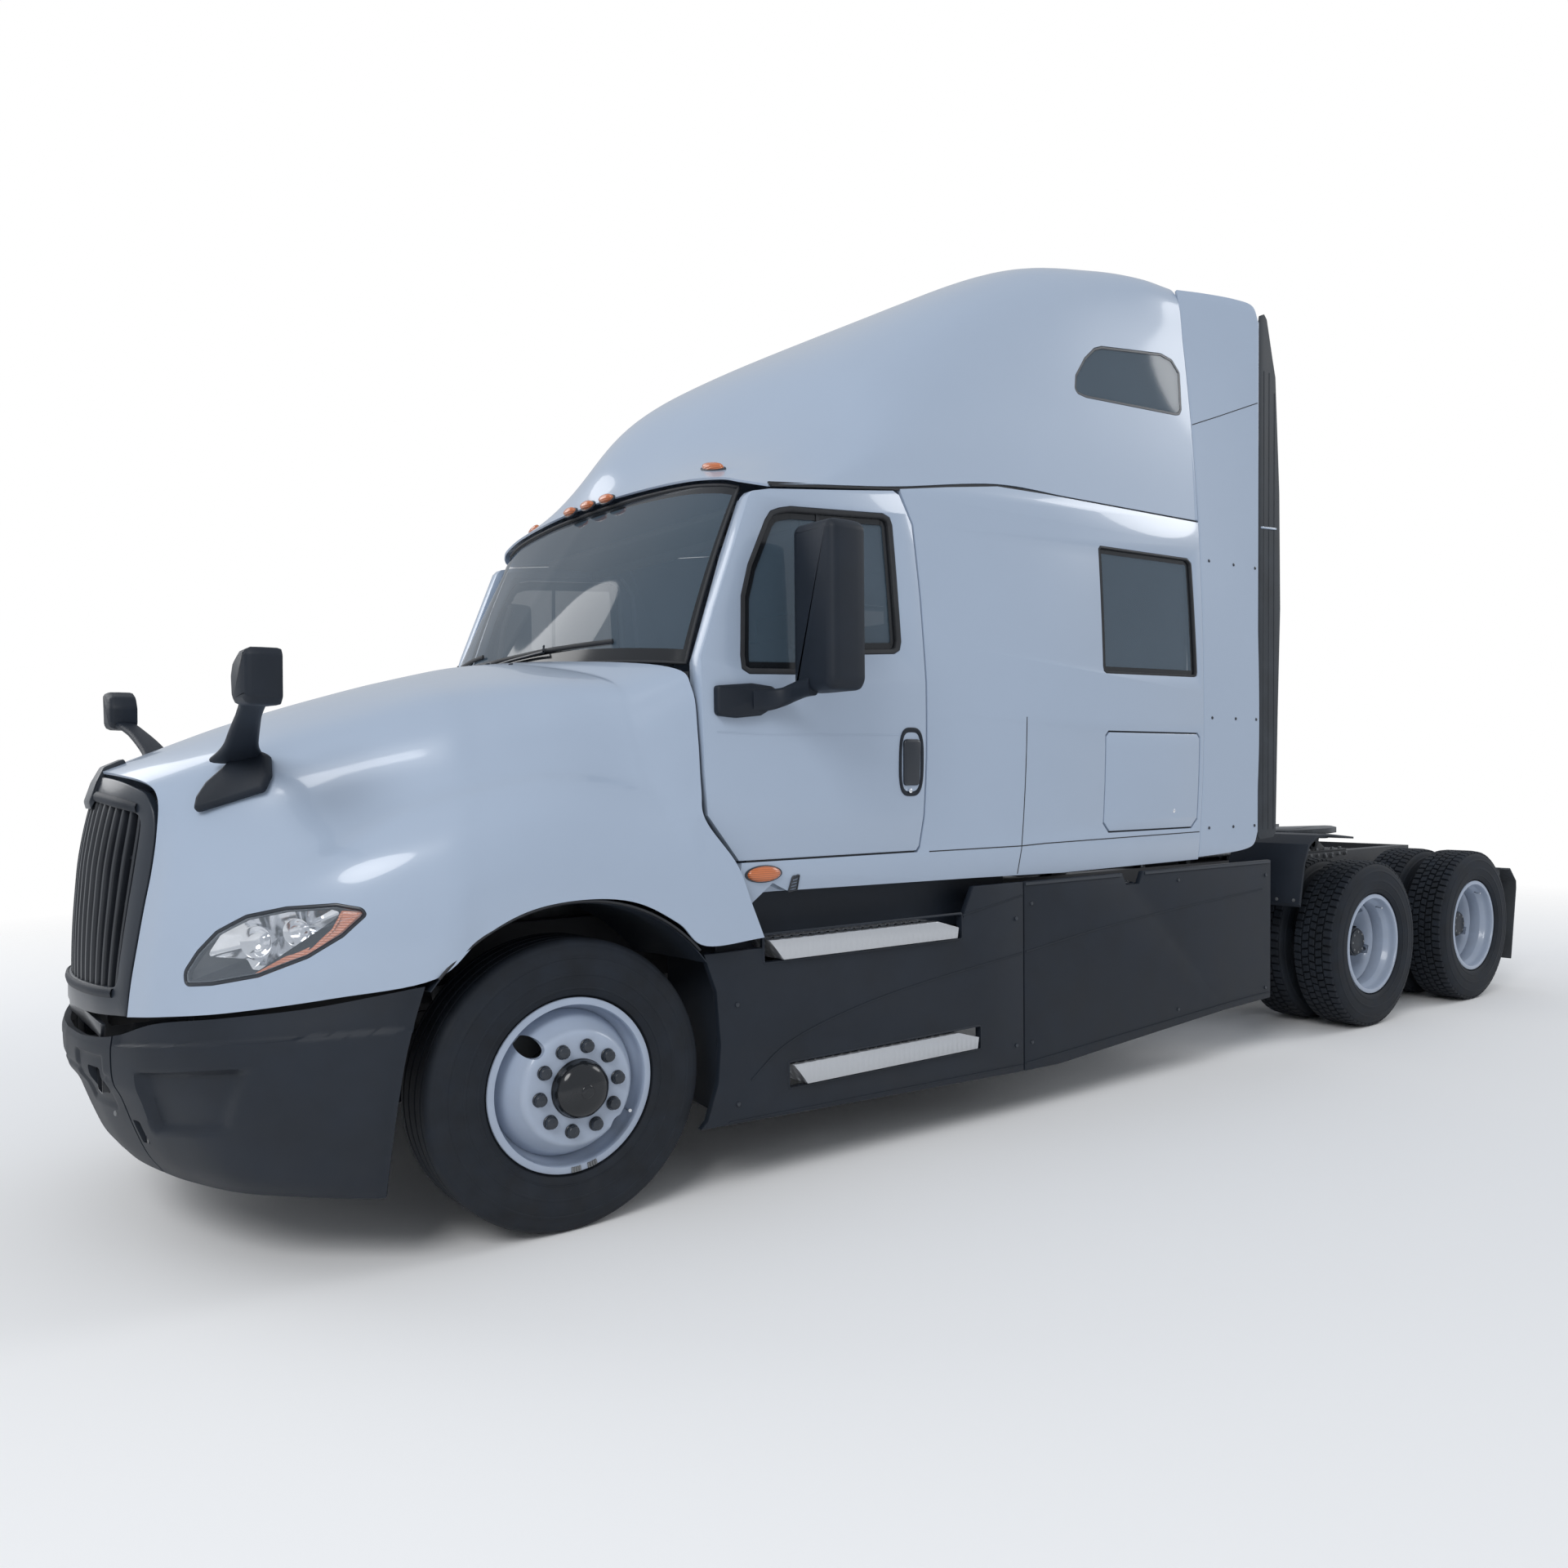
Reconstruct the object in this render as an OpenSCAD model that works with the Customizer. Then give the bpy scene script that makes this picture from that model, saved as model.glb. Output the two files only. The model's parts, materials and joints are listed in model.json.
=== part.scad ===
// Long-haul semi truck tractor unit: three axles, bonneted cab with a high sleeper.
// Lengths in millimetres. X to the truck's left, Y to the rear, Z up.
// Built about the front axle, then moved so that the box's bottom centre is the origin.

/* [Overall] */
// Front axle to the middle of the two drive axles
wheelbase = 5850; // [4800:50:7200]
// Cab width over the door skins at the widest height
body_width = 2380; // [2000:10:2860]
// Ground to the top of the roof
roof_height = 4110; // [3400:10:4900]
// Distance between the two drive axles
tandem_spread = 1320; // [1250:5:1590]

/* [Wheels] */
// Tyre radius, also the height of every axle
tyre_radius = 500; // [460:5:600]
// Tyre width
tyre_width = 280; // [240:5:336]
// Bead seat radius of the rim
bead_radius = 286; // [238:1:343]
// Radius of the rim flange
flange_radius = 300; // [290:1:315]
// Middle of the front tyres from the centre line
front_track_half = 1020; // [960:5:1100]
// Middle plane of each pair of rear tyres
rear_track_half = 916; // [860:2:980]
// Distance between the two tyres of a pair
dual_spacing = 342; // [320:2:400]
// Outward offset of a wheel disc from the tyre's middle
disc_offset = 166; // [150:1:175]
// Kingpin axis from the centre line
kingpin_half = 860; // [800:5:900]
// Kingpin radius
kingpin_radius = 24; // [18:1:30]
// Front spindle radius
spindle_radius = 42; // [34:1:50]
// Rear spindle radius
rear_spindle_radius = 55; // [45:1:66]

/* [Frame] */
// Width over the two frame rails
frame_width = 864; // [780:2:1030]
// Height of a frame rail
rail_height = 270; // [225:5:324]
// Flange width of a frame rail
rail_flange = 90; // [75:1:110]
// Thickness of a frame rail
rail_wall = 9; // [7:1:14]
// Top of the frame rails above the ground
frame_top = 985; // [940:5:1040]

/* [Fifth wheel] */
// Height of the coupling plate's top face
fifth_wheel_top = 1150; // [1130:5:1300]
// Width of the coupling plate
fifth_wheel_width = 900; // [760:10:1000]
// Radius of the kingpin lock
lock_radius = 25.4; // [25.4, 44.5]
// Radius of the coupling plate's pivot pins
pivot_radius = 30; // [24:1:36]

/* [Cab] */
// Thickness of the cab walls and doors
wall = 60; // [45:1:75]
// Thickness of the hood and roof skins
skin = 10; // [8:1:14]
// Inner face of the cab's back wall from the front axle
cab_back = 3400; // [3000:10:3800]
// Thickness of the glass
glass = 8; // [6:1:12]
// Height of the door's lower edge
door_bottom = 1230; // [1180:5:1260]
// Rear edge of the door
door_rear = 1579; // [1500:1:1620]
// Height of the luggage door's lower edge
luggage_bottom = 1266; // [1250:2:1400]
// Height of the luggage door
luggage_height = 472; // [390:2:560]

/* [Clearances] */
// Gap around a door or lid
panel_gap = 8; // [6:1:12]
// Gap between fixed panels
seam = 2; // [1:0.5:4]
// Gap between a closed door and the frame behind it
door_seal = 12; // [10:1:20]
// Radial clearance of a pin in its bore
pin_clearance = 0.08; // [0.02:0.01:0.1]
// Gap between faces that turn past each other
turn_gap = 6; // [5:1:10]

/* [Hidden] */

axle_z = tyre_radius;
drive_front = wheelbase - tandem_spread / 2;
drive_rear = wheelbase + tandem_spread / 2;
rail_half = frame_width / 2;
frame_bottom = frame_top - rail_height;
rail_rear = drive_rear + 600;
flap_rear = drive_rear + 856;
bumper_front = -1306;
mid_y = (bumper_front + flap_rear) / 2;
widest_z = 1800;
half_w = body_width / 2;
kx = body_width / 2380;
kz = (roof_height - 2800) / (4110 - 2800);
cab_rear = cab_back + 99;
white = [0.93, 0.94, 0.95];
black = [0.08, 0.08, 0.09];
steel = [0.35, 0.36, 0.38];
alloy = [0.75, 0.76, 0.78];
dark_glass = [0.25, 0.3, 0.34];
rubber = [0.05, 0.05, 0.05];

// ---- curves and skins ----

function cr(a, b, c, d, t) =
  0.5 * (2 * b + (c - a) * t + (2 * a - 5 * b + 4 * c - d) * t * t
  + (3 * b - a - 3 * c + d) * t * t * t);

function spline(p, s) =
  let (n = len(p) - 1, i = min(floor(s), n - 1), t = s - i)
  let (b = p[i], c = p[i + 1])
  let (a = i > 0 ? p[i - 1] : 2 * b - c, d = i + 2 <= n ? p[i + 2] : 2 * c - b)
  cr(a, b, c, d, t);

function unit(v) = v / norm(v);

// Points of a grid of columns, cut finer along (nu) and across (nv)
function fine(g, nu, nv) =
  [for (a = [0 : (len(g) - 1) * nu])
    let (col = [for (j = [0 : len(g[0]) - 1]) spline([for (c = g) c[j]], a / nu)])
    [for (b = [0 : (len(g[0]) - 1) * nv]) spline(col, b / nv)]];

// Adds the mirror half to each column, whose last point lies on the centre line
function mirrored(g) =
  [for (c = g) concat(c, [for (j = [len(c) - 2 : -1 : 0]) [-c[j][0], c[j][1], c[j][2]]])];

function grid_normal(g, i, j) =
  let (ni = len(g) - 1, nj = len(g[0]) - 1)
  let (du = g[min(i + 1, ni)][j] - g[max(i - 1, 0)][j])
  let (dv = g[i][min(j + 1, nj)] - g[i][max(j - 1, 0)])
  unit(cross(du, dv));

function shifted(g, t) =
  [for (i = [0 : len(g) - 1]) [for (j = [0 : len(g[0]) - 1])
    g[i][j] - t * grid_normal(g, i, j)]];

// A sheet of even thickness t on the inner side of a grid
module sheet(g, t) {
  ni = len(g);
  nj = len(g[0]);
  h = shifted(g, t);
  pts = concat([for (c = g) each c], [for (c = h) each c]);
  o = ni * nj;
  function id(i, j) = i * nj + j;
  outer = [for (i = [0 : ni - 2]) for (j = [0 : nj - 2])
    each [[id(i, j), id(i, j + 1), id(i + 1, j + 1)],
          [id(i, j), id(i + 1, j + 1), id(i + 1, j)]]];
  inner = [for (f = outer) [f[0] + o, f[2] + o, f[1] + o]];
  ends_j = [for (i = [0 : ni - 2])
    each [[id(i, 0), id(i + 1, 0), id(i + 1, 0) + o],
          [id(i, 0), id(i + 1, 0) + o, id(i, 0) + o],
          [id(i + 1, nj - 1), id(i, nj - 1), id(i, nj - 1) + o],
          [id(i + 1, nj - 1), id(i, nj - 1) + o, id(i + 1, nj - 1) + o]]];
  ends_i = [for (j = [0 : nj - 2])
    each [[id(0, j + 1), id(0, j), id(0, j) + o],
          [id(0, j + 1), id(0, j) + o, id(0, j + 1) + o],
          [id(ni - 1, j), id(ni - 1, j + 1), id(ni - 1, j + 1) + o],
          [id(ni - 1, j), id(ni - 1, j + 1) + o, id(ni - 1, j) + o]]];
  polyhedron(pts, concat(outer, inner, ends_j, ends_i), convexity = 6);
}

// Half width of the cab skin at a height
function skin_x(z) =
  z > widest_z ? half_w - 0.034e-3 * pow(z - widest_z, 2) / (kz * kz)
  : half_w - 0.07e-3 * pow(widest_z - z, 2);

// Heights above the roof seam follow the roof height
function rz(z) = z <= 2800 ? z : 2800 + (z - 2800) * kz;

// ---- helpers ----

module placed() {
  translate([0, -mid_y, 0]) children();
}

module both() {
  children();
  mirror([1, 0, 0]) children();
}

// Children drawn in Y and Z, as thick as from x0 to x1
module along_x(x0, x1) {
  translate([x0, 0, 0]) rotate([90, 0, 90]) linear_extrude(x1 - x0) children();
}

// Children drawn in X and Z, from y0 to y1
module along_y(y0, y1) {
  translate([0, y1, 0]) rotate([90, 0, 0]) linear_extrude(y1 - y0) children();
}

module rod(x0, x1, r) {
  translate([x0, 0, 0]) rotate([0, 90, 0]) cylinder(h = x1 - x0, r = r);
}

module box(a, b) {
  translate(a) cube(b - a);
}

// The curved side band of the cab, from depth d0 to depth d1 under the skin
module side_band(z0, z1, d0, d1, y0, y1) {
  n = 12;
  zs = [for (k = [0 : n]) z0 + (z1 - z0) * k / n];
  along_y(y0, y1) polygon(concat(
    [for (z = zs) [skin_x(z) - d0, z]],
    [for (k = [n : -1 : 0]) [skin_x(zs[k]) - d1, zs[k]]]));
}

// A flat outline in Y and Z, pressed into the side band
module side_panel(d0, d1, z0, z1, y0, y1) {
  intersection() {
    side_band(z0, z1, d0, d1, y0, y1);
    along_x(half_w - 400, half_w + 50) children();
  }
}

// ---- outlines in Y and Z ----

g = panel_gap;
door_outline = [
  [664, door_bottom], [524, 1403], [509, 1560], [503, 1695], [498, 1834], [495, 1974],
  [555, 2151], [643, 2375], [722, 2580], [742, 2601], [820, 2620], [1205, 2668],
  [1432, 2698], [1464, 2684], [door_rear - 54, 2569], [door_rear - 24, 2276],
  [door_rear, 1924], [door_rear, 1608], [door_rear - 6, 1376], [door_rear - 26, 1250],
  [door_rear - 40, door_bottom]];
door_hole = [
  [716, door_bottom + 45], [574, 1425], [560, 1700], [556, 1955], [700, 2370],
  [788, 2560], [1400, 2620], [door_rear - 108, 2528], [door_rear - 80, 2270],
  [door_rear - 58, 1920], [door_rear - 58, 1610], [door_rear - 64, 1390],
  [door_rear - 84, door_bottom + 45]];
door_window = [
  [858, 2553], [912, 2566], [1372, 2598], [1408, 2586], [1420, 2556], [1449, 2085],
  [1440, 2050], [1411, 2034], [1250, 2023], [1110, 1975], [1008, 1940], [922, 1929],
  [705, 1921], [672, 1938], [666, 1985], [674, 2207], [708, 2325], [792, 2500],
  [818, 2536]];
door_window_glass = [
  [868, 2541], [914, 2553], [1370, 2585], [1398, 2577], [1407, 2552], [1436, 2087],
  [1428, 2059], [1407, 2047], [1247, 2036], [1106, 1988], [1004, 1953], [920, 1942],
  [709, 1934], [683, 1947], [679, 1987], [687, 2205], [720, 2320], [804, 2494],
  [828, 2527]];
cab_side_outline = [
  [721, 1063], [819, 1139], [886, 1106], [1889, 1094], [2449, 1084], [cab_rear, 1094],
  [cab_rear, 2824], [2346, 2811], [2040, 2802], [1735, 2755], [1472, 2710],
  [1474, 2694], [door_rear - 45, 2572], [door_rear - 16, 2277],
  [door_rear + g, 1924], [door_rear + g, 1606], [door_rear + 2, 1372],
  [door_rear - 18, 1240], [door_rear - 32, door_bottom - g], [676, door_bottom - g],
  [672, door_bottom - g - 30]];
sleeper_window = [
  [2698, 2602], [2712, 2618], [3390, 2630], [3424, 2608], [3446, 2052],
  [3440, 2034], [3420, 2028], [2732, 2016], [2714, 2026], [2708, 2050]];
sleeper_pane = [
  [2710, 2598], [2718, 2606], [3382, 2618], [3412, 2600], [3434, 2054],
  [3429, 2044], [3414, 2040], [2736, 2028], [2725, 2034], [2720, 2052]];
roof_window = [
  [2600, rz(3344)], [2612, rz(3410)], [2690, rz(3510)], [2771, rz(3576)],
  [2830, rz(3598)], [3299, rz(3664)], [3390, rz(3650)], [3446, rz(3592)],
  [3432, rz(3396)], [3410, rz(3366)], [3374, rz(3357)], [2680, rz(3315)],
  [2620, rz(3322)]];
roof_pane = [
  [2612, rz(3346)], [2624, rz(3404)], [2699, rz(3501)], [2776, rz(3564)],
  [2833, rz(3586)], [3299, rz(3652)], [3384, rz(3639)], [3434, rz(3588)],
  [3420, rz(3400)], [3402, rz(3376)], [3372, rz(3369)], [2680, rz(3327)],
  [2624, rz(3333)]];
luggage_y = [2730, 3462];
luggage_top = luggage_bottom + luggage_height;

module luggage_outline(m) {
  y0 = luggage_y[0] - m;
  y1 = luggage_y[1] + m;
  z0 = luggage_bottom - m;
  z1 = luggage_top + m;
  c = 45;
  polygon([[y0 + c, z0], [y1 - c, z0], [y1, z0 + c], [y1, z1 - c / 2],
           [y1 - c / 2, z1], [y0 + c / 2, z1], [y0, z1 - c / 2], [y0, z0 + c]]);
}

// The side extenders flare from the cab's section to an upright rear edge
extender_edge = half_w - 8;
function extender_x(y, z) =
  let (t = (y - cab_rear) / 500)
  skin_x(z) + max(0, t) * max(0, extender_edge - skin_x(z));
extender_top = [4045, 4050, 4046, 4024, 3940];
extender_low = [1104, 1112, 1124, 1150, 1220];
extender_y = [for (d = [2, 170, 350, 460, 500]) cab_rear + d];
extender_grid = [for (i = [0 : 4]) [for (k = [0 : 10])
  let (z = extender_low[i] + (rz(extender_top[i]) - extender_low[i]) * k / 10)
  [extender_x(extender_y[i], z), extender_y[i], z]]];
flap_outline = [
  [cab_rear + 513, 1196], [cab_rear + 513, rz(3950)], [cab_rear + 520, rz(3986)],
  [cab_rear + 560, rz(4003)], [cab_rear + 586, rz(3980)], [cab_rear + 643, rz(3776)],
  [cab_rear + 670, rz(3687)], [cab_rear + 711, 3068], [cab_rear + 722, 2438],
  [cab_rear + 701, 1877], [cab_rear + 683, 1208], [cab_rear + 660, 1184],
  [cab_rear + 530, 1176]];

// ---- hood, bumper, roof and windscreen surfaces ----

// Columns run from the grille edge to the rear edge, each from the lower edge to the centre
hood_half = [
  [[478, -1196, 797], [478, -1183, 900], [478, -1162, 1020], [478, -1140, 1140],
   [478, -1116, 1260], [476, -1099, 1380], [462, -1092, 1490], [385, -1112, 1540],
   [190, -1160, 1568], [0, -1184, 1578]],
  [[650, -1135, 814], [654, -1124, 920], [650, -1108, 1040], [636, -1090, 1150],
   [614, -1066, 1260], [590, -1036, 1380], [555, -1006, 1490], [468, -1000, 1580],
   [240, -1010, 1634], [0, -1015, 1648]],
  [[857, -990, 837], [868, -985, 945], [868, -972, 1065], [845, -950, 1190],
   [788, -915, 1310], [728, -870, 1440], [668, -830, 1570], [560, -800, 1672],
   [290, -780, 1732], [0, -770, 1748]],
  [[1060, -745, 878], [1080, -738, 990], [1085, -722, 1120], [1058, -700, 1260],
   [970, -665, 1390], [868, -620, 1530], [785, -585, 1660], [660, -560, 1752],
   [340, -540, 1815], [0, -530, 1832]],
  [[1193, -478, 924], [1203, -470, 1050], [1198, -455, 1190], [1165, -435, 1330],
   [1088, -400, 1455], [988, -370, 1590], [890, -345, 1730], [740, -325, 1830],
   [385, -305, 1888], [0, -300, 1905]],
  [[1206, -329, 1042], [1212, -323, 1146], [1208, -311, 1256], [1177, -295, 1378],
   [1108, -265, 1492], [1019, -242, 1614], [928, -220, 1752], [780, -203, 1853],
   [406, -194, 1915], [0, -205, 1932]],
  [[1209, -162, 1116], [1212, -156, 1206], [1205, -145, 1310], [1180, -133, 1420],
   [1120, -112, 1528], [1046, -95, 1638], [968, -78, 1773], [825, -65, 1875],
   [428, -73, 1941], [0, -104, 1959]],
  [[1210, 40, 1136], [1210, 40, 1220], [1203, 38, 1325], [1182, 38, 1436],
   [1132, 42, 1542], [1072, 46, 1648], [1008, 56, 1785], [870, 62, 1890],
   [450, 30, 1962], [0, -20, 1980]],
  [[1212, 220, 1110], [1212, 214, 1196], [1206, 209, 1298], [1188, 201, 1402],
   [1149, 187, 1509], [1101, 173, 1627], [1043, 167, 1775], [919, 167, 1892],
   [469, 97, 1972], [0, 36, 1991]],
  [[1212, 380, 1026], [1212, 370, 1126], [1208, 352, 1242], [1194, 328, 1352],
   [1162, 294, 1466], [1124, 262, 1600], [1072, 244, 1762], [960, 236, 1890],
   [485, 132, 1975], [0, 64, 1994]],
  [[1213, 490, 936], [1213, 476, 1062], [1209, 452, 1202], [1198, 415, 1320],
   [1172, 370, 1440], [1140, 330, 1590], [1096, 305, 1760], [988, 290, 1892],
   [500, 165, 1977], [0, 90, 1998]],
  [[1213, 742, 944], [1213, 690, 1070], [1209, 628, 1222], [1200, 504, 1388],
   [1188, 494, 1500], [1178, 488, 1690], [1150, 482, 1860], [1052, 448, 1944],
   [600, 276, 1988], [0, 168, 2008]]];
hood_grid = mirrored(fine([for (c = hood_half) [for (p = c) [p[0] * kx, p[1], p[2]]]], 2, 2));

// Columns run from the centre outwards, each from the lower edge up
bumper_half = [
  [[0, -1150, 268], [0, -1198, 340], [0, -1234, 430], [0, -1268, 530], [0, -1300, 590],
   [0, -1306, 680], [0, -1298, 712]],
  [[230, -1134, 268], [230, -1182, 340], [230, -1218, 430], [230, -1252, 530],
   [230, -1282, 590], [230, -1288, 680], [230, -1281, 714]],
  [[430, -1096, 267], [430, -1142, 338], [430, -1178, 430], [430, -1210, 530],
   [430, -1234, 590], [430, -1238, 680], [430, -1232, 734]],
  [[600, -1046, 265], [610, -1090, 334], [618, -1124, 430], [622, -1150, 530],
   [624, -1166, 600], [624, -1166, 700], [620, -1150, 790]],
  [[806, -952, 262], [824, -992, 328], [834, -1020, 430], [838, -1034, 530],
   [840, -1038, 620], [840, -1032, 730], [836, -1008, 820]],
  [[972, -800, 256], [996, -828, 322], [1012, -844, 430], [1020, -852, 540],
   [1024, -852, 640], [1026, -840, 750], [1022, -808, 850]],
  [[1096, -664, 252], [1118, -672, 320], [1134, -672, 440], [1144, -662, 570],
   [1148, -648, 680], [1150, -630, 790], [1150, -604, 888]],
  [[1124, -620, 252], [1146, -618, 320], [1162, -606, 440], [1172, -590, 560],
   [1180, -568, 690], [1184, -540, 800], [1186, -508, 902]]];
bumper_side = fine([for (c = bumper_half) [for (p = c) [p[0] * kx, p[1], p[2]]]], 2, 2);
bumper_grid = concat([for (i = [len(bumper_side) - 1 : -1 : 1])
  [for (p = bumper_side[i]) [-p[0], p[1], p[2]]]], bumper_side);

function sx(z, d) = skin_x(rz(z)) / kx - d;

roof_half = [
  [[sx(2640, 6), 816, 2637], [1125, 775, 2646], [1070, 745, 2660], [980, 722, 2682],
   [750, 698, 2708], [400, 680, 2724], [0, 672, 2730]],
  [[sx(2660, 2), 1000, 2664], [1128, 1040, 2700], [1050, 1035, 2760], [930, 1003, 2820],
   [700, 935, 2880], [360, 824, 2918], [0, 752, 2930]],
  [[sx(2690, 1), 1205, 2687], [1130, 1235, 2790], [1060, 1245, 2890], [950, 1230, 2985],
   [720, 1160, 3085], [370, 1032, 3150], [0, 968, 3174]],
  [[sx(2720, 1), 1475, 2722], [sx(2950, 6), 1500, 2930], [1075, 1500, 3120],
   [975, 1480, 3260], [770, 1430, 3352], [390, 1365, 3398], [0, 1334, 3412]],
  [[sx(2812, 1), 2035, 2812], [sx(3080, 3), 2000, 3080], [1078, 1975, 3410],
   [990, 1960, 3610], [780, 1950, 3702], [400, 1945, 3728], [0, 1940, 3734]],
  [[sx(2820, 1), 2500, 2820], [sx(3160, 1), 2500, 3160], [sx(3580, 4), 2490, 3580],
   [985, 2480, 3852], [800, 2470, 3952], [400, 2465, 3982], [0, 2460, 3988]],
  [[sx(2826, 1), 2960, 2826], [sx(3200, 1), 2955, 3200], [sx(3680, 2), 2950, 3680],
   [988, 2945, 3970], [800, 2940, 4064], [400, 2935, 4096], [0, 2935, 4100]],
  [[sx(2830, 1), 3260, 2830], [sx(3220, 1), 3258, 3220], [sx(3720, 1), 3256, 3720],
   [1008, 3254, 4010], [840, 3252, 4088], [400, 3250, 4108], [0, 3250, 4110]],
  [[sx(2834, 1), cab_rear, 2834], [sx(3240, 1), cab_rear, 3240],
   [sx(3740, 1), cab_rear, 3740], [1012, cab_rear, 4018], [850, cab_rear, 4088],
   [400, cab_rear, 4104], [0, cab_rear, 4106]]];
roof_back_shift = cab_back - 3400;
function shift_y(y) = y >= cab_rear ? cab_rear : y + roof_back_shift * max(0, y - 2000) / 1499;
roof_grid = mirrored(fine([for (c = roof_half)
  [for (p = c) [p[0] * kx, shift_y(p[1]), rz(p[2])]]], 2, 2));

// The rear panel of the roof, carried down to the back wall's top
roof_seam_z = 2834;
roof_rear_edge = roof_grid[len(roof_grid) - 1];
function dropped(p, f) =
  let (z = roof_seam_z + 8 + f * (p[2] - roof_seam_z - 8))
  [p[0] * (1 - 0.02 * (1 - f)), cab_back + 40 + (cab_rear - cab_back - 40) * f, z];
roof_shell = concat(roof_grid,
  [for (f = [0.75, 0.5, 0.25, 0]) [for (p = roof_rear_edge) dropped(p, f)]]);

screen_low = [[0, 240, 1992], [400, 262, 1987], [750, 340, 1978], [960, 440, 1968],
  [1060, 512, 1960]];
screen_top = [[0, 692, 2706], [400, 699, 2701], [750, 716, 2684], [950, 738, 2660],
  [1042, 766, 2640]];
function screen_at(s, v) =
  let (a = spline(screen_low, s), b = spline(screen_top, s))
  let (m = a + (b - a) * v)
  [m[0] * kx, m[1] - 60 * v * (1 - v), m[2]];
screen_side = [for (i = [0 : 8]) [for (k = [0 : 4]) screen_at(i / 2, k / 4)]];
screen_grid = concat([for (i = [8 : -1 : 1])
  [for (p = screen_side[i]) [-p[0], p[1], p[2]]]], screen_side);

lamp_outline = [
  [-268, 958], [-262, 916], [-164, 923], [-12, 950], [141, 1007], [243, 1069], [308, 1132],
  [295, 1152], [220, 1167], [69, 1158], [-58, 1133], [-155, 1084], [-220, 1022]];
lamp_dir = [0.741, -0.671, 0];
lamp_mid = [930 * kx, -900, 0];

// The lamp's outline as a prism through the hood's corner, from depth a to depth b
module lamp_prism(m, a, b) {
  yaw = atan2(lamp_dir[1], lamp_dir[0]);
  c = [20, 1040];
  translate(lamp_mid) rotate([0, 0, yaw]) along_x(a, b)
    polygon([for (p = lamp_outline) p + m * unit(p - c)]);
}

// ---- chassis ----

module rail() {
  along_y(-1000, rail_rear) translate([rail_half, 0]) polygon([
    [-rail_flange, frame_top], [0, frame_top], [0, frame_bottom],
    [-rail_flange, frame_bottom], [-rail_flange, frame_bottom + rail_wall],
    [-rail_wall, frame_bottom + rail_wall], [-rail_wall, frame_top - rail_wall],
    [-rail_flange, frame_top - rail_wall]]);
}

module cross_member(y) {
  w = rail_half - rail_wall;
  box([-w, y - 50, frame_bottom + 90], [w, y + 50, frame_top - 40]);
}

module frame() {
  color(black) placed() union() {
    both() rail();
    for (y = [-900, 2100, 3300, 4300, wheelbase, rail_rear - 60]) cross_member(y);
    // Rear plate and front bumper brackets
    box([-rail_half, rail_rear, frame_bottom], [rail_half, rail_rear + 12, frame_top]);
    both() box([rail_half - 80, -1120, frame_bottom - 80], [rail_half, -1000, frame_top - 240]);
    both() box([rail_half - 60, -1010, frame_bottom - 80], [rail_half, -780, frame_bottom + 5]);
  }
}

module bumper() {
  color(black) placed() resize([0, 0, 0]) difference() {
    sheet(bumper_grid, 24);
    for (s = [-1, 1]) translate([s * 285, -1340, 575]) box([-52, 0, -52], [52, 180, 52]);
  }
}

module engine_block() {
  color(steel) placed() union() {
    box([-320, -720, 800], [320, 420, 1560]);
    box([-250, 420, 620], [250, 640, 1060]);
    box([-200, 640, 640], [200, 1450, 1000]);
  }
}

shaft_front = [0, 1452, 760];
shaft_rear = [0, drive_front - 322, axle_z + 60];

module driveshaft() {
  v = shaft_rear - shaft_front;
  pitch = acos(v[2] / norm(v));
  color(steel) placed() translate(shaft_front) rotate([-pitch, 0, 0]) union() {
    translate([0, 0, 40]) cylinder(h = norm(v) - 80, r = 52);
    translate([0, 0, 12]) cylinder(h = 40, r = 70);
    translate([0, 0, norm(v) - 52]) cylinder(h = 40, r = 70);
  }
}

module radiator() {
  color(alloy) placed() box([-420, -960, frame_top + 5], [420, -840, 1500]);
}

beam_z = axle_z - 90;
eye_radius = 58;
eye_low = axle_z - 50;
eye_high = axle_z + 50;

module front_axle() {
  color(black) placed() union() {
    difference() {
      union() {
        along_y(-45, 45) polygon([
          [-kingpin_half, eye_low + 10], [-690, eye_low], [-610, beam_z - 60],
          [610, beam_z - 60], [690, eye_low], [kingpin_half, eye_low + 10],
          [kingpin_half, eye_high - 10],
          [620, beam_z + 50], [-620, beam_z + 50], [-kingpin_half, eye_high - 10]]);
        both() translate([kingpin_half, 0, eye_low])
          cylinder(h = eye_high - eye_low, r = eye_radius);
      }
      both() translate([kingpin_half, 0, eye_low - 1])
        cylinder(h = eye_high - eye_low + 2, r = kingpin_radius + pin_clearance);
    }
    both() box([rail_half - 80, -60, beam_z + 40], [rail_half, 60, beam_z + 130]);
  }
}

spring_z = beam_z + 132;

module front_springs() {
  color(steel) placed() both() along_x(rail_half - 78, rail_half - 2) polygon([
    [-760, frame_bottom - 4], [-700, frame_bottom - 4], [-640, frame_bottom - 60],
    [-120, spring_z + 46], [120, spring_z + 46], [640, frame_bottom - 60],
    [700, frame_bottom - 4], [760, frame_bottom - 4], [740, frame_bottom - 70],
    [660, frame_bottom - 100], [120, spring_z], [-120, spring_z],
    [-660, frame_bottom - 100], [-740, frame_bottom - 70]]);
}

tank_radius = 300;
tank_x = rail_half + 70 + tank_radius;
tank_z = 600;

module fuel_tanks() {
  color(alloy) placed() both() {
    translate([tank_x, 2330, tank_z]) rotate([-90, 0, 0]) cylinder(h = 1560, r = tank_radius);
    for (y = [2700, 3450])
      box([rail_half, y, frame_bottom + 20], [tank_x - 160, y + 60, frame_bottom + 60]);
  }
}

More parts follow.
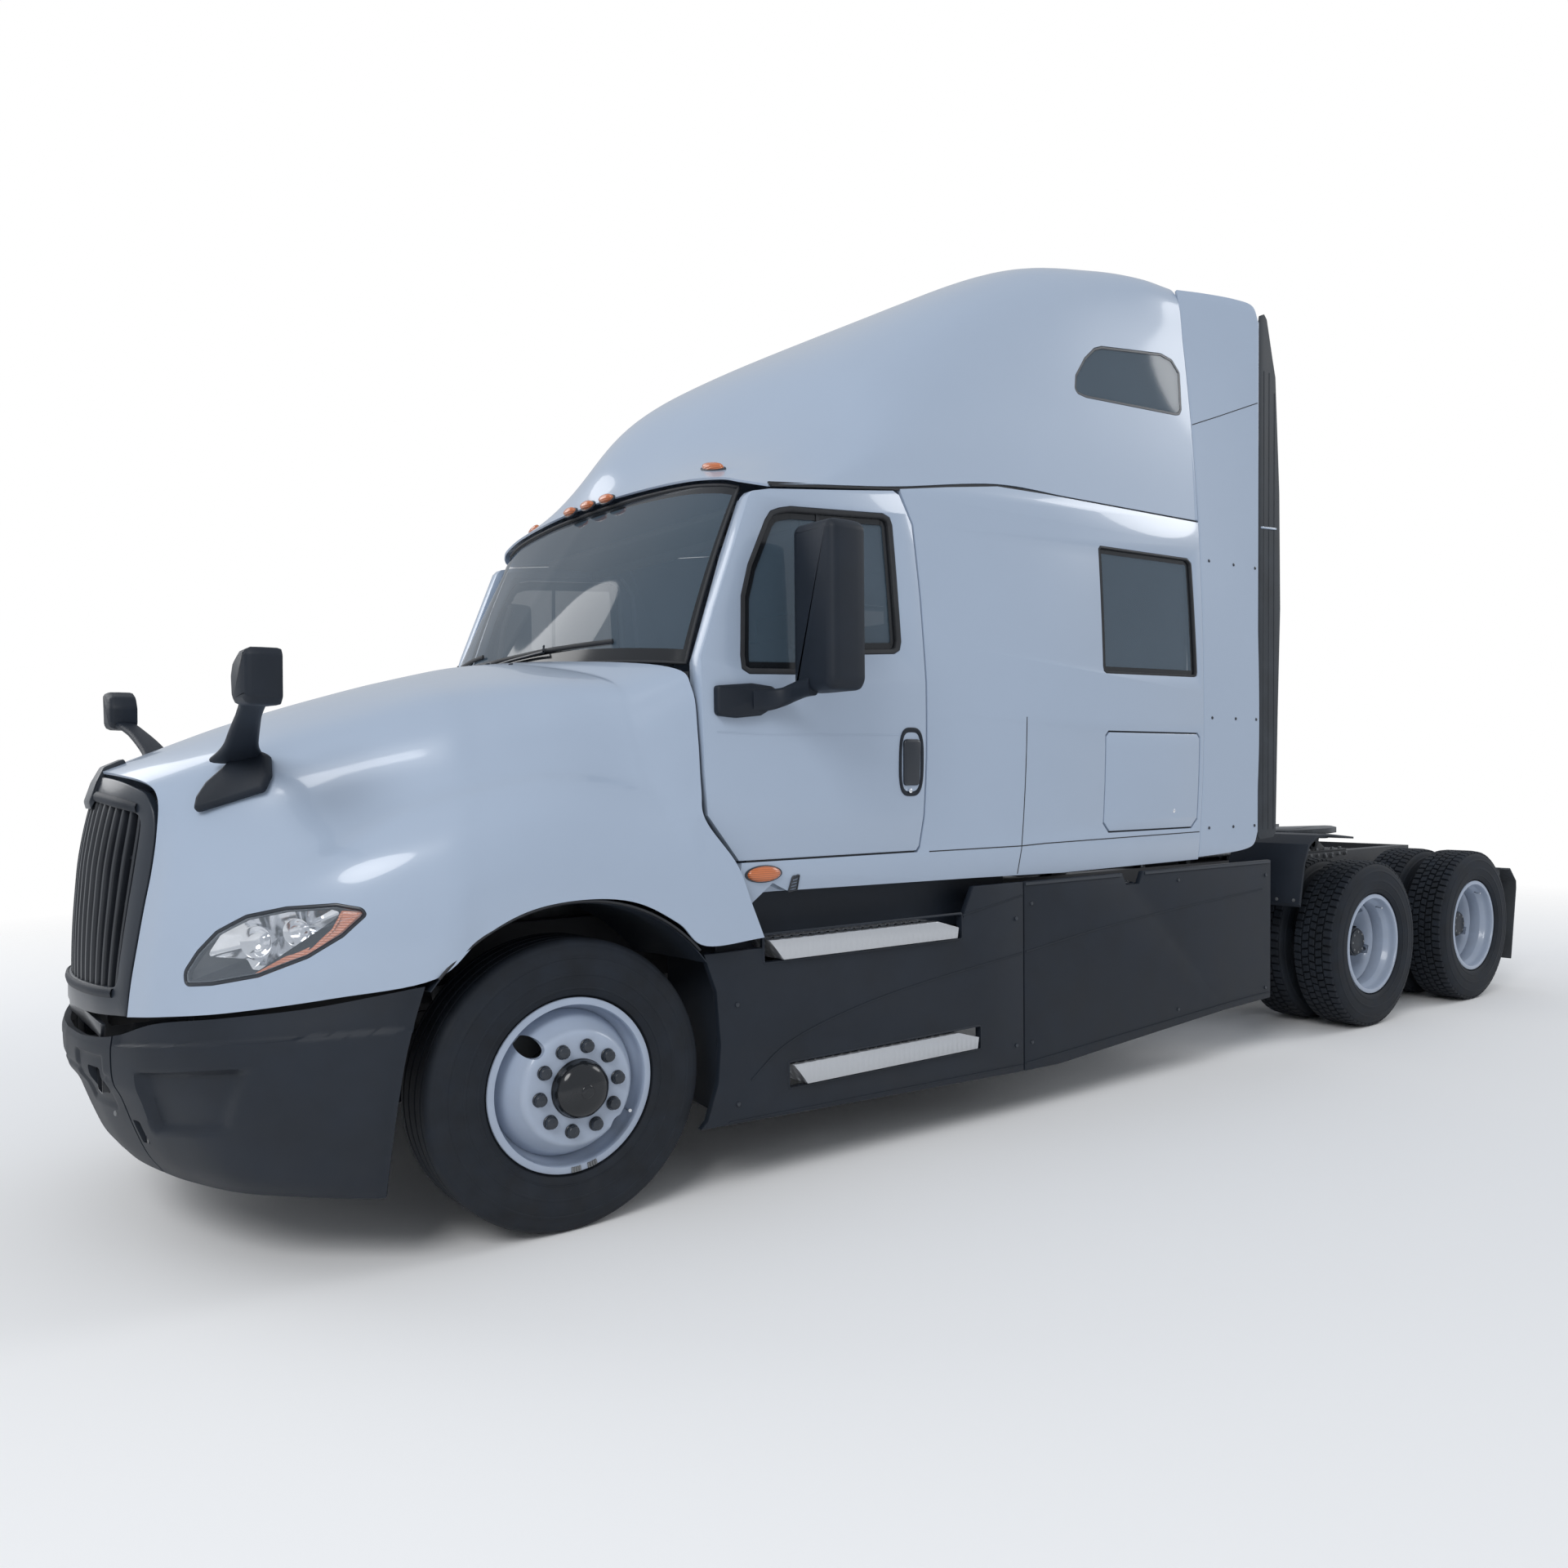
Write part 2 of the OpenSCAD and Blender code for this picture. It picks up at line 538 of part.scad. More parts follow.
module battery_box() {
  color(black) placed() {
    box([rail_half + 60, 900, 430], [half_w - 236, 2120, 900]);
    for (y = [1200, 1800]) box([rail_half, y, 740], [rail_half + 70, y + 60, 860]);
  }
}

module exhaust_box() {
  color(steel) placed() mirror([1, 0, 0]) {
    translate([rail_half + 300, 900, 660]) rotate([-90, 0, 0]) cylinder(h = 1220, r = 220);
    for (y = [1200, 1800]) box([rail_half, y, 740], [rail_half + 140, y + 60, 860]);
  }
}

skirt_rear = 4130;
skirt_outer = half_w - 12;
skirt_front_panel = [
  [500, 900], [552, 760], [568, 560], [556, 420], [510, 290], [480, 262], [2168, 206],
  [2168, 1060], [1860, 1060], [1780, 900]];
skirt_rear_panel = [
  [2174, 206], [2400, 202], [3700, 285], [skirt_rear, 300], [skirt_rear, 1060],
  [3020, 1060], [2990, 1000], [2890, 1000], [2860, 1060], [2174, 1060]];

module side_skirts() {
  color(black) placed() both() {
    along_x(skirt_outer - 30, skirt_outer) difference() {
      polygon(skirt_front_panel);
      polygon([[760, 950], [1790, 950], [1790, 838], [760, 838]]);
      polygon([[870, 452], [1900, 452], [1900, 346], [870, 346]]);
    }
    along_x(skirt_outer - 30, skirt_outer) polygon(skirt_rear_panel);
  }
}

module tread(y0, y1, z0, z1) {
  o = half_w + 8;
  along_x(o - 225, o) polygon([[y0, z1], [y1 - 120, z1], [y1, z1 - 35], [y1 - 8, z0],
    [y0 + 66, z0]]);
}

module steps() {
  color(alloy) placed() both() {
    tread(775, 1752, 848, 928);
    tread(882, 1868, 358, 442);
  }
}

module axle_housing(y) {
  translate([0, y, axle_z]) union() {
    rod(-dual_inner_face, dual_inner_face, 75);
    rod(-spindle_end, spindle_end, rear_spindle_radius);
    translate([0, 190, 0]) rotate([90, 0, 0]) cylinder(h = 380, r = 215);
    translate([0, -190, 60]) rotate([90, 0, 0]) cylinder(h = 120, r = 80);
  }
}

dual_inner_face = rear_track_half - dual_spacing / 2 - 230;
spindle_end = rear_track_half - 30;

module rear_axles() {
  color(black) placed() for (y = [drive_front, drive_rear]) axle_housing(y);
}

module rear_suspension() {
  color(black) placed() both() for (y = [drive_front, drive_rear]) {
    // Hanger and trailing arm
    along_x(rail_half + 2, rail_half + 62) polygon([
      [y - 560, frame_top - 60], [y - 440, frame_top - 60], [y - 440, axle_z + 160],
      [y + 60, axle_z + 130], [y + 420, axle_z + 60], [y + 420, axle_z + 20],
      [y + 60, axle_z + 78], [y - 480, axle_z + 78], [y - 560, axle_z + 150]]);
    // Air spring
    translate([rail_half - 60, y + 330, axle_z + 62])
      cylinder(h = frame_bottom - axle_z - 64, r = 58);
  }
}

base_plate_top = frame_top + 14;
pivot_z = fifth_wheel_top - 105;
pivot_x = fifth_wheel_width / 2 - 90;

module fifth_wheel_base() {
  color(steel) placed() translate([0, wheelbase, 0]) union() {
    box([-rail_half, -380, frame_top], [rail_half, 380, base_plate_top]);
    both() difference() {
      along_x(pivot_x - 22, pivot_x + 22) polygon([
        [-210, base_plate_top - 2], [210, base_plate_top - 2], [70, pivot_z + 38],
        [-70, pivot_z + 38]]);
      translate([0, 0, pivot_z]) rod(pivot_x - 60, pivot_x + 60, pivot_radius + pin_clearance);
    }
  }
}

module fifth_wheel_plate() {
  w = fifth_wheel_width / 2;
  top = fifth_wheel_top;
  ear = 22 + turn_gap;
  color(steel) placed() translate([0, wheelbase, 0]) union() {
    translate([0, 0, top - 38]) linear_extrude(38) difference() {
      polygon([
        [-w * 0.62, -430], [w * 0.62, -430], [w * 0.93, -330], [w, -180], [w, 120],
        [w * 0.86, 330], [w * 0.55, 500], [0.42 * w, 520], [lock_radius + 4, 70],
        [-lock_radius - 4, 70], [-0.42 * w, 520], [-w * 0.55, 500], [-w * 0.86, 330],
        [-w, 120], [-w, -180], [-w * 0.93, -330]]);
      circle(r = lock_radius + 0.1);
      translate([-lock_radius - 0.1, 0]) square([2 * lock_radius + 0.2, 80]);
    }
    // Lips bent down round the plate, and the lock body
    both() box([w * 0.5, -260, top - 70], [w * 0.5 + 20, 260, top - 36]);
    difference() {
      box([-150, -170, top - 92], [150, 120, top - 36]);
      translate([0, 0, top - 100]) cylinder(h = 80, r = lock_radius + 0.1);
      translate([-lock_radius - 0.1, 0, top - 100]) cube([2 * lock_radius + 0.2, 200, 80]);
    }
    both() for (s = [-1, 1]) translate([pivot_x + s * (ear + 10), 0, 0]) union() {
      along_x(-10, 10) polygon([[-26, pivot_z - 34], [26, pivot_z - 34], [60, pivot_z + 5],
        [80, top - 36], [-80, top - 36], [-60, pivot_z + 5]]);
    }
    both() translate([0, 0, pivot_z]) rod(pivot_x - ear - 8, pivot_x + ear + 8, pivot_radius);
  }
}

module deck_plate() {
  color(black) placed() union() {
    box([-rail_half, 3900, frame_top + 30], [rail_half, 4920, frame_top + 46]);
    both() for (y = [3960, 4400, 4820])
      box([rail_half - 70, y, frame_top], [rail_half - 10, y + 40, frame_top + 31]);
  }
}

fender_in = rear_track_half - 316;
fender_out = rear_track_half + 190;

module mudflaps() {
  x0 = rear_track_half - 300;
  x1 = rear_track_half + 201;
  y = flap_rear;
  color(rubber) placed() both() {
    along_x(x0, x1) polygon([
      [y - 262, 850], [y - 104, 838], [y - 4, 742], [y, 690], [y - 72, 186], [y - 84, 186],
      [y - 14, 690], [y - 16, 738], [y - 108, 826], [y - 262, 838]]);
    box([rail_half + 1, y - 276, 790], [x1 - 20, y - 226, 844]);
  }
}

module quarter_fenders() {
  y = drive_front;
  color(black) placed() both() {
    along_x(fender_in, fender_out) polygon([
      [y - 640, 760], [y - 660, 780], [y - 610, 1010], [y - 560, 1120], [y - 470, 1170],
      [y - 330, 1172], [y - 60, 1146], [y - 60, 1134], [y - 332, 1158], [y - 462, 1156],
      [y - 546, 1110], [y - 596, 1004]]);
    box([rail_half + 1, y - 600, 880], [fender_in + 60, y - 560, 920]);
    box([fender_in, y - 606, 870], [fender_in + 60, y - 590, 1010]);
  }
}

// ---- cab ----

// The cab's section at depth d under the skin, mirrored, between two heights
module cab_section(d, z0, z1) {
  n = 12;
  zs = [for (k = [0 : n]) z0 + (z1 - z0) * k / n];
  polygon(concat([for (z = zs) [skin_x(z) - d, z]],
    [for (k = [n : -1 : 0]) [-skin_x(zs[k]) + d, zs[k]]]));
}

module cab_floor() {
  color(steel) placed() union() {
    along_y(640, 1700) cab_section(wall + 60 + seam, 1095, 1150);
    along_y(1690, cab_back - seam) cab_section(wall + seam, 1095, 1150);
    both() for (y = [800, 3200])
      box([rail_half - 120, y, frame_top + 1], [rail_half - 20, y + 120, 1096]);
  }
}

module firewall() {
  w = half_w - 140;
  color(black) placed() union() {
    along_y(590, 636) cab_section(wall + 60 + seam, 1100, 1900);
    translate([0, 0, 1896]) linear_extrude(36) polygon([
      [-w, 636], [-w, 530], [-960 * kx, 450], [-750 * kx, 348], [-400 * kx, 272],
      [0, 250], [400 * kx, 272], [750 * kx, 348], [960 * kx, 450], [w, 530], [w, 636]]);
  }
}

module cab_side() {
  difference() {
    union() {
      side_panel(0, wall, 1050, 2850, 480, 3700) polygon(cab_side_outline);
      side_panel(wall + door_seal, wall + 60, 1050, 2800, 480, 1700) difference() {
        polygon([[650, 1100], [655, 1215], [540, 1400], [524, 1700], [522, 1960],
          [664, 2370], [752, 2585], [1410, 2650], [door_rear - 70, 2536],
          [door_rear + 40, 2280], [door_rear + 40, 1100]]);
        polygon(door_hole);
      }
      side_panel(wall - 1, wall + 60, 1050, 2800, 480, 1700) polygon([
        [665, 1100], [665, door_bottom - g], [door_rear + 40, door_bottom - g],
        [door_rear + 40, 1100]]);
      side_panel(wall - 1, wall + 60, 1050, 2800, 480, 1700) polygon([
        [door_rear + 12, 1110], [door_rear + 12, 2280], [door_rear + 40, 2280],
        [door_rear + 40, 1110]]);
    }
    along_x(half_w - 200, half_w + 50) polygon(sleeper_window);
    along_x(half_w - 200, half_w + 50) luggage_outline(panel_gap);
  }
}

module cab_side_left() {
  color(white) placed() cab_side();
}

module cab_side_right() {
  color(white) placed() mirror([1, 0, 0]) cab_side();
}

module back_wall() {
  color(white) placed() along_y(cab_back, cab_back + 45)
    cab_section(wall + seam, 1100, roof_seam_z - seam);
}

module roof_cap() {
  color(white) placed() resize([0, 0, 0]) difference() {
    sheet(roof_shell, skin);
    both() along_x(half_w - 400, half_w + 50) polygon(roof_window);
  }
}

module windscreen() {
  color(dark_glass) placed() sheet(screen_grid, glass);
}

module side_windows() {
  color(dark_glass) placed() both() {
    side_panel(14, 14 + glass, 1980, 2700, 2600, 3480) polygon(sleeper_pane);
    side_panel(4, 4 + glass, rz(3290), rz(3700), 2560, 3480) polygon(roof_pane);
  }
}

module side_extenders() {
  color(white) placed() both() sheet(extender_grid, 22);
}

module extender_flaps() {
  color(rubber) placed() both() along_x(extender_edge - 16, extender_edge - 6)
    polygon(flap_outline);
}

module dashboard() {
  w = half_w - 190;
  color(steel) placed() along_x(-w, w) polygon([
    [640, 1480], [760, 1440], [900, 1500], [960, 1620], [950, 1760], [860, 1862],
    [640, 1892]]);
}

wheel_hub = [500, 1060, 1740];

module steering_wheel() {
  color(black) placed() translate(wheel_hub) rotate([-55, 0, 0]) union() {
    rotate_extrude() translate([215, 0]) circle(r = 16);
    for (a = [0, 120, 240]) rotate([0, 0, a + 90]) box([0, -18, -8], [215, 18, 8]);
    cylinder(h = 30, r = 55, center = true);
    translate([0, 0, -98]) cylinder(h = 100, r = 24);
  }
}

module seat() {
  along_x(-255, 255) polygon([
    [1400, 1560], [1410, 1650], [1880, 1620], [1990, 2250], [2060, 2400], [2110, 2390],
    [2100, 2200], [2030, 1640], [1990, 1540]]);
  box([-180, 1480, 1152], [180, 1920, 1580]);
}

module seats() {
  color(black) placed() for (s = [-1, 1]) translate([s * 540 * kx, 0, 0]) union() seat();
}

module bunk() {
  w = half_w - 140;
  color(steel) placed() union() {
    box([-w, 2480, 1780], [w, cab_back - 12, 1960]);
    box([-w, 2480, 1152], [w, 2520, 1782]);
  }
}

// ---- doors ----

module door() {
  side_panel(0, wall, 1100, 2750, 480, 1640) difference() {
    polygon(door_outline);
    polygon(door_window);
  }
}

module door_left() {
  color(white) placed() door();
}

module door_right() {
  color(white) placed() mirror([1, 0, 0]) door();
}

module door_glass() {
  side_panel(20, 20 + glass, 1880, 2640, 600, 1500) polygon(door_window_glass);
}

module door_glass_left() {
  color(dark_glass) placed() door_glass();
}

module door_glass_right() {
  color(dark_glass) placed() mirror([1, 0, 0]) door_glass();
}

module door_mirror() {
  o = half_w + 0.5;
  union() {
    along_x(o, o + 30) polygon([[548, 1780], [560, 1872], [700, 1888], [820, 1880],
      [822, 1852], [760, 1774], [600, 1762]]);
    translate([o + 10, 0, 0]) along_y(800, 860) polygon([[0, 1800], [0, 1870],
      [150, 1905], [250, 1905], [250, 1850], [150, 1838]]);
    along_x(o + 10, o + 40) polygon([[760, 1778], [760, 1870], [862, 1870], [862, 1800]]);
    translate([o + 90, 0, 0]) along_y(830, 985) polygon([[10, 1850], [0, 1885], [0, 2440],
      [22, 2466], [225, 2466], [248, 2440], [248, 1885], [225, 1850]]);
  }
}

module door_mirror_left() {
  color(black) placed() door_mirror();
}

module door_mirror_right() {
  color(black) placed() mirror([1, 0, 0]) door_mirror();
}

module luggage_door() {
  side_panel(0, wall - 15, 1200, 1900, 2600, 3520) luggage_outline(0);
}

module luggage_door_left() {
  color(white) placed() luggage_door();
}

module luggage_door_right() {
  color(white) placed() mirror([1, 0, 0]) luggage_door();
}

// ---- hood group ----

module hood() {
  color(white) placed() resize([0, 0, 0]) difference() {
    sheet(hood_grid, skin);
    both() lamp_prism(5, -200, 200);
  }
}

grille_front = [
  [[464, -1200, 796], [464, -1187, 910], [464, -1166, 1030], [464, -1143, 1150],
   [463, -1119, 1270], [456, -1102, 1400], [420, -1106, 1500]],
  [[262, -1262, 788], [262, -1258, 910], [262, -1250, 1030], [262, -1238, 1150],
   [260, -1222, 1280], [255, -1192, 1430], [240, -1158, 1544]],
  [[0, -1284, 784], [0, -1283, 910], [0, -1278, 1030], [0, -1268, 1160],
   [0, -1252, 1300], [0, -1222, 1450], [0, -1188, 1562]]];
grille_side = fine([for (c = grille_front) [for (p = c) [p[0] * kx, p[1], p[2]]]], 2, 1);
grille_grid = concat([for (c = grille_side) [for (p = c) [-p[0], p[1], p[2]]]],
  [for (i = [len(grille_side) - 2 : -1 : 0]) grille_side[i]]);

module grille() {
  color(black) placed() sheet(grille_grid, 30);
}

module headlamps() {
  color(alloy) placed() both() resize([0, 0, 0]) intersection() {
    sheet(shifted(hood_side_grid, 4), 45);
    lamp_prism(-1, -200, 200);
  }
}

hood_side_grid = fine([for (i = [0 : 4]) [for (j = [0 : 5])
  [hood_half[i][j][0] * kx, hood_half[i][j][1], hood_half[i][j][2]]]], 3, 2);

mirror_head = [1110 * kx, -948, 1843];

module hood_mirror() {
  // Foot that follows the hood's slope
  translate([623 * kx, -888, 1546]) rotate([0, 59.3, -44.9]) translate([0, 0, 10])
    linear_extrude(25) polygon([[131, -102], [78, -109], [23, -93], [-34, -52], [-75, -26],
      [-93, 63], [-78, 93], [-4, 117], [52, 109]]);
  // Flat arm from the foot to the head
  a = [606 * kx, -900, 1618];
  b = mirror_head + [-30, 4, -58];
  wa = [20, 52, 0];
  wb = [14, 36, 0];
  t = [-7, 3, 16];
  polyhedron([a - wa - t, a + wa - t, a + wa + t, a - wa + t,
              b - wb - t, b + wb - t, b + wb + t, b - wb + t],
    [[0, 1, 2, 3], [7, 6, 5, 4], [0, 4, 5, 1], [1, 5, 6, 2], [2, 6, 7, 3], [3, 7, 4, 0]]);
  translate([mirror_head[0], 0, mirror_head[2]]) along_y(mirror_head[1] - 52, mirror_head[1] + 52)
    polygon([[-84, -58], [-58, -82], [62, -84], [88, -62], [94, 60], [80, 80], [10, 78],
      [-60, 54], [-90, 10]]);
}

module hood_mirrors() {
  color(black) placed() both() union() hood_mirror();
}

// ---- wheels ----

yoke = 46;

module knuckle() {
  translate([kingpin_half, 0, axle_z]) union() {
    translate([0, 0, -160]) cylinder(h = 320, r = kingpin_radius);
    for (z = [50 + turn_gap, -50 - turn_gap - yoke]) translate([0, 0, z]) {
      cylinder(h = yoke, r = 55);
      box([0, -50, 0], [90, 50, yoke]);
    }
    box([66, -60, -56 - yoke], [94, 60, 56 + yoke]);
    rod(90, front_track_half - kingpin_half + 100, spindle_radius);
    // Steering arm towards the rear
    box([20, 40, -56 - yoke], [60, 80, -58]);
    box([-90, 56, -56 - yoke], [60, 96, -58]);
    box([-90, 90, -56 - yoke], [-50, 220, -58]);
  }
}

module knuckle_left() {
  color(steel) placed() knuckle();
}

module knuckle_right() {
  color(steel) placed() mirror([1, 0, 0]) knuckle();
}

// Turned about X, from a profile given as distance outwards and radius
module turned() {
  rotate([0, 90, 0]) rotate_extrude() children();
}

bead = bead_radius + 1;
tw = tyre_width / 2;
tr = tyre_radius;
side_h = tr - flange_radius;

module tyre_profile() {
  f = flange_radius + 3;
  polygon([
    [bead, -74], [bead, -103], [f, -103], [f + 4, -tw + 20], [f + side_h * 0.22, -tw + 4],
    [f + side_h * 0.48, -tw], [f + side_h * 0.72, -tw + 6], [tr - 22, -tw + 18],
    [tr - 8, -tw + 28], [tr, -tw + 45], [tr, tw - 45], [tr - 8, tw - 28],
    [tr - 22, tw - 18], [f + side_h * 0.72, tw - 6], [f + side_h * 0.48, tw],
    [f + side_h * 0.22, tw - 4], [f + 4, tw - 20], [f, 103], [bead, 103], [bead, 74],
    [bead + 13, 76], [f + side_h * 0.2, tw - 22], [f + side_h * 0.48, tw - 14],
    [tr - 34, tw - 26], [tr - 18, tw - 50], [tr - 18, -tw + 50], [tr - 34, -tw + 26],
    [f + side_h * 0.48, -tw + 14], [f + side_h * 0.2, -tw + 22], [bead + 13, -76]]);
}

module tyre(x) {
  translate([x, 0, 0]) turned() tyre_profile();
}

// Barrel from flange to flange, with the disc bulging to the offset on side s
module rim_profile(s) {
  b = bead_radius;
  fl = flange_radius;
  o = s * disc_offset;
  polygon([
    [b - 12, -118], [fl, -118], [fl, -106], [b, -104], [b, -74], [b - 22, -40],
    [b - 22, 44], [b, 74], [b, 104], [fl, 106], [fl, 118], [b - 12, 118], [b - 12, 100],
    [b - 12, 74], [b - 34, 40], [b - 34, -40], [b - 12, -74], [b - 12, -100]]);
  polygon([
    [b - 34, s * 48], [b - 24, s * 30], [b - 40, s * 20], [b - 62, s * 52],
    [b - 90, o * 0.78], [186, o - s * 12], [100, o - s * 12], [100, o], [180, o],
    [b - 88, o - s * 4], [b - 66, o * 0.72]]);
}

module front_rim() {
  difference() {
    union() {
      turned() rim_profile(1);
      // Hub, its cap and the brake drum behind the disc
      rod(-40, disc_offset - 4, 112);
      rod(disc_offset - 6, disc_offset + 34, 97);
      translate([disc_offset + 30, 0, 0]) turned() polygon([[0, 0], [93, 0], [88, 14],
        [56, 22], [0, 24]]);
      turned() polygon([[100, -30], [210, -30], [214, -120], [200, -120], [196, -44],
        [100, -44]]);
    }
    rod(-45, 100 + turn_gap, spindle_radius + pin_clearance);
    for (a = [45, 225]) rotate([a, 0, 0]) translate([disc_offset - 90, 0, 216])
      rotate([0, 90, 0]) cylinder(h = 150, r = 34);
  }
}

module drive_rims() {
  o = dual_spacing / 2;
  difference() {
    union() {
      // Outer wheel dished inwards, inner wheel dished outwards
      translate([o, 0, 0]) turned() rim_profile(-1);
      translate([-o, 0, 0]) turned() rim_profile(1);
      rod(-12, 12, 170);
      rod(-190, 90, 118);
      rod(80, 190, 84);
      turned() polygon([[110, -150], [205, -150], [209, -330], [195, -330], [191, -166],
        [110, -166]]);
    }
    rod(-195, -30 + turn_gap, rear_spindle_radius + pin_clearance);
    for (k = [0 : 4]) rotate([k * 72 + 36, 0, 0]) translate([-60, 0, 216])
      rotate([0, 90, 0]) cylinder(h = 120, r = 30);
  }
}

module at_front(s) {
  placed() mirror([s < 0 ? 1 : 0, 0, 0]) translate([front_track_half, 0, axle_z]) children();
}

module at_drive(s, y) {
  placed() mirror([s < 0 ? 1 : 0, 0, 0]) translate([rear_track_half, y, axle_z]) children();
}

module front_tyre_left() { color(rubber) at_front(1) tyre(0); }
module front_tyre_right() { color(rubber) at_front(-1) tyre(0); }
module front_rim_left() { color(white) at_front(1) front_rim(); }
module front_rim_right() { color(white) at_front(-1) front_rim(); }

module twin_tyres() {
  tyre(dual_spacing / 2);
  tyre(-dual_spacing / 2);
}

module drive_tyres_front_left() { color(rubber) at_drive(1, drive_front) twin_tyres(); }
module drive_tyres_front_right() { color(rubber) at_drive(-1, drive_front) twin_tyres(); }
module drive_tyres_rear_left() { color(rubber) at_drive(1, drive_rear) twin_tyres(); }
module drive_tyres_rear_right() { color(rubber) at_drive(-1, drive_rear) twin_tyres(); }
module drive_rims_front_left() { color(white) at_drive(1, drive_front) drive_rims(); }
module drive_rims_front_right() { color(white) at_drive(-1, drive_front) drive_rims(); }
module drive_rims_rear_left() { color(white) at_drive(1, drive_rear) drive_rims(); }
module drive_rims_rear_right() { color(white) at_drive(-1, drive_rear) drive_rims(); }

frame();
bumper();
engine_block();
driveshaft();
radiator();
front_axle();
front_springs();
fuel_tanks();
battery_box();
exhaust_box();
side_skirts();
steps();
rear_axles();
rear_suspension();
fifth_wheel_base();
deck_plate();
mudflaps();
quarter_fenders();
cab_floor();
firewall();
cab_side_left();
cab_side_right();
back_wall();
roof_cap();
windscreen();
side_windows();
side_extenders();
extender_flaps();
dashboard();
steering_wheel();
seats();
bunk();
door_left();
door_right();
door_glass_left();
door_glass_right();
door_mirror_left();
door_mirror_right();
luggage_door_left();
luggage_door_right();
hood();
grille();
headlamps();
hood_mirrors();
fifth_wheel_plate();
knuckle_left();
knuckle_right();
front_tyre_left();
front_tyre_right();
front_rim_left();
front_rim_right();
drive_tyres_front_left();
drive_tyres_front_right();
drive_tyres_rear_left();
drive_tyres_rear_right();
drive_rims_front_left();
drive_rims_front_right();
drive_rims_rear_left();
drive_rims_rear_right();
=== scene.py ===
import json
import math

import bmesh
import bpy
import numpy as np
from mathutils import Matrix, Vector
from mathutils.bvhtree import BVHTree

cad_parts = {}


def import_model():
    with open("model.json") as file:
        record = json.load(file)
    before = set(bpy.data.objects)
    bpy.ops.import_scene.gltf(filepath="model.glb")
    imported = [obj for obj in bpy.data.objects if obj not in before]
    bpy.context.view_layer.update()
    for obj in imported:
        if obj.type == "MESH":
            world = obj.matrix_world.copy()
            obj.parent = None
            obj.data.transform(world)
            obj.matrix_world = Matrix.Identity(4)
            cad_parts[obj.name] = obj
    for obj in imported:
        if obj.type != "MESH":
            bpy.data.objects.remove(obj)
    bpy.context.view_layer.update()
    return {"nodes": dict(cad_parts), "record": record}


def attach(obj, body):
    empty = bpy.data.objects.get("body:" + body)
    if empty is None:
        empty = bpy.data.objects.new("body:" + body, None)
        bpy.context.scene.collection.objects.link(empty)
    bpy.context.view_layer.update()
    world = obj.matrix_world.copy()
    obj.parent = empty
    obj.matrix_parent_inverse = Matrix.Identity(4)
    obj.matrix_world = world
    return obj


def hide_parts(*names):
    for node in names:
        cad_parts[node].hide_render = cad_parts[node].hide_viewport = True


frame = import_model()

NODES = frame["nodes"]

# ---- camera, at the photograph's viewing angle ----

MID_Y = 3.030  # front axle to the middle of the truck
YAW, PITCH, ROLL = 0.868, -0.034, -0.008


def make_camera():
    data = bpy.data.cameras.new("camera")
    cam = bpy.data.objects.new("camera", data)
    bpy.context.scene.collection.objects.link(cam)
    bpy.context.scene.camera = cam
    data.sensor_width = 36.0
    data.lens = 28.62
    data.shift_x = -0.0667
    data.shift_y = 0.0205
    data.clip_end = 200.0
    forward = Vector((-math.sin(YAW) * math.cos(PITCH), math.cos(YAW) * math.cos(PITCH), math.sin(PITCH)))
    right = forward.cross(Vector((0, 0, 1))).normalized()
    up = right.cross(forward)
    c, s = math.cos(ROLL), math.sin(ROLL)
    r2, u2 = c * right + s * up, -s * right + c * up
    m = Matrix((r2, u2, -forward)).transposed().to_4x4()
    m.translation = Vector((5.038, -1.889 - MID_Y, 1.549))
    cam.matrix_world = m
    return cam


make_camera()

# ---- materials ----


def new_material(name):
    m = bpy.data.materials.new(name)
    m.use_nodes = True
    return m, m.node_tree, m.node_tree.nodes["Principled BSDF"]


def add(tree, kind, values=(), links=(), **settings):
    """Adds a shader node. Values and links are pairs of an input and what it holds or takes."""
    node = tree.nodes.new("ShaderNode" + kind)
    for key, value in settings.items():
        setattr(node, key, value)
    for key, value in values:
        node.inputs[key].default_value = value
    for key, source in links:
        tree.links.new(source, node.inputs[key])
    return node


def set_values(node, **values):
    """Sets inputs by their name, with an underscore for each space."""
    for key, value in values.items():
        node.inputs[key.replace("_", " ")].default_value = value


def two_tones(tree, factor, low, high, start=0.0, end=1.0):
    """The colour output of a ramp between two colours."""
    ramp = add(tree, "ValToRGB", links=[("Fac", factor)])
    for element, color, at in zip(ramp.color_ramp.elements, (low, high), (start, end)):
        element.color = (*color, 1)
        element.position = at
    return ramp.outputs["Color"]


def set_bump(tree, bsdf, height, strength, distance):
    b = add(tree, "Bump", [("Strength", strength), ("Distance", distance)], [("Height", height)])
    tree.links.new(b.outputs["Normal"], bsdf.inputs["Normal"])


def scaled(color, share):
    return [min(1.0, max(0.0, c * share)) for c in color]


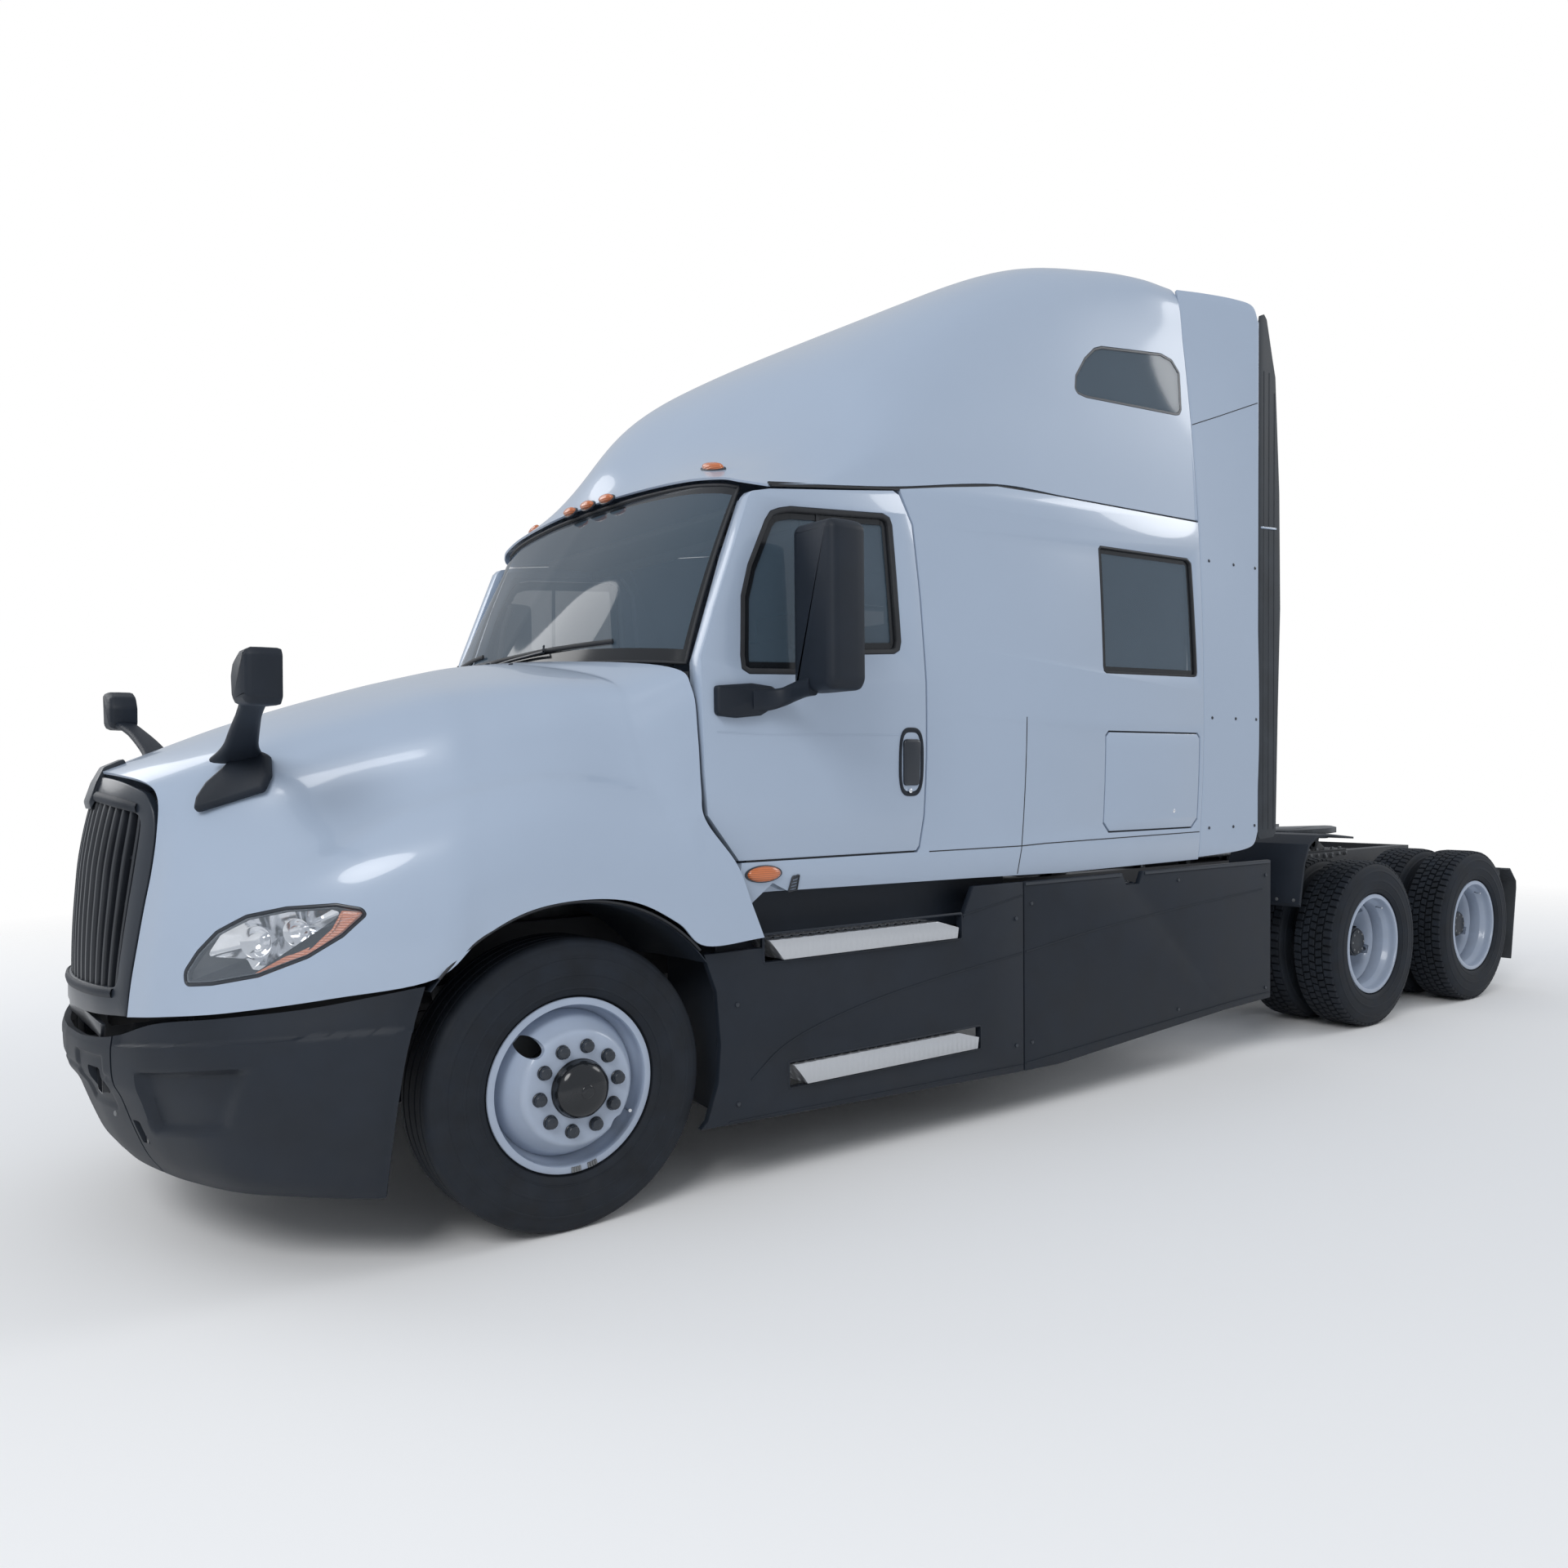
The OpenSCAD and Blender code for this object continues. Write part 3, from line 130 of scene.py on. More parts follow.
def surface(name, color, rough=0.5, metal=0.0, coat=0.0, coat_rough=0.06, vary=0.06, vary_scale=3.0,
            bump=0.0, bump_scale=300.0, rough_vary=0.08, spec=0.5, dirt=0.0, stretch=(1, 1, 1),
            dirt_top=1.3, dirt_color=(0.20, 0.18, 0.15)):
    """A painted, moulded or metal finish with colour drift, patchy roughness, grain and road dirt."""
    m, tree, bsdf = new_material(name)
    place = add(tree, "TexCoord").outputs["Object"]
    mapped = add(tree, "Mapping", [("Scale", stretch)], [("Vector", place)]).outputs["Vector"]
    broad = add(tree, "TexNoise", [("Scale", vary_scale), ("Detail", 6)], [("Vector", mapped)]).outputs["Fac"]
    out = two_tones(tree, broad, scaled(color, 1 - vary), scaled(color, 1 + vary), 0.3, 0.7)
    if dirt:
        sep = add(tree, "SeparateXYZ", links=[("Vector", place)])
        height = add(tree, "MapRange", [("From Min", 0.1), ("From Max", dirt_top), ("To Min", 1.0),
                                        ("To Max", 0.0)], [("Value", sep.outputs["Z"])])
        speck = add(tree, "TexNoise", [("Scale", 14.0), ("Detail", 10)], [("Vector", place)])
        low = add(tree, "Math", links=[(0, height.outputs["Result"]), (1, speck.outputs["Fac"])],
                  operation="MULTIPLY")
        share = add(tree, "Math", [(1, dirt)], [(0, low.outputs[0])], operation="MULTIPLY")
        mix = add(tree, "Mix", [("B", (*dirt_color, 1))], [("Factor", share.outputs[0]), ("A", out)],
                  data_type="RGBA")
        out = mix.outputs["Result"]
    tree.links.new(out, bsdf.inputs["Base Color"])
    gloss = add(tree, "MapRange", [("To Min", max(0.0, rough - rough_vary)),
                                   ("To Max", min(1.0, rough + rough_vary))], [("Value", broad)])
    tree.links.new(gloss.outputs["Result"], bsdf.inputs["Roughness"])
    set_values(bsdf, Metallic=metal, Coat_Weight=coat, Coat_Roughness=coat_rough, Specular_IOR_Level=spec)
    if bump:
        grain = add(tree, "TexNoise", [("Scale", bump_scale), ("Detail", 3)], [("Vector", mapped)])
        set_bump(tree, bsdf, grain.outputs["Fac"], bump, 0.002)
    m.diffuse_color = (*color[:3], 1)
    return m


def clear(name, color, rough=0.02, alpha=0.4, spec=0.5):
    """Glass or a clear lens: mostly see-through, with gloss on top."""
    m, tree, bsdf = new_material(name)
    place = add(tree, "TexCoord").outputs["Object"]
    noise = add(tree, "TexNoise", [("Scale", 2.0)], [("Vector", place)]).outputs["Fac"]
    tone = two_tones(tree, noise, scaled(color, 0.9), scaled(color, 1.1))
    tree.links.new(tone, bsdf.inputs["Base Color"])
    gloss = add(tree, "MapRange", [("To Min", rough), ("To Max", rough + 0.05)], [("Value", noise)])
    tree.links.new(gloss.outputs["Result"], bsdf.inputs["Roughness"])
    set_values(bsdf, Alpha=alpha, Specular_IOR_Level=spec)
    m.diffuse_color = (*color, alpha)
    return m


def ribbed(name, color, scale, rough=0.3, coat=0.0, strength=0.6, direction="X"):
    """A moulded lens with fine parallel ribs."""
    m, tree, bsdf = new_material(name)
    place = add(tree, "TexCoord").outputs["Object"]
    wave = add(tree, "TexWave", [("Scale", scale)], [("Vector", place)], bands_direction=direction)
    tone = two_tones(tree, wave.outputs["Fac"], scaled(color, 0.75), scaled(color, 1.1))
    tree.links.new(tone, bsdf.inputs["Base Color"])
    set_bump(tree, bsdf, wave.outputs["Fac"], strength, 0.003)
    set_values(bsdf, Roughness=rough, Metallic=0.0, Coat_Weight=coat, Alpha=1.0)
    m.diffuse_color = (*color, 1)
    return m


def tread_plate(name, color):
    """Bright plate pressed with slanted bars that alternate in direction."""
    m, tree, bsdf = new_material(name)
    place = add(tree, "TexCoord").outputs["Object"]
    waves = []
    for angle in (0.7, -0.7):
        mapping = add(tree, "Mapping", [("Rotation", (0, 0, angle))], [("Vector", place)])
        waves.append(add(tree, "TexWave", [("Scale", 9.0)], [("Vector", mapping.outputs["Vector"])]))
    top = add(tree, "Math", links=[(k, wave.outputs["Fac"]) for k, wave in enumerate(waves)],
              operation="MULTIPLY").outputs[0]
    tree.links.new(two_tones(tree, top, scaled(color, 0.8), color, 0.35, 0.6), bsdf.inputs["Base Color"])
    set_bump(tree, bsdf, top, 0.7, 0.004)
    set_values(bsdf, Metallic=0.9, Roughness=0.36)
    m.diffuse_color = (*color, 1)
    return m


# painted shade: the white paint gets a darker blue-grey base colour that carries the blue shade the truck
# stands in
WHITE = surface("white_paint", (0.38, 0.46, 0.58), rough=0.30, coat=0.6, vary=0.012, vary_scale=1.5,
                bump=0.012, bump_scale=60, dirt=0.16, rough_vary=0.04)
PLASTIC = surface("black_plastic", (0.009, 0.014, 0.023), rough=0.52, vary=0.18, vary_scale=5, bump=0.25,
                  bump_scale=900, dirt=0.03, spec=0.35)
SATIN = surface("satin_plastic", (0.020, 0.026, 0.036), rough=0.36, vary=0.12, vary_scale=6, bump=0.08,
                bump_scale=700, coat=0.15)
CHASSIS = surface("chassis_black", (0.017, 0.020, 0.026), rough=0.5, vary=0.25, vary_scale=8, bump=0.1,
                  bump_scale=120, dirt=0.30)
STEEL = surface("steel_grey", (0.20, 0.21, 0.22), rough=0.5, metal=0.6, vary=0.2, vary_scale=9, bump=0.15,
                bump_scale=160, dirt=0.3)
ALLOY = surface("alloy", (0.78, 0.79, 0.80), rough=0.33, metal=1.0, vary=0.08, vary_scale=12, bump=0.06,
                bump_scale=500, stretch=(1, 0.08, 1))
TREAD = tread_plate("tread_alloy", (0.74, 0.76, 0.79))
CHROME = surface("chrome", (0.86, 0.87, 0.89), rough=0.12, metal=1.0, vary=0.04, vary_scale=20, bump=0.03,
                 bump_scale=90, rough_vary=0.05)
RUBBER = surface("tyre_rubber", (0.009, 0.013, 0.020), rough=0.70, vary=0.3, vary_scale=10, bump=0.2,
                 bump_scale=350, dirt=0.05, rough_vary=0.1, spec=0.3)
SEAL = surface("seal_rubber", (0.018, 0.020, 0.024), rough=0.6, vary=0.2, vary_scale=20, bump=0.15,
               bump_scale=800)
FLAP = surface("flap_rubber", (0.030, 0.036, 0.044), rough=0.7, vary=0.25, vary_scale=6, bump=0.2,
               bump_scale=500, dirt=0.12)
GREASE = surface("cast_steel", (0.055, 0.060, 0.068), rough=0.4, metal=0.7, vary=0.4, vary_scale=7, bump=0.3,
                 bump_scale=60)
INTERIOR = surface("interior_grey", (0.13, 0.135, 0.145), rough=0.65, vary=0.1, vary_scale=6, bump=0.3,
                   bump_scale=700)
FABRIC = surface("seat_fabric", (0.07, 0.075, 0.085), rough=0.9, vary=0.25, vary_scale=40, bump=0.6,
                 bump_scale=1200)
LINEN = surface("mattress_fabric", (0.30, 0.31, 0.33), rough=0.9, vary=0.12, vary_scale=25, bump=0.6,
                bump_scale=900)
# painted shade: the white wheel paint gets the same darker blue-grey as the body, carrying the blue shade
WHEEL = surface("wheel_paint", (0.38, 0.45, 0.57), rough=0.34, coat=0.4, vary=0.03, vary_scale=6, bump=0.03,
                bump_scale=90, dirt=0.28, rough_vary=0.05)
GRILLE = surface("grille_black", (0.018, 0.021, 0.027), rough=0.34, coat=0.2, vary=0.15, vary_scale=7,
                 bump=0.03, bump_scale=200)
FRIT = surface("screen_border", (0.012, 0.014, 0.017), rough=0.14, vary=0.1, vary_scale=9, rough_vary=0.03,
               bump=0.01, bump_scale=200)
AMBER = ribbed("amber_lens", (0.62, 0.17, 0.05), 40, rough=0.18, coat=0.8, direction="Z", strength=0.4)
RED = ribbed("red_lens", (0.45, 0.02, 0.02), 40, rough=0.18, coat=0.8, direction="X", strength=0.4)
CLEARLAMP = ribbed("clear_lamp", (0.70, 0.72, 0.75), 60, rough=0.2, coat=0.8, direction="X", strength=0.4)
GLASS = clear("cab_glass", (0.085, 0.125, 0.165), alpha=0.62, spec=0.7)
LENS = clear("lamp_lens", (0.55, 0.62, 0.70), alpha=0.18, spec=0.6)

SLOT_MATERIAL = {
    "white_paint": WHITE, "black_plastic": PLASTIC, "chassis_black": CHASSIS, "steel_grey": STEEL,
    "tread_alloy": TREAD, "tank_alloy": ALLOY, "cast_steel": GREASE, "wheel_paint": WHEEL,
    "tyre_rubber": RUBBER, "flap_rubber": FLAP, "cab_glass": GLASS, "lamp_lens": LENS,
    "interior_grey": INTERIOR, "seat_fabric": FABRIC, "grille_black": GRILLE,
}
MATERIAL_SLOT = {m.name: s for s, m in SLOT_MATERIAL.items()}
MATERIAL_SLOT.update({"satin_plastic": "black_plastic", "chrome": "tank_alloy", "seal_rubber": "flap_rubber",
                      "mattress_fabric": "seat_fabric", "screen_border": "black_plastic",
                      "amber_lens": "lamp_lens", "red_lens": "lamp_lens", "clear_lamp": "lamp_lens",
                      "tread_alloy": "tread_alloy", "alloy": "tank_alloy"})
NODE_SLOT = {s["node"]: s["material_slot"] for s in frame["record"]["subparts"]}
NODE_BODY = {n: b for b, ns in frame["record"]["behaviour"]["bodies"].items() for n in ns}
for node_name, obj in NODES.items():
    obj.data.materials.clear()
    obj.data.materials.append(SLOT_MATERIAL[NODE_SLOT[node_name]])

# ---- mesh helpers: shapes are in millimetres about the front axle, and turn into metres in place ----


def world(p):
    return (p[0] * 0.001, p[1] * 0.001 - MID_Y, p[2] * 0.001)


def joined(*parts):
    verts, faces = [], []
    for v, f in parts:
        o = len(verts)
        verts.extend(v)
        faces.extend([tuple(i + o for i in face) for face in f])
    return verts, faces


def mirrored(part):
    v, f = part
    return [(-p[0], p[1], p[2]) for p in v], [tuple(reversed(face)) for face in f]


def both(part):
    return joined(part, mirrored(part))


def moved(part, d):
    return [(p[0] + d[0], p[1] + d[1], p[2] + d[2]) for p in part[0]], part[1]


def turned(part, matrix, at=(0, 0, 0)):
    m = matrix.to_3x3()
    out = [m @ Vector(p) + Vector(at) for p in part[0]]
    return [tuple(p) for p in out], part[1]


def shade(bm, sharp):
    for f in bm.faces:
        f.smooth = True
    limit = math.radians(sharp)
    for e in bm.edges:
        if len(e.link_faces) == 2:
            e.smooth = e.calc_face_angle(0.0) < limit
        else:
            e.smooth = True


def piece(name, part, mat, body, bevel=0.0, sharp=38, seg=2, bevel_angle=28, closed=True, slot=None):
    """Makes one piece of the truck from verts and faces, rounds its edges and lets it ride on a body."""
    verts, faces = part
    me = bpy.data.meshes.new(name)
    me.from_pydata([world(p) for p in verts], [], faces)
    bm = bmesh.new()
    bm.from_mesh(me)
    bmesh.ops.remove_doubles(bm, verts=bm.verts, dist=2e-5)
    if closed:
        bmesh.ops.recalc_face_normals(bm, faces=bm.faces)
    if bevel:
        edges = [e for e in bm.edges if len(e.link_faces) == 2
                 and e.calc_face_angle(0.0) > math.radians(bevel_angle)]
        bmesh.ops.bevel(bm, geom=edges, offset=bevel * 0.001, segments=seg, profile=0.5, affect="EDGES",
                        clamp_overlap=True)
    shade(bm, sharp)
    bm.to_mesh(me)
    bm.free()
    me.materials.append(mat)
    o = bpy.data.objects.new(name, me)
    bpy.context.scene.collection.objects.link(o)
    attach(o, body)
    slot or MATERIAL_SLOT[mat.name]
    return o


def refined(node, bevel=4.0, mat=None, sharp=30, seg=2, flat=0.4, bevel_angle=28, name=None):
    """A finer copy of a CAD node, with welded corners, rounded edges and smooth shading, in its place."""
    src = NODES[node]
    me = src.data.copy()
    me.name = name or node + "_shape"
    bm = bmesh.new()
    bm.from_mesh(me)
    bmesh.ops.remove_doubles(bm, verts=bm.verts, dist=2e-5)
    if flat:
        bmesh.ops.dissolve_limit(bm, angle_limit=math.radians(flat), verts=bm.verts, edges=bm.edges)
    if bevel:
        edges = [e for e in bm.edges if len(e.link_faces) == 2
                 and e.calc_face_angle(0.0) > math.radians(bevel_angle)]
        bmesh.ops.bevel(bm, geom=edges, offset=bevel * 0.001, segments=seg, profile=0.5, affect="EDGES",
                        clamp_overlap=True)
    shade(bm, sharp)
    bm.to_mesh(me)
    bm.free()
    m = mat or SLOT_MATERIAL[NODE_SLOT[node]]
    me.materials.clear()
    me.materials.append(m)
    o = bpy.data.objects.new(me.name, me)
    bpy.context.scene.collection.objects.link(o)
    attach(o, NODE_BODY[node])
    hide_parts(node)
    return o


def bands(count, n):
    """Four-sided faces between count + 1 closed loops of n points each."""
    return [(k * n + i, k * n + (i + 1) % n, (k + 1) * n + (i + 1) % n, (k + 1) * n + i)
            for k in range(count) for i in range(n)]


def box(a, b):
    x0, y0, z0 = a
    x1, y1, z1 = b
    v = [(x0, y0, z0), (x1, y0, z0), (x1, y1, z0), (x0, y1, z0),
         (x0, y0, z1), (x1, y0, z1), (x1, y1, z1), (x0, y1, z1)]
    f = [(0, 3, 2, 1), (4, 5, 6, 7), (0, 1, 5, 4), (1, 2, 6, 5), (2, 3, 7, 6), (3, 0, 4, 7)]
    return v, f


def prism(pts, d0, d1, axis="x"):
    """An outline, drawn in the two other axes, pushed along one axis."""
    put = {"x": lambda p, d: (d, p[0], p[1]), "y": lambda p, d: (p[0], d, p[1]),
           "z": lambda p, d: (p[0], p[1], d)}[axis]
    n = len(pts)
    v = [put(p, d0) for p in pts] + [put(p, d1) for p in pts]
    f = [tuple(range(n - 1, -1, -1)), tuple(range(n, 2 * n))]
    f += [(i, (i + 1) % n, (i + 1) % n + n, i + n) for i in range(n)]
    return v, f


def lathe(profile, n=48, axis="x", at=(0, 0, 0), closed=False, phase=0.0):
    """A profile of (along the axis, radius), turned round an axis."""
    m = len(profile)
    v, f = [], []
    for k in range(n):
        a = 2 * math.pi * (k + phase) / n
        c, s = math.cos(a), math.sin(a)
        for (d, r) in profile:
            p = {"x": (d, r * c, r * s), "y": (r * s, d, r * c), "z": (r * c, r * s, d)}[axis]
            v.append((p[0] + at[0], p[1] + at[1], p[2] + at[2]))
    rows = m if closed else m - 1
    for k in range(n):
        k2 = (k + 1) % n
        for j in range(rows):
            j2 = (j + 1) % m
            f.append((k * m + j, k * m + j2, k2 * m + j2, k2 * m + j))
    return v, f


def tube(path, r, n=10, closed=False, squash_z=1.0):
    """A round tube along points, with its ends closed."""
    pts = [Vector(p) for p in path]
    m = len(pts)
    v, f = [], []
    up = Vector((0, 0, 1))
    last = None
    for i, p in enumerate(pts):
        a = pts[(i - 1) % m] if closed or i > 0 else p
        b = pts[(i + 1) % m] if closed or i < m - 1 else p
        t = (b - a).normalized()
        if last is None:
            side = t.cross(up)
            if side.length < 1e-3:
                side = t.cross(Vector((1, 0, 0)))
        else:
            side = last - t * last.dot(t)
        side.normalize()
        last = side
        top = side.cross(t)
        rr = r[i] if isinstance(r, (list, tuple)) else r
        for k in range(n):
            ang = 2 * math.pi * k / n
            q = p + side * (math.cos(ang) * rr) + top * (math.sin(ang) * rr * squash_z)
            v.append(tuple(q))
    for i in range(m if closed else m - 1):
        i2 = (i + 1) % m
        for k in range(n):
            k2 = (k + 1) % n
            f.append((i * n + k, i * n + k2, i2 * n + k2, i2 * n + k))
    if not closed:
        f.append(tuple(range(n - 1, -1, -1)))
        f.append(tuple((m - 1) * n + k for k in range(n)))
    return v, f


def cr(a, b, c, d, t):
    return 0.5 * (2 * b + (c - a) * t + (2 * a - 5 * b + 4 * c - d) * t * t
                  + (3 * b - a - 3 * c + d) * t ** 3)


def spline(p, s):
    """A curve through points, at s points along it."""
    n = len(p) - 1
    i = min(int(math.floor(s)), n - 1)
    t = s - i
    b, c = p[i], p[i + 1]
    a = p[i - 1] if i > 0 else 2 * b - c
    d = p[i + 2] if i + 2 <= n else 2 * c - b
    return cr(a, b, c, d, t)


def fine(grid, nu, nv):
    g = np.array(grid, float)
    cols = np.array([spline(g, a / nu) for a in range((len(g) - 1) * nu + 1)])
    rows = np.swapaxes(cols, 0, 1)
    out = np.array([spline(rows, b / nv) for b in range((len(rows) - 1) * nv + 1)])
    return np.swapaxes(out, 0, 1)


def across(grid):
    """Adds the mirror half to each column, whose last point lies on the centre line."""
    g = np.array(grid, float)
    m = g[:, -2::-1].copy()
    m[:, :, 0] *= -1
    return np.concatenate([g, m], 1)


def normals(g):
    du = np.gradient(g, axis=0)
    dv = np.gradient(g, axis=1)
    n = np.cross(du, dv)
    return n / np.maximum(np.linalg.norm(n, axis=2, keepdims=True), 1e-9)


def shell(g, t):
    """A closed sheet of even thickness on the inner side of a grid."""
    h = g - t * normals(g)
    ni, nj = g.shape[:2]
    v = [tuple(p) for p in g.reshape(-1, 3)] + [tuple(p) for p in h.reshape(-1, 3)]
    o = ni * nj
    f = []
    for i in range(ni - 1):
        for j in range(nj - 1):
            a, b, c, d = i * nj + j, i * nj + j + 1, (i + 1) * nj + j + 1, (i + 1) * nj + j
            f.append((a, b, c, d))
            f.append((a + o, d + o, c + o, b + o))
    for i in range(ni - 1):
        a, b = i * nj, (i + 1) * nj
        f.append((a, b, b + o, a + o))
        a, b = i * nj + nj - 1, (i + 1) * nj + nj - 1
        f.append((b, a, a + o, b + o))
    for j in range(nj - 1):
        a, b = j, j + 1
        f.append((b, a, a + o, b + o))
        a, b = (ni - 1) * nj + j, (ni - 1) * nj + j + 1
        f.append((a, b, b + o, a + o))
    return v, f


def patch(g):
    """An open sheet from a grid."""
    ni, nj = g.shape[:2]
    v = [tuple(p) for p in g.reshape(-1, 3)]
    f = [(i * nj + j, i * nj + j + 1, (i + 1) * nj + j + 1, (i + 1) * nj + j)
         for i in range(ni - 1) for j in range(nj - 1)]
    return v, f


def rounded(pts, r, n=5):
    """The outline with its corners rounded to radius r, or less where a side is short."""
    out = []
    m = len(pts)
    for i in range(m):
        a, b, c = (Vector(pts[(i - 1) % m][:2]), Vector(pts[i][:2]), Vector(pts[(i + 1) % m][:2]))
        ri = pts[i][2] if len(pts[i]) > 2 else r
        la, lc = (a - b).length, (c - b).length
        u, w = (a - b) / la, (c - b) / lc
        ang = math.acos(max(-1, min(1, u.dot(w))))
        d = min(ri / math.tan(ang / 2) if ang < 3.1 else 0, 0.45 * la, 0.45 * lc)
        if d < 0.5:
            out.append(tuple(b))
            continue
        p, q = b + u * d, b + w * d
        for k in range(n + 1):
            t = k / n
            out.append(tuple(p * (1 - t) ** 2 + b * 2 * t * (1 - t) + q * t * t))
    return out


def dense(pts, step):
    """The closed outline with points no further apart than step."""
    out = []
    m = len(pts)
    for i in range(m):
        a, b = Vector(pts[i]), Vector(pts[(i + 1) % m])
        k = max(1, int((b - a).length / step + 0.999))
        out += [tuple(a.lerp(b, t / k)) for t in range(k)]
    return out


def inset(pts, d):
    """The closed outline moved inwards by d."""
    m = len(pts)
    area = sum(pts[i][0] * pts[(i + 1) % m][1] - pts[(i + 1) % m][0] * pts[i][1] for i in range(m))
    s = 1 if area > 0 else -1
    out = []
    for i in range(m):
        a, b, c = Vector(pts[(i - 1) % m]), Vector(pts[i]), Vector(pts[(i + 1) % m])
        n1 = Vector((-(b - a).y, (b - a).x)).normalized() * s
        n2 = Vector((-(c - b).y, (c - b).x)).normalized() * s
        n = n1 + n2
        n = n / max(0.35, n.length_squared / 2) if n.length > 1e-6 else n1
        out.append((b.x + n.x * d, b.y + n.y * d))
    return out


def ring(pts, stations, place, closed=False):
    """Strips that follow an outline: stations are (inset, depth), and place puts (a, b, depth) in space."""
    loops = [[place(p[0], p[1], d) for p in inset(pts, i)] for i, d in stations]
    n = len(pts)
    v = [p for loop in loops for p in loop]
    f = []
    m = len(loops)
    for k in range(m if closed else m - 1):
        k2 = (k + 1) % m
        for i in range(n):
            j = (i + 1) % n
            f.append((k * n + i, k * n + j, k2 * n + j, k2 * n + i))
    return v, f


def capped(pts, stations, place):
    """A ring whose first and last loops are closed by flat faces."""
    v, f = ring(pts, stations, place)
    n = len(pts)
    f.append(tuple(range(n - 1, -1, -1)))
    f.append(tuple((len(stations) - 1) * n + i for i in range(n)))
    return v, f


HALF_W = 1190.0


def domed(rows, place, n=36):
    """Loops closed by a flat top: rows are (height, share of full size), and place puts (cos, sin) there."""
    v = [place(math.cos(2 * math.pi * k / n), math.sin(2 * math.pi * k / n), h, q)
         for h, q in rows for k in range(n)]
    return v, bands(len(rows) - 1, n) + [tuple((len(rows) - 1) * n + k for k in range(n))]


def skin_x(z):
    if z > 1800:
        return HALF_W - 0.034e-3 * (z - 1800) ** 2
    return HALF_W - 0.07e-3 * (1800 - z) ** 2


def on_side(y, z, d):
    return (skin_x(z) - d, y, z)


def strip(path, width, place, proud=1.5, deep=3.0):
    """A thin flat band along an open path on a surface, standing a little proud."""
    v, f = [], []
    n = len(path)
    for i, p in enumerate(path):
        a = Vector(path[max(0, i - 1)][:2])
        b = Vector(path[min(n - 1, i + 1)][:2])
        t = (b - a).normalized()
        s = Vector((-t.y, t.x)) * (width / 2)
        for (w, d) in ((-1, deep), (-1, -proud), (1, -proud), (1, deep)):
            v.append(place(p[0] + s.x * w, p[1] + s.y * w, d))
    for i in range(n - 1):
        for k in range(4):
            k2 = (k + 1) % 4
            f.append((i * 4 + k, i * 4 + k2, i * 4 + 4 + k2, i * 4 + 4 + k))
    f.append((0, 1, 2, 3))
    f.append(tuple((n - 1) * 4 + k for k in (3, 2, 1, 0)))
    return v, f


def polyline(pts, step):
    out = []
    for a, b in zip(pts[:-1], pts[1:]):
        a, b = Vector(a), Vector(b)
        k = max(1, int((b - a).length / step + 0.999))
        out += [tuple(a.lerp(b, t / k)) for t in range(k)]
    return out + [tuple(pts[-1])]


def cut(obj, cutter_parts):
    """Cuts shapes out of a closed piece."""
    me = bpy.data.meshes.new("cutter")
    v, f = joined(*cutter_parts)
    me.from_pydata([world(p) for p in v], [], f)
    bm = bmesh.new()
    bm.from_mesh(me)
    bmesh.ops.recalc_face_normals(bm, faces=bm.faces)
    bm.to_mesh(me)
    bm.free()
    c = bpy.data.objects.new("cutter", me)
    bpy.context.scene.collection.objects.link(c)
    mod = obj.modifiers.new("cut", "BOOLEAN")
    mod.operation = "DIFFERENCE"
    mod.solver = "EXACT"
    mod.object = c
    bpy.context.view_layer.update()
    dg = bpy.context.evaluated_depsgraph_get()
    new = bpy.data.meshes.new_from_object(obj.evaluated_get(dg))
    obj.modifiers.clear()
    old = obj.data
    new.name = old.name
    obj.data = new
    bpy.data.objects.remove(c)
    bm = bmesh.new()
    bm.from_mesh(obj.data)
    shade(bm, 38)
    bm.to_mesh(obj.data)
    bm.free()
    return obj


def disc(at, axis, r, h, n=16, dome=0.3):
    """A low round head, such as a bolt, rivet or lamp, that stands h out from at along axis."""
    z = Vector(axis).normalized()
    q = Vector((0, 0, 1)).rotation_difference(z)
    prof = [(0, 0.001), (0, r), (h * (1 - dome), r), (h * (1 - dome * 0.3), r * 0.86), (h, r * 0.55),
            (h, 0.001)]
    v, f = lathe([(d, rr) for d, rr in prof], n=n, axis="z")
    return turned((v, f), q.to_matrix(), at)


def hexbolt(at, axis, r, h, n=6):
    z = Vector(axis).normalized()
    q = Vector((0, 0, 1)).rotation_difference(z)
    v, f = lathe([(0, 0.01), (0, r * 1.25), (h * 0.2, r * 1.25), (h * 0.2, r), (h * 0.9, r), (h, r * 0.85),
                  (h, 0.01)], n=n, axis="z")
    return turned((v, f), q.to_matrix(), at)

# ---- control points of the curved panels and outlines, as in the CAD ----

CAB_REAR = 3499.0

def sx(z, d):
    return skin_x(z) - d

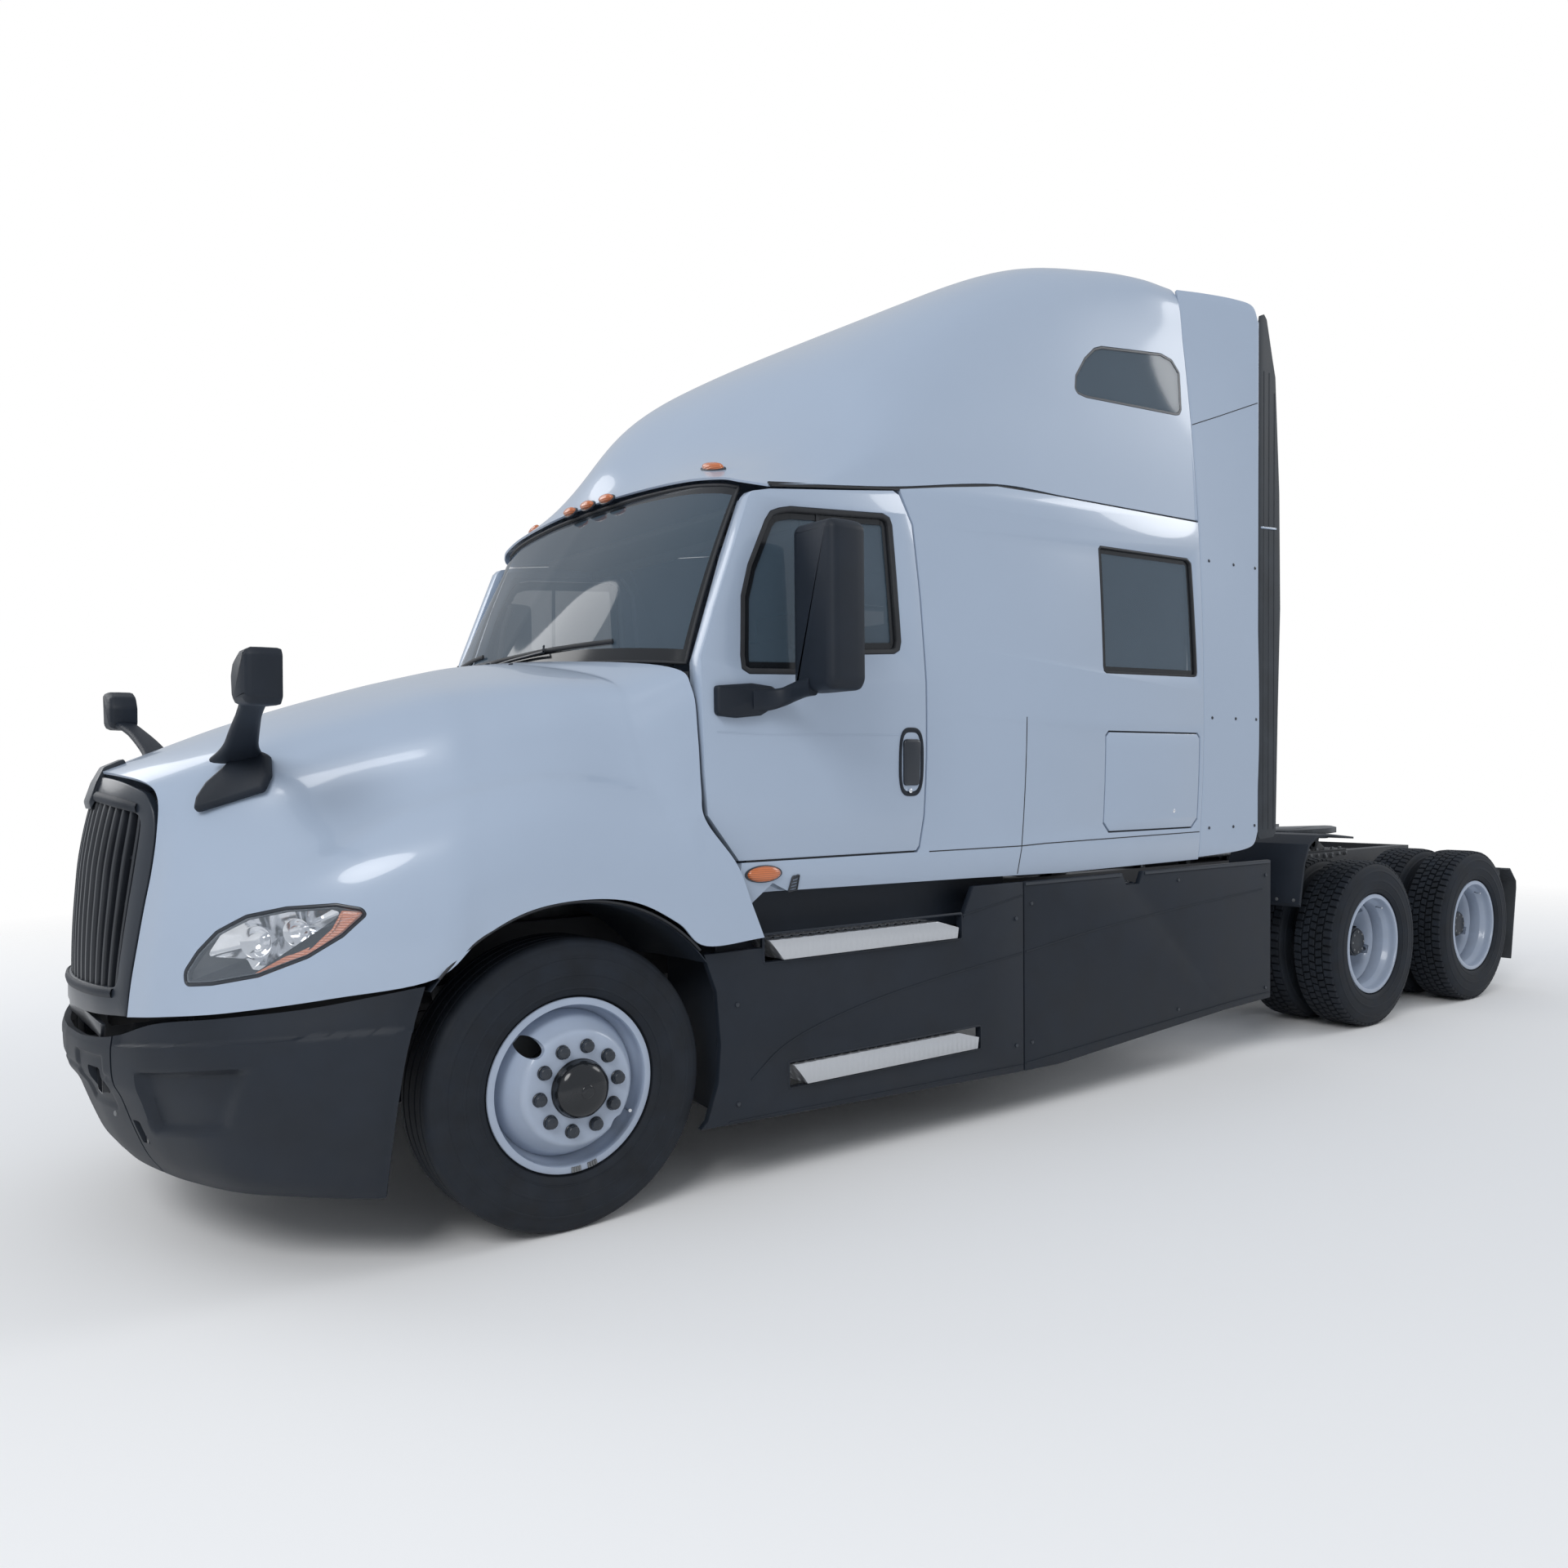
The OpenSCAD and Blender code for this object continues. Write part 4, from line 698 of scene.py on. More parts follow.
HOOD_HALF = [
    [[478, -1196, 797], [478, -1183, 900], [478, -1162, 1020], [478, -1140, 1140],
     [478, -1116, 1260], [476, -1099, 1380], [462, -1092, 1490], [385, -1112, 1540],
     [190, -1160, 1568], [0, -1184, 1578]],
    [[650, -1135, 814], [654, -1124, 920], [650, -1108, 1040], [636, -1090, 1150],
     [614, -1066, 1260], [590, -1036, 1380], [555, -1006, 1490], [468, -1000, 1580],
     [240, -1010, 1634], [0, -1015, 1648]],
    [[857, -990, 837], [868, -985, 945], [868, -972, 1065], [845, -950, 1190],
     [788, -915, 1310], [728, -870, 1440], [668, -830, 1570], [560, -800, 1672],
     [290, -780, 1732], [0, -770, 1748]],
    [[1060, -745, 878], [1080, -738, 990], [1085, -722, 1120], [1058, -700, 1260],
     [970, -665, 1390], [868, -620, 1530], [785, -585, 1660], [660, -560, 1752],
     [340, -540, 1815], [0, -530, 1832]],
    [[1193, -478, 924], [1203, -470, 1050], [1198, -455, 1190], [1165, -435, 1330],
     [1088, -400, 1455], [988, -370, 1590], [890, -345, 1730], [740, -325, 1830],
     [385, -305, 1888], [0, -300, 1905]],
    [[1206, -329, 1042], [1212, -323, 1146], [1208, -311, 1256], [1177, -295, 1378],
     [1108, -265, 1492], [1019, -242, 1614], [928, -220, 1752], [780, -203, 1853],
     [406, -194, 1915], [0, -205, 1932]],
    [[1209, -162, 1116], [1212, -156, 1206], [1205, -145, 1310], [1180, -133, 1420],
     [1120, -112, 1528], [1046, -95, 1638], [968, -78, 1773], [825, -65, 1875],
     [428, -73, 1941], [0, -104, 1959]],
    [[1210, 40, 1136], [1210, 40, 1220], [1203, 38, 1325], [1182, 38, 1436],
     [1132, 42, 1542], [1072, 46, 1648], [1008, 56, 1785], [870, 62, 1890],
     [450, 30, 1962], [0, -20, 1980]],
    [[1212, 220, 1110], [1212, 214, 1196], [1206, 209, 1298], [1188, 201, 1402],
     [1149, 187, 1509], [1101, 173, 1627], [1043, 167, 1775], [919, 167, 1892],
     [469, 97, 1972], [0, 36, 1991]],
    [[1212, 380, 1026], [1212, 370, 1126], [1208, 352, 1242], [1194, 328, 1352],
     [1162, 294, 1466], [1124, 262, 1600], [1072, 244, 1762], [960, 236, 1890],
     [485, 132, 1975], [0, 64, 1994]],
    [[1213, 490, 936], [1213, 476, 1062], [1209, 452, 1202], [1198, 415, 1320],
     [1172, 370, 1440], [1140, 330, 1590], [1096, 305, 1760], [988, 290, 1892],
     [500, 165, 1977], [0, 90, 1998]],
    [[1213, 742, 944], [1213, 690, 1070], [1209, 628, 1222], [1200, 504, 1388],
     [1188, 494, 1500], [1178, 488, 1690], [1150, 482, 1860], [1052, 448, 1944],
     [600, 276, 1988], [0, 168, 2008]]]
BUMPER_HALF = [
    [[0, -1150, 268], [0, -1198, 340], [0, -1234, 430], [0, -1268, 530], [0, -1300, 590],
     [0, -1306, 680], [0, -1298, 712]],
    [[230, -1134, 268], [230, -1182, 340], [230, -1218, 430], [230, -1252, 530],
     [230, -1282, 590], [230, -1288, 680], [230, -1281, 714]],
    [[430, -1096, 267], [430, -1142, 338], [430, -1178, 430], [430, -1210, 530],
     [430, -1234, 590], [430, -1238, 680], [430, -1232, 734]],
    [[600, -1046, 265], [610, -1090, 334], [618, -1124, 430], [622, -1150, 530],
     [624, -1166, 600], [624, -1166, 700], [620, -1150, 790]],
    [[806, -952, 262], [824, -992, 328], [834, -1020, 430], [838, -1034, 530],
     [840, -1038, 620], [840, -1032, 730], [836, -1008, 820]],
    [[972, -800, 256], [996, -828, 322], [1012, -844, 430], [1020, -852, 540],
     [1024, -852, 640], [1026, -840, 750], [1022, -808, 850]],
    [[1096, -664, 252], [1118, -672, 320], [1134, -672, 440], [1144, -662, 570],
     [1148, -648, 680], [1150, -630, 790], [1150, -604, 888]],
    [[1124, -620, 252], [1146, -618, 320], [1162, -606, 440], [1172, -590, 560],
     [1180, -568, 690], [1184, -540, 800], [1186, -508, 902]]]
ROOF_HALF = [
    [[sx(2640, 6), 816, 2637], [1125, 775, 2646], [1070, 745, 2660], [980, 722, 2682],
     [750, 698, 2708], [400, 680, 2724], [0, 672, 2730]],
    [[sx(2660, 2), 1000, 2664], [1128, 1040, 2700], [1050, 1035, 2760], [930, 1003, 2820],
     [700, 935, 2880], [360, 824, 2918], [0, 752, 2930]],
    [[sx(2690, 1), 1205, 2687], [1130, 1235, 2790], [1060, 1245, 2890], [950, 1230, 2985],
     [720, 1160, 3085], [370, 1032, 3150], [0, 968, 3174]],
    [[sx(2720, 1), 1475, 2722], [sx(2950, 6), 1500, 2930], [1075, 1500, 3120],
     [975, 1480, 3260], [770, 1430, 3352], [390, 1365, 3398], [0, 1334, 3412]],
    [[sx(2812, 1), 2035, 2812], [sx(3080, 3), 2000, 3080], [1078, 1975, 3410],
     [990, 1960, 3610], [780, 1950, 3702], [400, 1945, 3728], [0, 1940, 3734]],
    [[sx(2820, 1), 2500, 2820], [sx(3160, 1), 2500, 3160], [sx(3580, 4), 2490, 3580],
     [985, 2480, 3852], [800, 2470, 3952], [400, 2465, 3982], [0, 2460, 3988]],
    [[sx(2826, 1), 2960, 2826], [sx(3200, 1), 2955, 3200], [sx(3680, 2), 2950, 3680],
     [988, 2945, 3970], [800, 2940, 4064], [400, 2935, 4096], [0, 2935, 4100]],
    [[sx(2830, 1), 3260, 2830], [sx(3220, 1), 3258, 3220], [sx(3720, 1), 3256, 3720],
     [1008, 3254, 4010], [840, 3252, 4088], [400, 3250, 4108], [0, 3250, 4110]],
    [[sx(2834, 1), CAB_REAR, 2834], [sx(3240, 1), CAB_REAR, 3240],
     [sx(3740, 1), CAB_REAR, 3740], [1012, CAB_REAR, 4018], [850, CAB_REAR, 4088],
     [400, CAB_REAR, 4104], [0, CAB_REAR, 4106]]]
SCREEN_LOW = [[0, 240, 1992], [400, 262, 1987], [750, 340, 1978], [960, 440, 1968],
    [1060, 512, 1960]]
SCREEN_TOP = [[0, 692, 2706], [400, 699, 2701], [750, 716, 2684], [950, 738, 2660],
    [1042, 766, 2640]]
LAMP_OUTLINE = [
    [-268, 958], [-262, 916], [-164, 923], [-12, 950], [141, 1007], [243, 1069], [308, 1132],
    [295, 1152], [220, 1167], [69, 1158], [-58, 1133], [-155, 1084], [-220, 1022]]
GRILLE_FRONT = [
    [[464, -1200, 796], [464, -1187, 910], [464, -1166, 1030], [464, -1143, 1150],
     [463, -1119, 1270], [456, -1102, 1400], [420, -1106, 1500]],
    [[262, -1262, 788], [262, -1258, 910], [262, -1250, 1030], [262, -1238, 1150],
     [260, -1222, 1280], [255, -1192, 1430], [240, -1158, 1544]],
    [[0, -1284, 784], [0, -1283, 910], [0, -1278, 1030], [0, -1268, 1160],
     [0, -1252, 1300], [0, -1222, 1450], [0, -1188, 1562]]]
DOOR_WINDOW = [
    [858, 2553], [912, 2566], [1372, 2598], [1408, 2586], [1420, 2556], [1449, 2085],
    [1440, 2050], [1411, 2034], [1250, 2023], [1110, 1975], [1008, 1940], [922, 1929],
    [705, 1921], [672, 1938], [666, 1985], [674, 2207], [708, 2325], [792, 2500],
    [818, 2536]]
SLEEPER_WINDOW = [
    [2698, 2602], [2712, 2618], [3390, 2630], [3424, 2608], [3446, 2052],
    [3440, 2034], [3420, 2028], [2732, 2016], [2714, 2026], [2708, 2050]]
ROOF_WINDOW = [
    [2600, 3344], [2612, 3410], [2690, 3510], [2771, 3576],
    [2830, 3598], [3299, 3664], [3390, 3650], [3446, 3592],
    [3432, 3396], [3410, 3366], [3374, 3357], [2680, 3315],
    [2620, 3322]]

# ---- hood group ----


FENDER_LINE = [(-1021, 1075), (-917, 1194), (-791, 1301), (-686, 1381), (-577, 1447), (-458, 1495),
               (-331, 1527), (-202, 1556), (-70, 1576), (70, 1570), (210, 1550), (320, 1529), (419, 1493),
               (459, 1428), (489, 1346)]


def smooth(t, a, b):
    t = np.clip((t - a) / (b - a), 0, 1)
    return t * t * (3 - 2 * t)


def press_fender_line(g):
    """The hood's side lies a little deeper above the line where the fender swells out."""
    ly = np.array([p[0] for p in FENDER_LINE], float)
    lz = np.array([p[1] for p in FENDER_LINE], float)
    y, z = g[:, :, 1], g[:, :, 2]
    zz = np.interp(y, ly, lz)
    slope = np.interp(y, ly, np.gradient(lz, ly))
    s = (z - zz) / np.sqrt(1 + slope * slope)
    depth = 24 * smooth(s, -55, 15) * (1 - smooth(s, 25, 300))
    depth *= smooth(y, -1000, -640) * (1 - 0.8 * smooth(y, 180, 420)) * smooth(np.abs(g[:, :, 0]), 560, 760)
    return g - normals(g) * depth[:, :, None]


def build_hood():
    g = press_fender_line(fine(across(HOOD_HALF), 8, 8))
    hood = piece("hood_panel", shell(g, 9), WHITE, "hood_assembly", sharp=50)
    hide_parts("hood")
    return g, hood


HOOD_GRID, HOOD = build_hood()
HOOD_TREE = BVHTree.FromPolygons([tuple(p) for p in HOOD_GRID.reshape(-1, 3)],
                                 patch(HOOD_GRID)[1], all_triangles=False)
LAMP_OUT = Vector((0.741, -0.671, 0)).normalized()
LAMP_ALONG = Vector((0.671, 0.741, 0)).normalized()
LAMP_MID = Vector((930, -900, 0))
LAMP_CENTRE = (20.0, 1040.0)


def lamp_point(u, z, depth):
    """A point depth mm under the hood's surface, at u along the lamp and height z."""
    base = LAMP_MID + LAMP_ALONG * u + Vector((0, 0, z))
    hit = HOOD_TREE.ray_cast(base + LAMP_OUT * 500, -LAMP_OUT, 1500)[0]
    d = (hit - base).dot(LAMP_OUT) if hit is not None else 0.0
    return tuple(base + LAMP_OUT * (d - depth))


def lamp_flat(u, z, d):
    return tuple(LAMP_MID + LAMP_ALONG * u + LAMP_OUT * d + Vector((0, 0, z)))


LAMP_SHAPE = dense(rounded([tuple(p) for p in LAMP_OUTLINE], 40, 5), 14)


def fan(outline, centre, steps, place, depth):
    """A filled sheet from an outline to a centre point; depth is a function of the fraction left."""
    v, f = [], []
    n = len(outline)
    for k in range(steps):
        t = 1 - k / steps
        for (a, b) in outline:
            v.append(place(centre[0] + (a - centre[0]) * t, centre[1] + (b - centre[1]) * t, depth(t)))
    v.append(place(centre[0], centre[1], depth(0)))
    f += bands(steps - 1, n)
    last = (steps - 1) * n
    for i in range(n):
        f.append((last + i, last + (i + 1) % n, len(v) - 1))
    return v, f


def build_headlamps():
    cutter = prism(inset(LAMP_SHAPE, -3), -260, 260, "x")
    v = [lamp_flat(p[1], p[2], p[0]) for p in cutter[0]]
    cutter = (v, cutter[1])
    cut(HOOD, [cutter, mirrored(cutter)])
    rim = ring(LAMP_SHAPE, [(-2, 9), (-2, 1), (0, -0.5), (4, -0.5), (8, 3), (13, 12), (14, 30)], lamp_point)
    lamp_rims = piece("headlamp_rims", both(rim), SATIN, "hood_assembly", closed=False)
    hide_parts("headlamps")
    inner = inset(LAMP_SHAPE, 12)
    bowl = fan(inner, LAMP_CENTRE, 10, lamp_point, lambda t: 26 + 52 * (1 - t ** 2.2))
    piece("headlamp_housings", both(bowl), GRILLE, "hood_assembly", closed=False)
    reflector = dense(rounded([(-196, 1006, 12), (-150, 1072, 30), (-55, 1118, 40), (70, 1142, 40),
                               (200, 1148, 20), (224, 1140, 8), (186, 1080, 30), (128, 1030, 40),
                               (64, 994, 30), (-8, 966, 16), (-40, 968, 10), (-58, 1000, 12)], 20, 4), 12)
    dish = fan(reflector, (20, 1060), 9, lamp_point, lambda t: 20 + 46 * (1 - t ** 2))
    piece("headlamp_reflectors", both(dish), CHROME, "hood_assembly", closed=False)
    bowls = []
    for (u, z, r) in ((-30, 1052, 50), (96, 1082, 42)):
        c = Vector(lamp_point(u, z, 44))
        q = Vector((0, 0, 1)).rotation_difference(LAMP_OUT)
        prof = [(26, r), (24, r - 3), (6, r * 0.72), (-6, r * 0.42), (-9, 10), (8, 9), (12, 6), (12, 0.1)]
        bowls.append(turned(lathe(prof, 28, "z"), q.to_matrix(), c))
    piece("headlamp_bulb_bowls", both(joined(*bowls)), CHROME, "hood_assembly", closed=False)
    wedge = dense(rounded([(-48, 944, 8), (8, 946, 20), (80, 978, 40), (160, 1024, 60), (236, 1078, 40),
                           (286, 1128, 20), (292, 1140, 10), (232, 1146, 8), (204, 1092, 30), (146, 1036, 50),
                           (76, 990, 40), (-6, 958, 20)], 20, 4), 10)
    marker = ring(wedge, [(3, 34), (0, 22), (0, 12), (4, 8), (10, 7.5)], lamp_point)
    rim = [lamp_point(p[0], p[1], 7.5) for p in inset(wedge, 10)]
    fill = (rim, [tuple(range(len(rim)))])
    piece("headlamp_amber_markers", both(joined(marker, fill)), AMBER, "hood_assembly", closed=False)
    lens = ring(LAMP_SHAPE, [(11, 6), (9, 1.2), (14, 0.6)], lamp_point)
    glass = fan(inset(LAMP_SHAPE, 14), LAMP_CENTRE, 10, lamp_point, lambda t: 0.6)
    piece("headlamp_lenses", both(joined(lens, glass)), LENS, "hood_assembly", closed=False)


def grille_surface():
    """A function that gives a point of the grille front: across from -1 to 1, up from 0 to 1, and depth."""
    g = np.array(GRILLE_FRONT, float)
    full = np.concatenate([g, [[(-p[0], p[1], p[2]) for p in c] for c in g[-2::-1]]], 0)
    m = full.shape[1] - 1

    def at(s, v):
        col = spline(full, (1 - s) * 2)
        return spline(col, max(0.0, min(1.0, v)) * m)

    def point(s, v, depth):
        s = max(-1.0, min(1.0, s))
        p = at(s, v)
        e = 0.01
        du = at(min(1, s + e), v) - at(max(-1, s - e), v)
        dv = at(s, min(1, v + e)) - at(s, max(0, v - e))
        n = np.cross(du, dv)
        n /= np.linalg.norm(n)
        if n[1] > 0:
            n = -n
        return tuple(p - n * depth)

    return point


GP = grille_surface()


def build_grille():
    place = lambda a, b, d: GP(a / 464.0, b / 760.0, d)
    outer = dense(rounded([(-464, 0, 6), (464, 0, 6), (464, 700, 60), (430, 760, 60), (-430, 760, 60),
                           (-464, 700, 60)], 6, 6), 26)
    # the frame: outer edge, flat face, rounded inner edge and the wall down to the bars
    hole = dense(rounded([(-392, 96, 40), (392, 96, 40), (392, 664, 46), (-392, 664, 46)], 40, 6), 26)
    n = 96

    def loop(pts, d):
        total = [0.0]
        m = len(pts)
        for i in range(m):
            a, b = Vector(pts[i]), Vector(pts[(i + 1) % m])
            total.append(total[-1] + (b - a).length)
        out = []
        for k in range(n * 2):
            t = total[-1] * k / (n * 2)
            i = max(j for j in range(m) if total[j] <= t)
            a, b = Vector(pts[i]), Vector(pts[(i + 1) % m])
            out.append(a.lerp(b, (t - total[i]) / max(1e-6, total[i + 1] - total[i])))
        return out, d

    def radial(pts, k):
        """The point of a closed outline in direction k of n * 2 about its middle."""
        c = Vector((0, 380))
        ang = 2 * math.pi * k / (n * 2)
        d = Vector((math.cos(ang), math.sin(ang)))
        best = None
        m = len(pts)
        for i in range(m):
            a, b = Vector(pts[i]) - c, Vector(pts[(i + 1) % m]) - c
            den = d.x * (b.y - a.y) - d.y * (b.x - a.x)
            if abs(den) < 1e-9:
                continue
            t = (a.x * (b.y - a.y) - a.y * (b.x - a.x)) / den
            u = (a.x * d.y - a.y * d.x) / den
            if t > 0 and -1e-6 <= u <= 1 + 1e-6 and (best is None or t > best):
                best = t
        return c + d * best

    outer_r = [radial(outer, k) for k in range(n * 2)]
    hole_r = [radial(hole, k) for k in range(n * 2)]
    stations = [(0.0, 26), (0.0, 6), (0.02, 1.5), (0.06, 0), (0.5, 0), (0.90, 0), (0.96, 1.5), (1.0, 6),
                (1.0, 20), (1.03, 34)]
    v, f = [], []
    for t, d in stations:
        for a, b in zip(outer_r, hole_r):
            p = a.lerp(b, t)
            v.append(place(p.x, p.y, d))
    m = n * 2
    f += bands(len(stations) - 1, m)
    frame_piece = piece("grille_frame", (v, f), SATIN, "hood_assembly", closed=False, sharp=60)
    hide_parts("grille")
    # lighter lips along the top and bottom of the opening
    lips = []
    for (b0, b1) in ((60, 96), (664, 704)):
        mid = (b0 + b1) / 2
        rows = []
        for (b, d) in ((b0, 2), (b0 + 5, -5), (mid, -8), (b1 - 5, -5), (b1, 2)):
            rows.append([GP(a / 464.0, b / 760.0, d) for a in np.linspace(-372, 372, 40)])
        lips.append(patch(np.array(rows)))
    piece("grille_lips", joined(*lips), PLASTIC, "hood_assembly", closed=False, sharp=60)
    # vertical bars, each a rounded blade that follows the front
    bars = []
    count = 17
    for i in range(count):
        a = -372 + 744 * i / (count - 1)
        sec = [(-9, 40), (-9, 16), (-5, 10), (5, 10), (9, 16), (9, 40)]
        zs = np.linspace(84, 676, 22)
        vv, ff = [], []
        for b in zs:
            for (w, d) in sec:
                vv.append(place(a + w, b, d))
        q = len(sec)
        ff += bands(len(zs) - 1, q)
        ff.append(tuple(range(q)))
        ff.append(tuple((len(zs) - 1) * q + c for c in range(q)))
        bars.append((vv, ff))
    for b in (230, 380, 530):
        rows = [[place(a, b + w, d) for a in np.linspace(-386, 386, 30)]
                for w, d in ((-5, 40), (-5, 30), (5, 30), (5, 40))]
        bars.append(patch(np.array(rows)))
    piece("grille_bars", joined(*bars), GRILLE, "hood_assembly", closed=False, sharp=40)
    back = [[place(a, b, 60) for a in np.linspace(-400, 400, 16)] for b in np.linspace(80, 690, 12)]
    piece("grille_screen", patch(np.array(back)), CHASSIS, "hood_assembly", closed=False)
    # blank bridge over the top of the frame, up onto the hood
    v, f = prism([(-1222, 1452), (-1228, 1480), (-1206, 1545), (-1180, 1598), (-1120, 1626), (-1112, 1612),
                  (-1172, 1574), (-1192, 1520)], -62, 62, "x")
    v = [(p[0] * (1.0 if p[2] < 1560 else 0.72), p[1] + 0.0006 * p[0] ** 2,
          p[2] - 0.0012 * p[0] ** 2) for p in v]
    piece("grille_top_bridge", (v, f), SATIN, "hood_assembly", bevel=5, seg=3)


def build_hood_mirrors():
    c = Vector((623, -888, 1546))
    rot = Matrix.Rotation(math.radians(-44.9), 3, "Z") @ Matrix.Rotation(math.radians(59.3), 3, "Y")
    foot = [(131, -102, 20), (78, -109, 30), (23, -93, 40), (-34, -52, 40), (-75, -26, 40), (-93, 63, 30),
            (-78, 93, 20), (-4, 117, 30), (52, 109, 16)]
    out = rounded(foot, 30, 4)
    stations = [(2, 9), (0, 12), (1, 24), (6, 31), (14, 34.4)]
    base = turned(capped(out, stations, lambda a, b, d: (a, b, d)), rot, c)
    # arm: wide at the foot, narrow under the head
    a, b = Vector((596, -884, 1612)), Vector((1084, -944, 1788))
    vv, ff = [], []
    steps = 18
    for k in range(steps + 1):
        t = k / steps
        m = a.lerp(b, t) + Vector((0, 0, 18 * math.sin(math.pi * t)))
        w = Vector((20, 52, 0)).lerp(Vector((13, 34, 0)), min(1, t * 1.6))
        w = w * (1 + 0.5 * max(0, 1 - t * 4) ** 2) * (1 + 0.25 * max(0, t * 5 - 4) ** 2)
        th = Vector((-6, 3, 14))
        for q in range(16):
            ang = 2 * math.pi * q / 16
            cx, sx_ = math.cos(ang), math.sin(ang)
            cx = math.copysign(abs(cx) ** 0.6, cx)
            sx_ = math.copysign(abs(sx_) ** 0.6, sx_)
            vv.append(tuple(m + w * cx + th * sx_))
    ff += bands(steps, 16)
    ff.append(tuple(range(15, -1, -1)))
    ff.append(tuple(steps * 16 + q for q in range(16)))
    # head: rounded shell with the glass on its rear face
    head = rounded([(-84, -58, 26), (-58, -82, 20), (62, -84, 26), (88, -62, 16), (94, 60, 18), (80, 80, 16),
                    (10, 78, 60), (-60, 54, 50), (-90, 10, 40)], 30, 6)
    hc = Vector((1110, -948, 1843))
    prof = [(20, -50), (8, -44), (1, -30), (0, 0), (0, 40), (3, 50), (9, 51.5), (12, 46)]
    shell_of_head = capped(head, prof, lambda a, b, d: (hc.x + a, hc.y + d, hc.z + b))
    body = piece("hood_mirror_bodies", both(joined(base, (vv, ff), shell_of_head)), PLASTIC, "hood_assembly",
                 sharp=50)
    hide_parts("hood_mirrors")
    ins = inset(head, 13)
    pane = ([(hc.x + p[0], hc.y + 47 + 0.0006 * (p[0] ** 2 + p[1] ** 2), hc.z + p[1]) for p in ins],
            [tuple(range(len(ins)))])
    piece("hood_mirror_glasses", both(pane), CHROME, "hood_assembly", closed=False)


def build_arch_liners():
    """Black splash liners inside the front wheel arches."""
    angles = [math.radians(a) for a in np.linspace(38, 143, 36)]
    rows = []
    for x, r in ((690, 612), (780, 618), (900, 622), (1040, 624), (1150, 624), (1196, 628)):
        rows.append([(x, -r * math.cos(t) - 2, 500 + r * math.sin(t)) for t in angles])
    g = np.array(rows)
    v, f = shell(g, 4)
    piece("arch_liners", both((v, f)), PLASTIC, "hood_assembly", sharp=50)
    lip = tube([(1203, -632 * math.cos(t) - 1, 500 + 632 * math.sin(t)) for t in
                [math.radians(a) for a in np.linspace(42, 138, 40)]], 5, 8)
    piece("arch_edges", both(lip), SEAL, "hood_assembly", sharp=60)


def build_hood_trim():
    jets = []
    for x in (200, 420):
        hit = HOOD_TREE.ray_cast(Vector((x, 120, 2500)), Vector((0, 0, -1)))[0]
        if hit is not None:
            jets.append(disc(tuple(hit - Vector((0, 0, 2))), (0, -0.2, 1), 9, 7, 14))
    piece("hood_washer_jets", both(joined(*jets)), SATIN, "hood_assembly")


# ---- bumper ----


def bumper_shape(g):
    """Presses the corner recess, the step under the top lip and the lower lip into the bumper's surface."""
    n = normals(g)
    out = g.copy()

    def ramp(t, a, b):
        t = np.clip((t - a) / (b - a), 0, 1)
        return t * t * (3 - 2 * t)

    x, z = np.abs(g[:, :, 0]), g[:, :, 2]
    top = 640 + (x - 600) * 0.10
    low = 430 + (x - 600) * 0.12
    recess = ramp(x, 560, 585) * (1 - ramp(x + (z - 540) * -0.35, 850, 905)) * ramp(z, low, low + 34) * (
        1 - ramp(z, top - 16, top + 2))
    line = 706 + np.maximum(0, x - 430) * 0.095
    step = ramp(z, line - 5, line + 5) * ramp(x, 436, 470)
    panel = ramp(x, 146, 160) * (1 - ramp(x, 362, 376)) * ramp(z, 484, 496) * (1 - ramp(z, 656, 668))
    crease = np.exp(-((z - (598 - (x - 200) * 0.01)) / 9.0) ** 2) * (1 - ramp(x, 380, 424))
    depth = 26 * recess + 9 * step + 9 * panel + 7 * crease * (1 - panel)
    return out - n * depth[:, :, None]


BUMPER_FRONT = -1305.6  # just inside the CAD box


